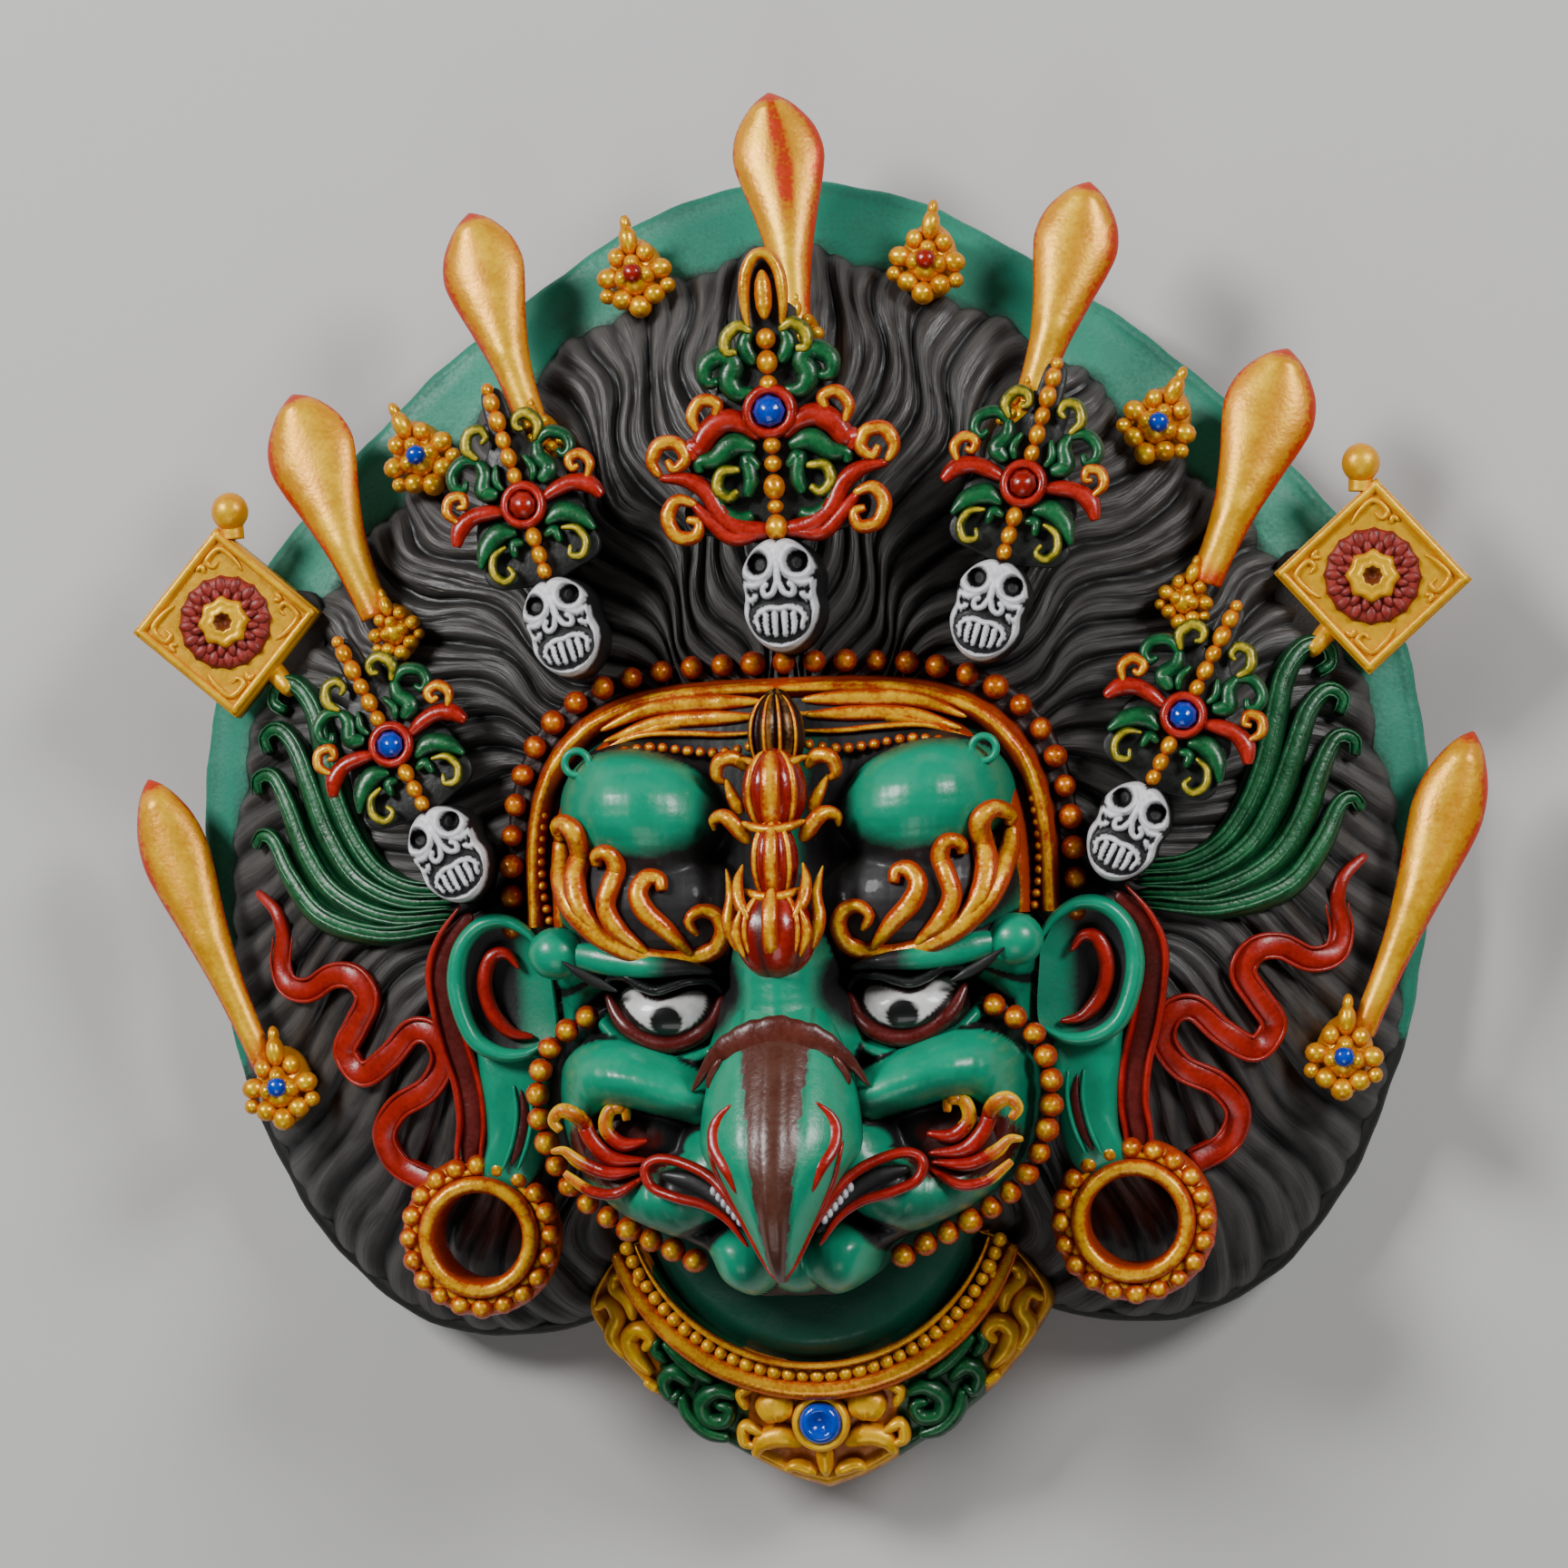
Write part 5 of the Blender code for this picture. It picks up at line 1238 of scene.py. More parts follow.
# %% Cheek swirls
SWIRLS = (
    (((21.4, -53.8), (25.4, -54.2), (27.9, -51.8), (27.2, -49.0), (25.0, -48.8), (24.6, -50.6)),
     (0.9, 1.2, 1.1, 0.9), (0, 0, 0.5, 1, 1)),
    (((21.6, -56.8), (27.0, -56.4), (30.2, -53.4), (31.8, -49.8), (34.1, -48.6), (35.6, -50.1),
      (34.6, -51.7)), (0.8, 1.3, 1.3, 1.0), (0, 0, 0, 0.6, 1)),
    (((22.0, -58.2), (27.6, -58.6), (31.8, -56.8), (34.1, -54.9), (36, -54.9)), (0.7, 1.1, 1.1, 0.7),
     (0, 0, 0, 0.6, 1)),
    (((22.0, -59.2), (26.2, -61.6), (30.2, -61.2), (33.0, -59.3), (34.3, -58.2)), (0.6, 0.9, 0.9, 0.8),
     (0, 0, 0.3, 1)),
)
swirls = [stroke(path, width, 1.2, z=lambda x, y: np.maximum(face_form(x, y), 51.2) + 0.4, count=64,
                 tint=tint, ends=(0.3, 0.6)) for path, width, tint in SWIRLS]
for one in swirls:
    one["marks"]["tint"] = np.where(one["marks"]["tint"] > 0.02, one["marks"]["tint"], 0)
recess_pad = pad(smooth_path(((20.4, -52.5), (25, -50.5), (29.4, -51.8), (31.6, -54.6), (31.2, -58.6),
                              (27, -60.8), (21.6, -60.2), (19.6, -56.5), (20.4, -52.5)), 60)[:-1],
                 (26, -56), 1.2, -3, rows=8)
recess_paint = painted("dark red recess", (0.045, 0.003, 0.002), BLACK, ridge=(0.12, 0.006, 0.003),
                       wear_and_highlight=0.5, gloss=0.4, patches=0.8, patch_size=260)
piece("cheek_recess", both_sides(placed(recess_pad, (0, 0), z=48.6)), recess_paint)
piece("cheek_swirls", both_sides(*swirls), red_paint)

# %% [markdown]
# ## Ears, straps and ear tunnels
#
# The ear is a rim rolled round a red hollow, over a long stretched lobe with a slit. Behind it a
# flat red strap runs down to the tunnel: a gold ring with a ring of beads, open in the middle so
# that the hair shows through. Rings are the one shape that loops both ways.

# %% Ears
EAR_RIM = ((38.8, -25.2), (41.0, -22.0), (44.8, -19.9), (48.8, -20.4), (52.0, -23.6), (53.2, -28.6),
           (52.4, -33.8), (50.2, -38.4), (46.4, -40.6), (42.0, -40.6), (38.2, -38.6))
EAR_FLOOR = ((38.5, -27), (41.5, -22.2), (46, -20.4), (50.5, -22.6), (52.4, -28.6), (51.4, -35),
             (48.4, -39.6), (43, -41), (38, -38.4), (38.5, -27))
LOBE = ((40.4, -39.0), (49.8, -37.6), (50.6, -42.4), (49.8, -48.6), (49.6, -54.4), (50.4, -60.6),
        (44.6, -62.4), (41.6, -58.6), (40.4, -52), (39.6, -45), (40.4, -39.0))
ear_rim = stroke(EAR_RIM, (1.1, 1.3, 1.5, 1.4, 1.2), 2.2, z=(39.5, 37.6, 37, 37, 37.6, 38, 39), count=80)
inner_fold = stroke(((43.2, -27.4), (45.2, -25.0), (47.6, -25.6), (48.8, -29.6), (47.6, -34.2),
                     (44.8, -37.4), (41.2, -38.2)), (1.0, 1.3, 1.3, 1.1), 1.1, z=36.2, count=60)
ear_floor = pad(smooth_path(EAR_FLOOR, 70)[:-1], (45, -30.5), -1.4, -12)
ear_floor["marks"]["wash"] = 0.25 + 0.75 * step_up(ear_floor["points"][..., 0], 41.5, 45.5)
lobe = pad(smooth_path(LOBE, 90)[:-1], (45.4, -50), 1.8, -12, power=4)
piece("ears", both_sides(ear_rim, placed(ear_floor, (0, 0), z=36), placed(lobe, (0, 0), z=34.6)),
      face_paint)
piece("ear_hollows", both_sides(inner_fold), red_paint)
slit = stroke(((43.6, -46.4), (43.2, -50), (44.0, -54.4), (45.6, -58.2)), (0.5, 0.9, 1.0, 0.6), 0.5,
              z=36.5, count=40)
SLIT_LINE = np.array(((43.5, -45.6), (43.1, -50), (44.0, -54.8), (45.8, -59.0)))
slit_rim = [stroke(SLIT_LINE + (side, 0), 0.45, 0.7, z=36.6, count=40) for side in (-1.2, 1.2)]
piece("ear_slits", both_sides(slit), recess_paint)
piece("ear_slit_rims", both_sides(*slit_rim), face_paint)


# %% Straps
def beside(path, distance, count=60):
    """The curve that runs at a distance to the right of another."""
    line = smooth_path(path, count)
    ahead = np.gradient(line, axis=0)
    ahead /= np.linalg.norm(ahead, axis=1, keepdims=True)
    return line + distance * np.column_stack([ahead[:, 1], -ahead[:, 0]])


STRAP = ((50.6, -18.6), (54.0, -22.8), (55.8, -27.4), (55.4, -33), (54.2, -39), (52.6, -45), (52.0, -51),
         (52.6, -56), (52.6, -61))
strap_z = (36, 34.6, 33.6, 33, 32.6, 32.6, 33)
strap_floor = stroke(STRAP, 2.3, 1.6, z=strap_z, count=80, flat=0.4)
strap_edges = [stroke(beside(STRAP, side), 0.62, 1.0, z=np.add(strap_z, 1.5), count=80)
               for side in (-1.95, 1.95)]
piece("straps", both_sides(strap_floor), painted(
    "dark strap paint", (0.085, 0.004, 0.002), BLACK, ridge=(0.17, 0.007, 0.004), wear_and_highlight=0.35, gloss=0.4,
    patches=0.7, patch_size=420))
piece("strap_edges", both_sides(*strap_edges), red_paint)

# %% Ear tunnels
TUNNEL = (51.4, -69.4)
TUNNEL_Z = 35.0
tunnel_rings = [
    hoop((*TUNNEL, TUNNEL_Z + 0.4), 8.3, 1.35, 1.7),
    hoop((*TUNNEL, TUNNEL_Z - 5), 7.6, 0.6, 6.4),
    hoop((*TUNNEL, TUNNEL_Z - 1.0), 10.2, 0.7, 1.0),
    hoop((*TUNNEL, TUNNEL_Z - 3.4), 10.4, 2.4, 2.6),
]
turn = full_turn(20)
bead_at = np.column_stack([TUNNEL[0] + 11.2 * np.cos(turn), TUNNEL[1] + 11.2 * np.sin(turn),
                           0 * turn + TUNNEL_Z - 0.9])
bead_size = 1.72 * (1 + 0.08 * wobble(np.arange(20) * 1.9, seed=5))[:, None] * np.array([1, 1, 1.15])
piece("ear_tunnels", both_sides(*tunnel_rings), gold_paint)
piece("ear_tunnel_beads", both_sides(balls(bead_at, bead_size, 9, 14)), gold_paint)
JAW_STRING = ((31.6, -35.0), (34.4, -36.6), (38.0, -40.0), (39.9, -46), (39.4, -52.6), (36.8, -59.4),
              (32.2, -64.6), (26.2, -68.4), (19.4, -71.6), (16.2, -73.2))
jaw_beads = bead_row(JAW_STRING, (43, 43, 42, 41, 40.5, 41, 42), 1.9, 3.9, tall=1.5, seed=6.0)
piece("jaw_beads", both_sides(jaw_beads), gold_paint)

# %% [markdown]
# ## Blades and flower clusters
#
# The seven blades are spoons: narrow at the foot, widest at three quarters and pointed. Their
# section is a low lens with a soft crease. Orange is brushed on at the tip and one edge. The
# clusters at their feet and on the rim are pressed drops round a boss.

# %% Blades
BLADES = {
    "top": ((3.2, 70), (-0.7, 109.6), 7.3, 31, 22, 0.75),
    "upper": ((38.8, 57), (49.6, 93.0), 6.7, 29, 21.5),
    "middle": ((65.6, 29), (79.7, 65.4), 7.3, 28, 20.5),
    "lower": ((87.4, -42), (106.4, 4.4), 5.7, 23.5, 17.5),
}
BLADE_WIDTHS = ((0, 0.36), (0.15, 0.38), (0.32, 0.48), (0.5, 0.70), (0.64, 0.91), (0.74, 1.0),
                (0.84, 0.88), (0.92, 0.6), (0.97, 0.32), (1, 0.04))


def blade_sheet(base, tip, half_width, base_z, tip_z, centre_red=0.34, mirror=1, rows=72, around=28):
    """A lens (w cos a, h |sin a|^1.25) carried from foot to tip, with the widths from a profile."""
    t = np.linspace(0, 1, rows)[:, None]
    turn = full_turn(around)[None, :]
    base, tip = np.array(base, float), np.array(tip, float)
    ahead = (tip - base) / np.linalg.norm(tip - base)
    wide = profile(t, BLADE_WIDTHS) * half_width
    bow = 0.7 * np.sin(math.pi * t) * mirror
    across = wide * np.cos(turn) + bow
    high = np.minimum(3.0, wide * 0.85) * (0.85 + 0.15 * np.sin(turn))
    rise = np.sign(np.sin(turn)) * np.abs(np.sin(turn)) ** 1.25
    length = np.linalg.norm(tip - base)
    x = base[0] + ahead[0] * length * t + ahead[1] * across
    y = base[1] + ahead[1] * length * t - ahead[0] * across
    z = base_z + (tip_z - base_z) * t + high * rise
    edge = np.where(np.cos(turn) * mirror > 0, np.abs(np.cos(turn)) ** 3,
                    0.7 * np.abs(np.cos(turn)) ** 6)
    tip_red = step_up(t, 0.92, 1.0) * 0.85
    crease = centre_red * bell(np.cos(turn), 0.12 * mirror, 0.26) * step_up(t, 0.3, 0.6)
    foot = 0.5 * step_up(-t, -0.16, 0.0)
    tint = np.clip(np.maximum.reduce([edge * 0.85 + 0 * t, tip_red + 0 * edge, crease, foot + 0 * edge]),
                   0.02, 1)
    # The underside is darkened, painted shade; the top takes the ridge colour, rubbed paint and a
    # painted highlight, except where orange is brushed.
    wash = 0.55 * step_up(-np.sin(turn), -0.05, 0.3) + 0 * t
    return sheet(np.stack([x, y, z], axis=-1), True, crown=np.clip(np.sin(turn), 0, 1) * (1 - tint),
                 wash=wash, tint=tint)


blade_sheets = [blade_sheet(*BLADES["top"])]
for name in ("upper", "middle", "lower"):
    blade_sheets += both_sides(blade_sheet(*BLADES[name]))
piece("blades", blade_sheets, bright_gold)

# %% Clusters
CLUSTERS = (
    ((23.4, 82.0), (0.15, 1), 20.5, 1.0, "red"),
    ((59.2, 54.6), (0.45, 0.9), 21.5, 1.0, "blue"),
    ((62.6, 26.6), (0.3, 0.95), 29, 0.72, None),
    ((38.2, 56.4), (0.2, 0.98), 29.5, 0.62, None),
    ((84.6, -45.4), (0.1, 1), 25.5, 1.0, "blue"),
)
DROPS = ((0, 5.6, 1.5, 2.6, 1.9), (-2.3, 3.2, 1.5, 1.6, 1.8), (2.3, 3.2, 1.5, 1.6, 1.8),
         (-4.3, 0.2, 1.9, 1.7, 1.8), (4.3, 0.2, 1.9, 1.7, 1.8), (-4.9, -2.6, 1.3, 1.3, 1.6),
         (4.9, -2.6, 1.3, 1.3, 1.6), (-2.6, -3.6, 1.8, 1.7, 2.0), (2.6, -3.6, 1.8, 1.7, 2.0),
         (0, -5.2, 1.9, 1.9, 2.1), (-1.8, -0.4, 1.6, 1.6, 2.4), (1.8, -0.4, 1.6, 1.6, 2.4),
         (0, 8.2, 0.9, 1.6, 1.4), (0, 1.8, 1.4, 1.5, 2.6), (0, -0.6, 2.6, 3.0, 2.2))


def cluster(centre, direction, z, size):
    """Drops round a boss, over a rounded base that reaches down to the hair."""
    turn = math.atan2(-direction[0], direction[1])
    drops = np.array(DROPS)
    at = np.column_stack([drops[:, 0], drops[:, 1], 0.6 * drops[:, 4] - 1])
    petals = balls(at, drops[:, 2:], 8, 12)
    base = balls([(0, 0, -4)], (4.6, 6.4, 5.0), 10, 20)
    return [placed(one, centre, turn, z, (size, size, 1)) for one in (petals, base)]


cluster_sheets = []
stones = {"red": [], "blue": []}
for place_at, direction, z, size, stone in CLUSTERS:
    cluster_sheets += both_sides(*cluster(place_at, direction, z, size))
    if stone:
        stones[stone] += both_sides(balls([(*place_at, z + 2.6)], (1.7, 1.7, 1.3), 8, 8))
cluster_sheets += cluster((3.6, 70.2), (0, 1), 31, 0.7)
# The pale gold on the tops of the drops is rubbed paint and a painted highlight.
piece("flower_clusters", cluster_sheets, painted(
    "worn yellow gold", (0.72, 0.26, 0.001), (0.03, 0.005, 0.002), ridge=(0.98, 0.62, 0.003), second=RED,
    wear_and_highlight=0.9, gloss=0.3, metallic=0.4, patches=0.45, patch_size=420))

# %% [markdown]
# ## Banners
#
# Each banner is a square board on a pole, turned on its corner. A red rosette of two rings of
# petals surrounds a gold button with a dimple, and small scrolls fill the corners inside a raised
# edge. The parts are made about the middle of the board and carried to their place together.

# %% Banner
BANNER = (91.6, 29.2)
BANNER_TURN = math.radians(41)
BANNER_Z = 22.0
BOARD_HALF = 10.9
board_line = np.array(((1, 1), (-1, 1), (-1, -1), (1, -1), (1, 1))) * BOARD_HALF
board_line = evenly(board_line.astype(float), 97)[:-1]
board = pad(board_line, (0, 0), 0.3, -4.4, rows=14, power=14)
board["marks"]["wash"] = 0.2 * board["marks"]["wash"]
bar_line = ((-BOARD_HALF + 0.3, BOARD_HALF - 0.9), (BOARD_HALF - 0.3, BOARD_HALF - 0.9))
bar = stroke(bar_line, 0.75, 0.9, z=0.25, count=30, ends=(0.9, 0.9))
corner = [
    stroke(((3.0, 8.2), (5.4, 8.8), (8.2, 8.6), (8.6, 5.8), (7.2, 5.6), (7.0, 7.0)), 0.5, 0.7, z=0.3,
           count=34, around=10),
    stroke(((8.9, 3.4), (8.6, 4.6), (7.6, 3.9)), 0.45, 0.6, z=0.3, count=16, around=10),
]
frame_bars = [placed(bar, (0, 0), turn) for turn in full_turn(4)]
corner_curls = [placed(one, (0, 0), turn) for turn in full_turn(4) for one in corner]
button = turned((0, 0, 0), ((0.1, 0.4), (3.7, 0.4), (3.9, 1.6), (3.3, 2.4), (2.4, 2.3), (1.7, 2.5),
                            (1.1, 2.1), (0.5, 1.3), (0.1, 1.2)), columns=48, rows=44, scallops=8,
                depth=0.07)
# The dimple is darkened: black wash and painted shade.
in_dimple = np.arange(44)[None, :, None] > 34
button["marks"]["wash"] = np.where(in_dimple, 0.8, 0.05) + 0 * button["marks"]["crown"]


def petal_ring(radius, offset, size, z):
    """Flat oval petals that point away from the button, one at each turn."""
    petal = balls([(radius, 0, z)], size, 8, 12)
    return [placed(petal, (0, 0), turn + offset) for turn in full_turn(16)]


rosette_base = turned((0, 0, 0), ((0.1, -1), (7.3, -1), (7.4, 0.5), (6.4, 1.1), (4.0, 0.9), (0.1, 0.9)),
                      columns=48, rows=20, scallops=16, depth=0.03)
rosette = petal_ring(6.0, 0, (1.5, 1.0, 0.65), 0.8) + petal_ring(4.5, 0.2, (1.3, 0.75, 0.6), 1.1)


def on_banner(sheets):
    return both_sides(*[placed(one, BANNER, BANNER_TURN, BANNER_Z) for one in sheets])


KNOB = (90.4, 47.0)
pole = stroke(((90.6, 28.2), (85.6, 22.4), (81.4, 17.6)), 1.7, 1.9, z=(16.4, 18.2, 21.2), count=20,
              ends=(1, 0.6))
knob = balls([(*KNOB, 21.5)], (3.0, 3.1, 2.9), 18, 28)
knob_neck = stroke(((90.2, 42.6), (90.3, 44.8)), 1.9, 1.9, z=20.8, count=12, ends=(1, 1))
foot = pad(smooth_path(((6, 6), (-6, 6), (-6, -6), (6, -6), (6, 6)), 40)[:-1], (0, 0), 0.5, -18)
foot = placed(foot, (BANNER[0] - 8, BANNER[1] - 2), z=19)
piece("banner_boards", on_banner([board]), painted(
    "yellow board paint", (0.70, 0.33, 0.001), (0.10, 0.025, 0.003), ridge=(0.80, 0.48, 0.002),
    second=ORANGE, wear_and_highlight=0.4, gloss=0.38, metallic=0.15, patches=0.55, patch_size=520))
piece("banner_trims", on_banner(frame_bars + corner_curls + [button]), bright_gold)
piece("banner_rosettes", on_banner([rosette_base] + rosette), painted(
    "dusty red petals", (0.17, 0.009, 0.006), (0.03, 0.003, 0.002), ridge=(0.36, 0.03, 0.018), wear_and_highlight=0.8,
    gloss=0.5, patches=0.5, patch_size=500))
piece("banner_knobs", both_sides(knob, knob_neck, pole), bright_gold)
piece("banner_posts", both_sides(foot), resin_back)

# %% [markdown]
# ## Plumes and ribbons
#
# Four green plumes sweep out from behind each outer skull and curl at their tips, and a red
# ribbon winds down between the hair locks. Both lie on the hair, so their height is the dome's
# height plus a step. The ribbon's section is flattened by raising its sine to a power below one.

# %% Plumes
def over_hair(step):
    """A height function: the dome plus a step."""
    return lambda x, y: dome(x, y) + step


PLUMES = (
    ((54, -14.6), (61, -14.2), (66.4, -11.6), (70.4, -6.6), (73.6, 0.6), (75.4, 8), (77.2, 14.4),
     (80.4, 18.6), (83.8, 18.8), (84.6, 16.0), (82.4, 14.6)),
    ((54, -16.6), (63, -16.2), (70.4, -12.4), (75.0, -5.4), (78.0, 2.0), (80.8, 8.8), (84.0, 11.8),
     (86.4, 10.4), (85.6, 8.0)),
    ((54, -18.6), (65, -18.8), (74, -14.8), (79.0, -8.2), (82.2, -0.6), (85.0, 4.2), (87.8, 3.8),
     (87.8, 1.4)),
    ((55, -20.2), (66, -21.4), (76.4, -18.4), (82.0, -12.0), (85.0, -6.4), (87.2, -5.2), (88.6, -7.0)),
)
plume_strokes = [stroke(path, (1.0, 1.7, 2.2, 2.5, 2.3, 1.8, 1.2), (1.6, 2.2, 2.4, 2.0),
                        z=over_hair(3.2), count=64, ends=(0.4, 0.7)) for path in PLUMES]
plume_ridges = [stroke(beside(path, shift), (0.35, 0.6, 0.65, 0.35), 0.8, z=over_hair(4.9), count=50,
                       around=8) for path in PLUMES for shift in (-0.9, 0.8)]
piece("plumes", both_sides(*plume_strokes, *plume_ridges), painted(
    "forest green plume paint", (0.001, 0.050, 0.014), BLACK, ridge=(0.008, 0.150, 0.045), wear_and_highlight=0.85,
    gloss=0.38, coat=0.05, patches=0.35, patch_size=240, relief=0.2))

# %% Ribbons
RIBBON = ((88.9, -14.4), (85.4, -17.6), (84.3, -21.4), (84.8, -26), (83.6, -29.4), (79.8, -30.2),
          (75.4, -28.0), (71.4, -28.4), (69.4, -31.8), (71.6, -36), (73.8, -40.2), (70.8, -43.8),
          (66.0, -41.0), (61.8, -37.0), (58.2, -37.6), (56.8, -41.6), (59.6, -46.2), (65.0, -49.2),
          (67.8, -53.6), (65.8, -58.4), (60.4, -61.2))
ribbon = stroke(RIBBON, (1.5, 1.9, 2.2, 2.2, 2.1, 2.1, 2.2), 1.2, z=over_hair(2.9), count=130,
                ends=(0.4, 1), flat=0.6)
twist = wobble(np.linspace(0, 22.7, 130), seed=14)[None, :, None]
ribbon["points"][..., 2] += 0.5 * twist * (ribbon["marks"]["crown"] > 0.02)
ribbon_edges = [stroke(beside(RIBBON, side, 130)[12:], 0.42, 0.7, z=over_hair(3.9), count=130, around=8)
                for side in (-1.75, 1.75)]
piece("ribbons", both_sides(ribbon, *ribbon_edges), painted(
    "bright red ribbon paint", (0.27, 0.007, 0.003), DARK_RED, ridge=(0.47, 0.014, 0.006), wear_and_highlight=0.7,
    gloss=0.36, coat=0.05, patches=0.5, patch_size=260))

# %% [markdown]
# ## Leaf crests
#
# A crest is a drawing of strokes, mirrored about a beaded stem: red wings, green scrolls and
# gold curls round a stone. The middle crest has one drawing and the four side ones share a
# simpler one. Each is laid out flat from its foot upwards, then widened or narrowed, leaned back
# and turned to its place. A dark leaf behind it stands for the ground that it was cast with.

# %% Crest drawing
CREST_LENGTH = 43.5
CREST_FOOT = 24.0
RED_STROKES = (
    (((1.8, 15.4), (4.2, 17.6), (7.2, 18.3), (9.8, 16.8), (11.4, 14.6), (12.8, 14.6), (12.0, 12.6)),
     (1.1, 1.4, 1.6, 1.4, 1.0)),
    (((1.0, 1.0), (4.6, 1.4), (8.2, 3.4), (10.4, 7.4), (13.4, 9.6), (17.6, 10.2)),
     (1.5, 1.4, 1.2, 1.1, 0.7)),
    (((2.6, 0.6), (6.8, 0.2), (9.6, 2.4), (12.6, 5.8)), (0.9, 1.0, 0.8)),
)
GOLD_CURLS = (
    (((17.6, 10.4), (18.8, 12.8), (17.4, 15.4), (14.6, 15.2), (13.6, 12.8), (15.4, 11.4), (16.4, 12.9)),
     (0.8, 1.0, 0.9, 0.7)),
    (((12.2, 5.8), (15.2, 6.6), (16.8, 4.2), (15.6, 1.2), (12.8, 0.8), (12.0, 2.9), (13.8, 3.6)),
     (0.8, 1.0, 0.9, 0.7)),
    (((11.4, 16.8), (12.2, 19.4), (10.6, 21.6), (8.2, 21.0), (8.6, 19.2)), (0.7, 0.9, 0.8)),
)
GREEN_SCROLLS = (
    (((2.2, 22.4), (5.0, 22.4), (6.2, 24.6), (5.4, 27.0), (7.4, 28.4), (9.8, 26.8), (9.6, 24.4),
      (7.8, 24.4)), (1.1, 1.5, 1.3, 0.9)),
    (((2.6, 13.8), (6.0, 14.6), (9.0, 12.6), (11.4, 12.2), (11.4, 10.6)), (1.2, 1.6, 1.3, 0.8)),
    (((3.6, 3.6), (6.2, 2.8), (8.6, 4.6), (8.2, 7.0), (6.4, 6.2)), (1.1, 1.3, 1.0, 0.8)),
    (((2.2, 10.6), (4.0, 12.2), (3.6, 9.0), (4.4, 6.4)), (0.9, 1.1, 0.9)),
    (((2.0, 26.6), (3.4, 29.6), (2.4, 32.2)), (0.9, 1.2, 0.7)),
)
YELLOW_CURLS = (
    (((2.2, 31.6), (4.2, 32.6), (6.2, 31.0), (6.2, 28.8), (4.6, 28.6)), (0.8, 0.9, 0.7)),
    (((5.2, 10.6), (8.0, 10.4), (8.8, 8.0), (7.2, 6.4), (5.6, 7.4)), (0.7, 0.8, 0.7)),
)
STEM_BEADS = ((1.4, 1.9), (4.6, 1.0), (7.6, 1.8), (11.2, 1.2), (14.0, 1.2), (23.4, 1.3), (26.8, 1.7),
              (30.4, 1.5))
MIDDLE_CREST = {"red": RED_STROKES, "gold": GOLD_CURLS, "green": GREEN_SCROLLS, "yellow": YELLOW_CURLS,
                "beads": STEM_BEADS, "gem": (19.2, 3.4), "ground": 1.0}
SIDE_CREST = {
    "red": ((((4.6, 16.4), (8.2, 17.4), (12.0, 17.6), (15.4, 16.0), (17.4, 12.8)),
             (1.3, 1.4, 1.5, 1.7, 1.3)),),
    "gold": ((((15.2, 17.4), (17.0, 20.2), (15.6, 22.8), (12.8, 22.6), (12.8, 20.4), (14.4, 20.6)),
              (0.8, 1.0, 1.0, 0.7)),),
    "green": (
        (((5.0, 20.2), (7.8, 22.2), (6.4, 25.6), (7.0, 28.6)), (1.5, 1.7, 1.4, 1.2)),
        (((6.4, 27.8), (10.0, 29.6), (13.4, 27.8), (13.8, 25.0), (12.0, 23.8), (10.8, 25.4)),
         (0.9, 1.2, 1.1, 0.8)),
        (((3.4, 20.8), (4.4, 23.4), (3.2, 26.6)), (0.7, 0.9, 0.6)),
        (((3.4, 11.4), (7.4, 12.4), (11.0, 10.4), (13.6, 6.6)), (1.2, 1.9, 1.7, 0.8)),
        (((2.4, 8.8), (4.8, 9.2), (5.4, 6.4)), (0.8, 1.0, 0.7)),
    ),
    "yellow": (
        (((6.8, 28.8), (8.6, 31.8), (7.0, 34.8), (4.4, 34.8), (3.6, 32.8), (5.0, 31.8)),
         (0.9, 1.1, 1.0, 0.7)),
        (((6.6, 9.2), (9.8, 8.0), (11.0, 4.8), (9.2, 2.2), (6.8, 3.0), (7.4, 5.0)),
         (0.6, 0.8, 0.8, 0.6)),
    ),
    "beads": ((1.6, 1.7), (5.2, 1.9), (9.2, 2.0), (22.9, 1.8), (27.0, 2.1), (31.0, 1.9), (35.2, 2.3),
              (39.4, 2.1), (42.4, 1.3)),
    "gem": (16.4, 4.1),
    "ground": 0.94,
}


def crest_part(nth, part):
    """The middle crest is nth 0; the four side ones share a simpler drawing."""
    return (SIDE_CREST if nth else MIDDLE_CREST)[part]


def drawn(strokes, z, high, count=34, widen=1.25):
    """A list of (path, widths) as rolled strokes on both sides."""
    settings = {"z": z, "count": count, "around": 10, "ends": (0.5, 0.6)}
    return both_sides(*[stroke(path, np.multiply(w, widen), high, **settings) for path, w in strokes])


def stem_sheets(nth):
    """Gold ovals up the middle; the middle crest ends in an arch."""
    along = np.array(crest_part(nth, "beads"))
    beads = balls(np.column_stack([0 * along[:, 0], along[:, 0], 0 * along[:, 0] + 0.9]),
                  np.column_stack([0.52 * along[:, 1] + 0.75, 1.12 * along[:, 1],
                                   0.4 * along[:, 1] + 1.1]), 10, 16)
    if nth:
        return [beads]
    arch_line = ((-2.6, 32.2), (-3.0, 36.0), (-2.7, 40.2), (-1.5, 42.8), (0, 43.6), (1.5, 42.8),
                 (2.7, 40.2), (3.0, 36.0), (2.6, 32.2))
    hood = stroke(arch_line, 0.95, 1.4, z=1.0, count=70)
    core = stroke(((0, 33.4), (0, 37.6), (0, 41.0)), (1.1, 1.4, 1.1), 1.5, z=1.0, count=30)
    return [beads, hood, core]


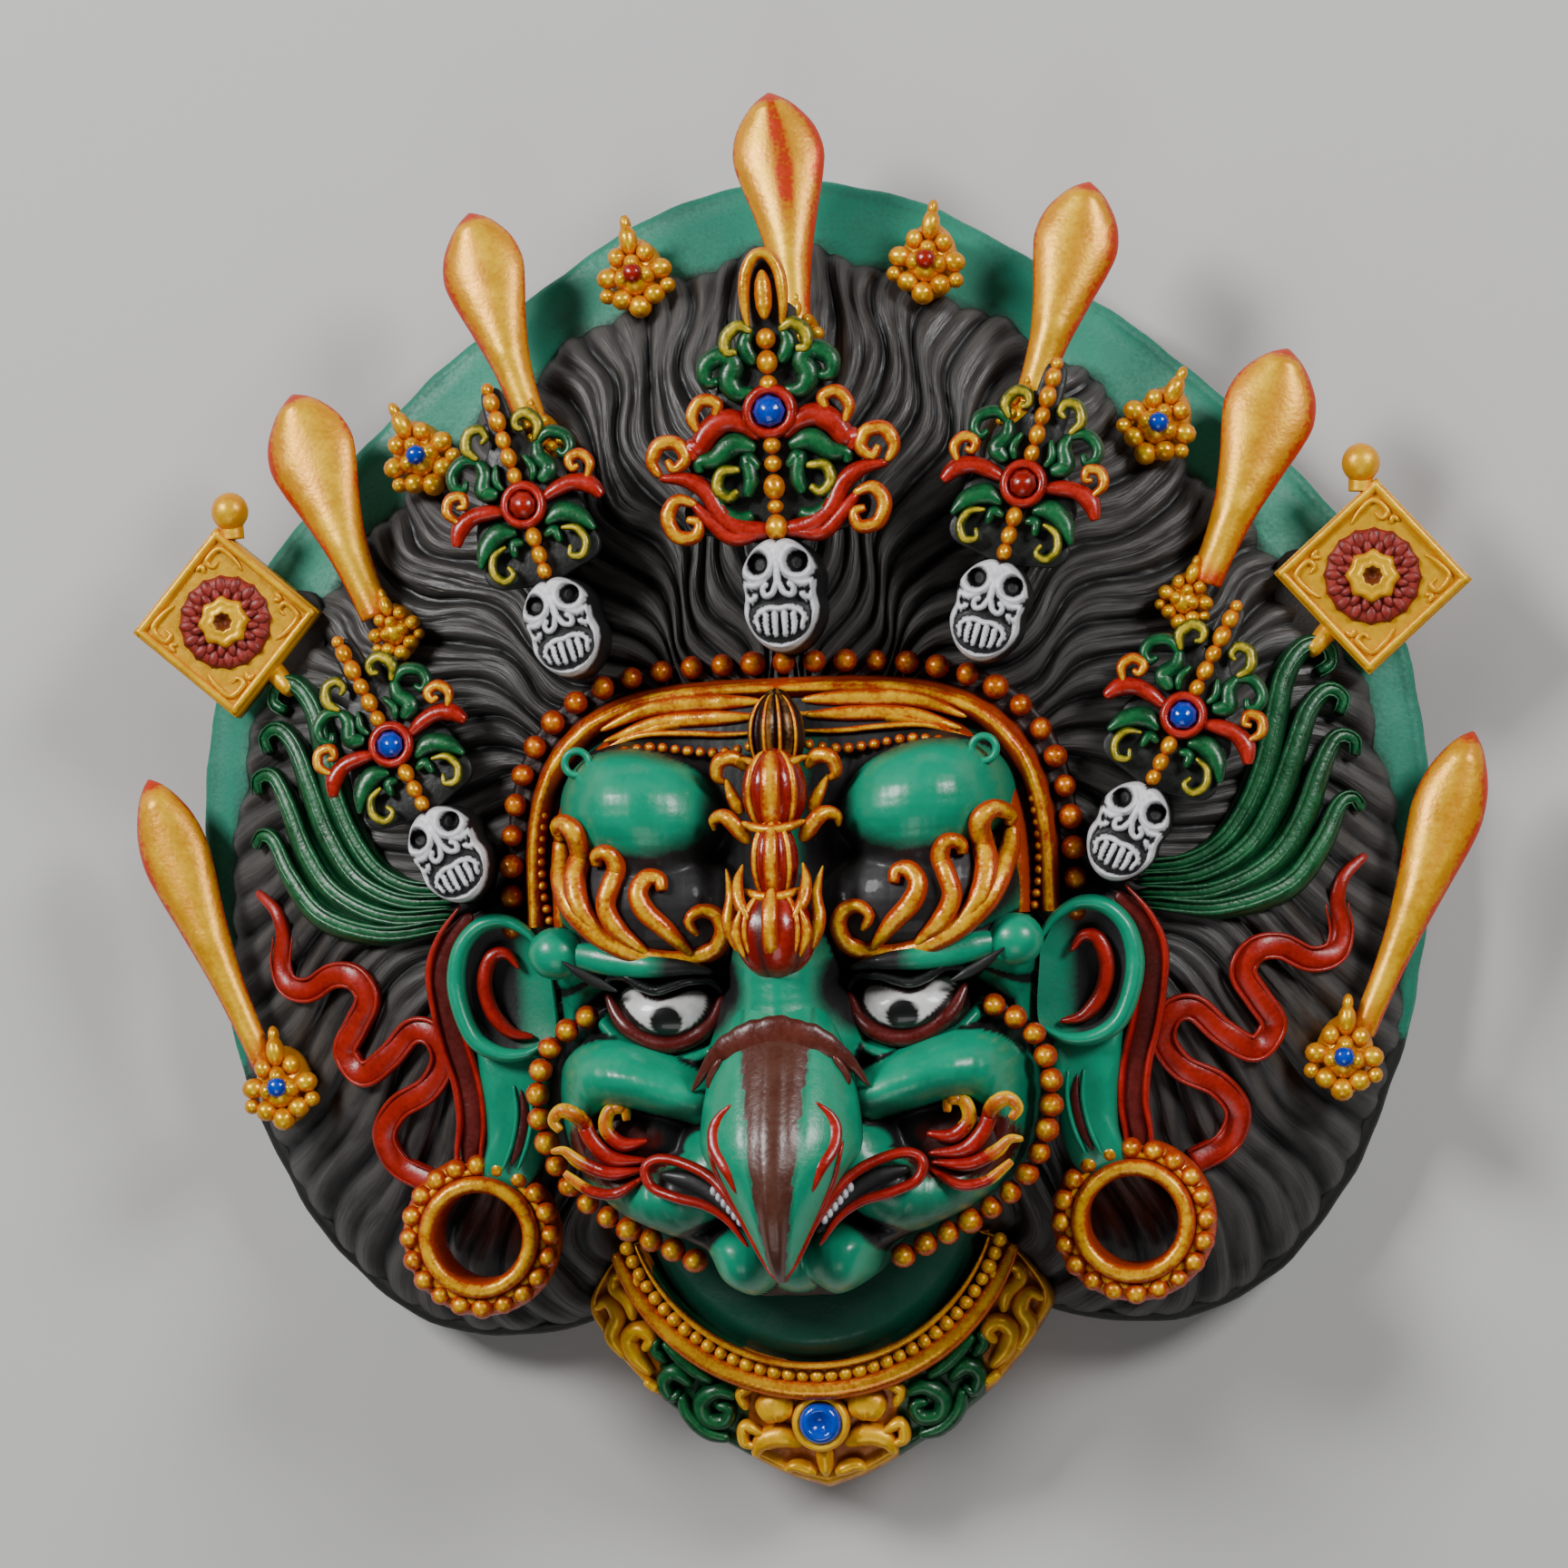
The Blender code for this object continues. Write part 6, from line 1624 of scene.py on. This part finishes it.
def leaf_ground(width):
    """The dark ground: a leaf-shaped board with a rib that stands it on the hair."""
    right = smooth_path(((1.6, -1), (7, 0.2), (12.6, 1.6), (14.4, 4.8), (12.6, 9.0), (13.6, 13.0),
                         (11.4, 17.6), (8.8, 21.4), (7.8, 26.2), (5.0, 29.6), (3.2, 33), (3.0, 38),
                         (2.2, 42), (0, 43)), 70)
    line = np.vstack([right, right[1:-1][::-1] * (-1, 1)])
    line = np.vstack([line, right[0] * (-1, 1)])
    board = pad(line, (0, 14), 0.5, -2.6, rows=8, power=9)
    rib = pad(((3.2, 0.4), (3.6, 36), (-3.6, 36), (-3.2, 0.4)), (0, 18), 0.2, -CREST_FOOT, rows=5)
    return [placed(board, (0, 0), z=-1.4, scale=(width, 1, 1)), placed(rib, (0, 0), z=-1.4)]


# %% Crests in place
CRESTS = (
    ((1.2, 38), (0, 81.7), 46, 44, 1.0, "blue"),
    ((35.4, 33.2), (44.8, 64.0), 43, 38, 0.70, "red"),
    ((56.6, -2.0), (71.0, 25.6), 39, 34, 0.70, "blue"),
)


def on_crest(sheets, foot, top, foot_z, top_z, width):
    """Widens by a share, fits the length between foot and top, leans and turns."""
    rise = np.array(top, float) - foot
    length = np.hypot(*rise)
    turn = math.atan2(-rise[0], rise[1])
    made = []
    for one in sheets:
        points = one["points"] * (width, length / CREST_LENGTH, 0.5 + 0.5 * width)
        points[..., 2] += points[..., 1] * (top_z - foot_z) / length
        made.append(placed({**one, "points": points}, foot, turn, foot_z))
    return made


def five(make):
    """The middle crest's parts, and the inner and outer ones' on both sides."""
    sheets = on_crest(make(0), *CRESTS[0][:-1])
    for nth in (1, 2):
        sheets += both_sides(*on_crest(make(nth), *CRESTS[nth][:-1]))
    return sheets


def gem_ring(nth):
    """A raised ring round the stone, a little thicker on the side crests."""
    up, radius = crest_part(nth, "gem")
    return [hoop((0, up, 1.0), radius, 0.28 * radius, 1.4, around=40)]


black_ground = painted("black ground", (0.010, 0.012, 0.010), BLACK, ridge=(0.03, 0.035, 0.03), wear_and_highlight=0.3,
                       gloss=0.4)
grounds = five(lambda nth: leaf_ground(crest_part(nth, "ground")))
piece("crest_grounds", grounds, black_ground)
coral_red = painted("coral red paint", (0.26, 0.006, 0.003), DARK_RED, ridge=(0.50, 0.020, 0.008),
                    second=GOLD, wear_and_highlight=0.8, gloss=0.3, coat=0.1, patches=0.3, patch_size=300)
yellow_green = painted("yellow green curls", (0.07, 0.09, 0.004), (0.006, 0.014, 0.003),
                       ridge=(0.62, 0.46, 0.02), wear_and_highlight=0.9, gloss=0.34, metallic=0.15, patches=0.4,
                       patch_size=400)
wings = five(lambda nth: drawn(crest_part(nth, "red"), 0.3, 1.5) + gem_ring(nth))
piece("crest_wings", wings, coral_red)
scrolls = five(lambda nth: drawn(crest_part(nth, "green"), 0.1, 1.4))
piece("crest_scrolls", scrolls, leaf_paint)
curls = five(lambda nth: drawn(crest_part(nth, "gold"), 0.6, 1.3))
piece("crest_curls", curls, gold_paint)
yellow_curls = five(lambda nth: drawn(crest_part(nth, "yellow"), 0.9, 1.1, 32))
piece("crest_yellow_curls", yellow_curls, yellow_green)
# The pale gold on the tops of the stem beads is rubbed paint and a painted highlight.
worn_and_highlit_gold = painted("worn orange gold", (0.66, 0.17, 0.001), (0.03, 0.005, 0.002),
                    ridge=(0.95, 0.54, 0.002), wear_and_highlight=0.9, gloss=0.3, metallic=0.35, patches=0.45,
                    patch_size=420)
piece("crest_stems", five(stem_sheets), worn_and_highlit_gold)

# %% Stones
def cut_stone(nth):
    """A stone with eight flat sides: a coarse ball inside the ring."""
    up, radius = crest_part(nth, "gem")
    return [balls([(0, up, 1.9)], (0.77 * radius, 0.77 * radius, 1.9), 6, 8)]


for nth, crest in enumerate(CRESTS):
    cut = on_crest(cut_stone(nth), *crest[:-1])
    stones[crest[-1]] += cut if nth == 0 else both_sides(*cut)
hub = turned((0, -101.4, 21.2), ((0.1, -2), (3.0, -2), (3.4, 0.8), (2.9, 2.0), (2.1, 2.3), (1.4, 1.6),
                                 (0.7, 1.1), (0.1, 1.0)), columns=40, rows=40)
stones["blue"].append(hub)
piece("blue_stones", stones["blue"], blue_paint)
piece("red_stones", stones["red"], gem_red)

# %% [markdown]
# ## Skulls
#
# Each crest stands on a small skull. Its relief is one height over x and y in its own axes: a
# smooth ground with two sunk sockets, and on it thin rolls of clay for the brow, the nose, the
# cheekbones, the jaw and the teeth. White paint was rubbed over black, so the white follows what
# is raised and the wash mark keeps the ground between black.

# %% Skull
SKULL_ROLLS = (
    (((0, 6.4), (0.8, 7.6), (3.0, 8.2), (5.2, 7.4)), (0.9, 0.7, 0.6)),
    (((0, 5.4), (0, 3.2), (0, 1.6)), (0.8, 0.7, 0.6)),
    (((0.2, 1.6), (0.9, 0.2), (2.0, -0.2), (2.4, 0.8), (1.8, 1.5)), (0.55, 0.5, 0.45)),
    (((2.2, 2.3), (3.6, 1.4), (5.0, 1.6), (5.4, 0.2), (4.4, -0.8), (3.6, -0.2)), (0.6, 0.65, 0.5)),
    (((5.3, -1.2), (5.6, -3.4), (4.8, -6.0), (2.8, -7.8), (0, -8.5)), (0.75, 0.8, 0.85)),
    (((0, -2.3), (1.6, -2.1), (3.2, -2.8), (3.9, -4.0)), (0.5, 0.55, 0.4)),
    (((0.75, -3.0), (0.75, -4.6), (0.7, -6.2)), (0.55, 0.5, 0.45)),
    (((2.1, -3.2), (2.2, -4.6), (2.0, -6.0)), (0.5, 0.5, 0.4)),
    (((3.5, -4.4), (3.3, -5.4)), (0.4, 0.35)),
)


def skull_form(x, y):
    """Height of a skull 12.8 by 18 mm, in mm, and how far it stands above its black ground."""
    side = np.abs(x)
    ground = mass(side, y, 0, 3.2, 7.4, 8.2, 2.6, 4)
    ground = joined(ground, mass(side, y, 0, -4.0, 6.6, 6.4, 2.3, 4), 0.5)
    raised = np.zeros_like(x)
    for path, radius in SKULL_ROLLS:
        raised = np.maximum(raised, clay_roll(side, y, path, radius, 1.0, 1.0))
    ring = np.hypot((side - 3.1) / 2.35, (y - 4.9) / 2.5)
    raised = np.maximum(raised, 1.25 * bell(ring, 0.98, 0.24))
    return ground + 1.1 * raised - 2.4 * (1 - step_up(ring, 0.4, 0.85)), raised


def skull_sheet(rows=54, columns=96):
    """Rings shrink from the skull's outline to its middle; the first ring is its foot."""
    turn = full_turn(columns)
    waist = 1 - 0.13 * bell(np.sin(turn) * 9.0, 0.2, 2.0)
    line = np.column_stack([6.4 * np.cos(turn) * (1 + 0.05 * np.sin(turn)) * waist, 9.0 * np.sin(turn)])
    share = np.concatenate([[1.0], np.linspace(1, 0.02, rows)])
    flat = line[None] * share[:, None, None]
    x, y = flat[..., 0], flat[..., 1]
    z, raised = skull_form(x, y)
    rim = np.sqrt(np.clip((1 - share) / 0.10, 0, 1))[:, None]
    relief = -2 + (z + 2) * rim
    relief[0] = -14
    white = step_up(raised + 0.12 * wobble(x * 3, y * 3, seed=18), 0.15, 0.55)
    wash = np.maximum(1 - white, 1 - step_up(rim + 0 * x, 0.2, 0.75))
    return sheet(np.dstack([flat, relief]), True, crown=np.clip(raised, 0, 1), wash=wash)


SKULL_DROP = 8.9


def skull_at(nth):
    foot, top, foot_z, top_z, width, _ = CRESTS[nth]
    widen = 0.93 / width if nth else 1.0
    tall = CREST_LENGTH / np.hypot(*(np.array(top) - foot)) * (0.9 if nth else 1.0)
    one = placed(skull_sheet(), (0, 0), z=1.0, scale=(widen, tall, 1))
    return [placed(one, (0, -SKULL_DROP * tall))]


piece("skulls", five(skull_at), bone_paint)

# %% [markdown]
# ## Neck and collar
#
# The collar is a pointed shield that bends round the neck. Its sheet runs from the inner arc to
# the outline in straight lines, falling away from the neck. On it lie a rounded gold band, a row
# of small beads, a flower with a blue stone in the middle, and scrolls, green beside the flower
# and gold in the corners.

# %% Neck and shield
COLLAR_MIDDLE = (0.0, -62.0)
COLLAR_RADIUS = 29.5
SHIELD = ((26.4, -71.6), (31.4, -73.8), (37.2, -81.8), (35.4, -87), (29.6, -94.6), (22.4, -101.0),
          (14.2, -106.4), (6.4, -110.8), (0, -113.0))


def collar_height(x, y):
    """Highest along the neck, then falling evenly to the point."""
    out = np.hypot(x - COLLAR_MIDDLE[0], y - COLLAR_MIDDLE[1]) - COLLAR_RADIUS
    return 24.6 - 9 * np.clip(out / 22, 0, 1)


def shield_sheet(rows=40, columns=150):
    """Straight lines from arc to outline; the last ring is the foot and the edge is rounded."""
    turn = np.radians(np.linspace(-18.5, -161.5, columns))
    inner = np.column_stack([COLLAR_RADIUS * np.cos(turn),
                             COLLAR_MIDDLE[1] + COLLAR_RADIUS * np.sin(turn)])
    right = smooth_path(SHIELD, columns // 2 + 1)
    outer = np.vstack([right[:-1], right[1:][::-1] * (-1, 1)])
    outer = evenly(outer, columns)
    t = np.linspace(0, 1, rows)[:, None, None]
    flat = inner[None] * (1 - t) + outer[None] * t
    z = collar_height(flat[..., 0], flat[..., 1])
    lip = 0.9 * bell(t[..., 0], 0.93, 0.06)
    edge = np.sqrt(np.clip(1 - (np.clip(t[..., 0] - 0.93, 0, 1) / 0.07) ** 2, 0, 1))
    z = z - 2.0 + lip + 2.0 * (edge - 1) + 0.15 * wobble(flat[..., 0], flat[..., 1], seed=15)
    low_outer = np.dstack([flat[-1:], 0 * z[-1:] + 0.4])
    low_inner = np.dstack([flat[:1], 0 * z[:1] + 0.4])
    points = np.concatenate([np.dstack([flat, z]), low_outer, low_inner])
    middle = np.abs(flat[..., 0])
    green = step_up(middle, 11.5, 12.2) * (1 - step_up(middle, 25.5, 26.5))
    # The ground inside the lip is a little darker; the raised lip takes the ridge colour, rubbed paint
    # and a painted highlight, with random rubbed patches.
    wash = 0.38 * (1 - lip) * (1 - 0.6 * green)
    worn = np.clip(lip / 0.9 + 0.35 + 0.4 * wobble(flat[..., 0] * 1.3, flat[..., 1] * 1.3, seed=17), 0,
                   1)
    marks = [np.concatenate([m, m[-1:], m[:1]]) for m in (worn * (1 - green), wash, green)]
    return sheet(points, False, True, crown=marks[0], wash=marks[1], tint=marks[2])


def neck_sheet(rows=60, columns=110):
    """Part of a fan round the collar's middle: a shallow column, lower towards the sides."""
    turn = np.radians(np.linspace(-8, -172, columns))[None, :]
    radius = np.linspace(14, 30.6, rows)[:, None]
    x = radius * np.cos(turn)
    y = COLLAR_MIDDLE[1] + radius * np.sin(turn)
    z = 22.0 + 5.4 * bell(x, 0, 19) - 5.0 * step_up(radius, 25.5, 30.6)
    z = z + 0.1 * wobble(x * 0.6, y * 0.6, seed=16)
    # Painted shade: darker near the collar, near the chin and towards the sides.
    shade = 0.45 * step_up(radius, 27.0, 30.4) + 0.5 * step_up(-radius, -20, -15)
    shade = shade + 0.35 * step_up(np.abs(x), 14, 27)
    return sheet(np.stack([x, y, z], axis=-1), wash=np.clip(shade + 0.12 + 0 * x, 0, 1))


piece("neck", [neck_sheet()], painted(
    "deep green neck paint", (0.002, 0.075, 0.042), BLACK, ridge=TEAL, wear_and_highlight=0.2, gloss=0.4, patches=0.5,
    patch_size=140))
piece("collar_ground", [shield_sheet()], painted(
    "gold and green ground", (0.52, 0.15, 0.002), (0.02, 0.006, 0.002), ridge=(0.92, 0.46, 0.003),
    second=(0.002, 0.060, 0.018), wear_and_highlight=0.8, gloss=0.36, metallic=0.25, patches=0.5, patch_size=300))

# %% Collar band, beads and flower
def around_neck(radius, low=-20, high=-160, count=90):
    turn = np.radians(np.linspace(low, high, count))
    return np.column_stack([radius * np.cos(turn), COLLAR_MIDDLE[1] + radius * np.sin(turn)])


def on_collar(step):
    return lambda x, y: collar_height(x, y) + step


band_round = stroke(around_neck(33.9), 1.75, 1.9, z=on_collar(0.2), count=110, around=20,
                    ends=(0.4, 0.4))
thin_rim = stroke(around_neck(29.9), 0.6, 1.1, z=on_collar(0.9), count=110, around=12)
# A higher power narrows the pale gold to the top of the band: rubbed paint and a painted highlight.
band_round["marks"]["crown"] **= 1.6
piece("collar_bands", [band_round, thin_rim], painted(
    "smooth orange gold", (0.58, 0.10, 0.003), (0.12, 0.008, 0.002), ridge=(0.93, 0.46, 0.015),
    second=RED, wear_and_highlight=1.0, gloss=0.26, metallic=0.4, patches=0.3, patch_size=240))
piece("collar_beads", [bead_row(around_neck(31.6), on_collar(0.3), 1.15, 2.3, tall=1.1, seed=7.0, rows=8,
                                columns=12)], bright_gold)
FLOWER = (
    (((4.4, -99.0), (7.4, -98.7), (9.6, -100.2)), (2.0, 2.5, 2.2)),
    (((3.6, -105.2), (6.6, -103.8), (9.8, -104.6), (11.2, -106.8)), (1.1, 1.7, 1.6, 0.9)),
    (((9.6, -103.6), (12.4, -102.0), (12.8, -104.6), (10.8, -105.6)), (0.8, 1.0, 0.8)),
    (((1.6, -110.0), (4.6, -108.8), (6.4, -109.4)), (1.0, 1.1, 0.7)),
    (((12.0, -99.0), (12.6, -96.6), (10.6, -95.4)), (0.8, 0.9, 0.7)),
)
CORNERS = (
    (((27.2, -93.4), (29.6, -90.6), (30.6, -87.6), (28.6, -86.0), (26.8, -87.6), (28.0, -89.2)),
     (1.0, 1.4, 1.3, 1.0)),
    (((31.6, -90.6), (33.4, -87.0), (32.2, -84.0), (33.6, -81.6), (35.6, -82.6)), (0.9, 1.3, 1.2, 0.8)),
    (((29.6, -84.4), (30.2, -81.4), (32.4, -79.4), (31.8, -77.4), (30.0, -77.6)), (0.9, 1.2, 1.0, 0.8)),
    (((27.4, -81.6), (28.6, -79.0), (27.8, -76.6)), (0.8, 1.0, 0.7)),
    (((26.0, -96.2), (28.4, -94.4)), (0.8, 0.8)),
)
GREENS = (
    (((13.6, -97.2), (16.6, -96.2), (19.2, -98.0), (18.6, -100.8), (15.8, -101.2), (14.8, -99.2),
      (16.8, -98.6)), (1.1, 1.4, 1.3, 1.0)),
    (((15.2, -104.2), (18.8, -103.0), (21.6, -100.2), (22.6, -96.8)), (1.1, 1.2, 1.0)),
    (((20.6, -95.2), (23.4, -93.0), (25.2, -94.6), (24.2, -97.2), (22.6, -96.4)), (1.0, 1.3, 1.2, 0.8)),
    (((17.2, -94.6), (20.0, -92.8), (22.6, -90.4), (24.8, -88.2)), (0.9, 1.1, 0.8)),
    (((24.6, -91.4), (26.2, -89.4), (25.6, -87.4)), (0.8, 1.0, 0.7)),
)


seat_ring = hoop((0, -101.4, 21.0), 3.9, 0.8, 1.5, around=40)
tip_drop = stroke(((0, -105.6), (0, -108.2), (0, -110.6)), (1.5, 1.4, 0.9), 1.5, z=on_collar(-0.8),
                  count=24)
flower = drawn(FLOWER + CORNERS, on_collar(-1.0), 1.9, widen=1.15) + [seat_ring, tip_drop]
piece("collar_flower", flower, bright_gold)
piece("collar_scrolls", drawn(GREENS, on_collar(-1.0), 1.7, widen=1.15), leaf_paint)

# %% [markdown]
# ## Floor, light and camera
#
# The photograph was taken from straight above the face, turned seven degrees to the mask's right
# and from about 80 cm, with a soft box on either side. The camera here stands there. It is given
# as two turns and a distance, and its lens frames the mask as the photograph does.

# %% Camera
CAMERA_DISTANCE = 800.0
CAMERA_YAW = math.radians(-7.0)
CAMERA_ROLL = math.radians(2.05)
AIM = np.array([0.0, 0.0, 30.0])
AIM_IN_VIEW = np.array([1.17, 0.0, 30.0])
IMAGE_PIXELS = 1728
PIXELS_PER_MM = 1555 / 230
SENSOR = 36.0


def camera_turn():
    """Rows are the camera's right, up and back: a yaw about +Y, then a roll in the picture."""
    cy, sy = math.cos(CAMERA_YAW), math.sin(CAMERA_YAW)
    cr, sr = math.cos(CAMERA_ROLL), math.sin(CAMERA_ROLL)
    yaw = np.array([[cy, 0, sy], [0, 1, 0], [-sy, 0, cy]])
    roll = np.array([[cr, -sr, 0], [sr, cr, 0], [0, 0, 1]])
    return roll @ yaw


def make_camera():
    turn = camera_turn()
    data = bpy.data.cameras.new("camera")
    data.sensor_width = SENSOR
    data.lens = CAMERA_DISTANCE * PIXELS_PER_MM / IMAGE_PIXELS * SENSOR
    data.clip_start = 0.05
    made = bpy.data.objects.new("camera", data)
    bpy.context.scene.collection.objects.link(made)
    spot = turn.T @ (np.array([0, 0, CAMERA_DISTANCE]) - AIM_IN_VIEW) + AIM + HAIR_MIDDLE
    placing = np.eye(4)
    placing[:3, :3] = turn.T
    placing[:3, 3] = spot * MM
    made.matrix_world = placing.T.tolist()
    bpy.context.scene.camera = made
    return made


camera = make_camera()
print("Camera lens in mm:", round(camera.data.lens, 1))

# %% Floor and lights
from mathutils import Matrix, Vector


FLOOR_HALF = 3.0


def plain_floor():
    mesh = bpy.data.meshes.new("floor")
    side = FLOOR_HALF
    mesh.from_pydata([(-side, -side, 0), (side, -side, 0), (side, side, 0), (-side, side, 0)], [],
                     [(0, 1, 2, 3)])
    made = bpy.data.objects.new("floor", mesh)
    material, tree, shader = new_material("pale floor")
    feed(tree, shader, {"Base Color": (0.62, 0.61, 0.60, 1), "Roughness": 0.8})
    mesh.materials.append(material)
    bpy.context.scene.collection.objects.link(made)


def soft_light(name, spot, size, watts):
    """A square soft box at a spot in metres that looks at the middle of the mask."""
    data = bpy.data.lights.new(name, "AREA")
    data.shape = "SQUARE"
    data.size = size
    data.energy = watts
    made = bpy.data.objects.new(name, data)
    look = Vector((0, 0, 0.03)) - Vector(spot)
    made.matrix_world = Matrix.Translation(spot) @ look.to_track_quat("-Z", "Y").to_matrix().to_4x4()
    bpy.context.scene.collection.objects.link(made)


plain_floor()
soft_light("left soft box", (-0.72, 0.55, 0.8), 0.34, 13.5)
soft_light("right soft box", (0.8, 0.55, 0.7), 0.34, 9.5)
soft_light("fill", (0.0, -0.9, 0.9), 0.6, 2.2)
world = bpy.data.worlds.new("studio")
world.use_nodes = True
world.node_tree.nodes["Background"].inputs["Color"].default_value = (0.8, 0.82, 0.85, 1)
world.node_tree.nodes["Background"].inputs["Strength"].default_value = 0.07
bpy.context.scene.world = world
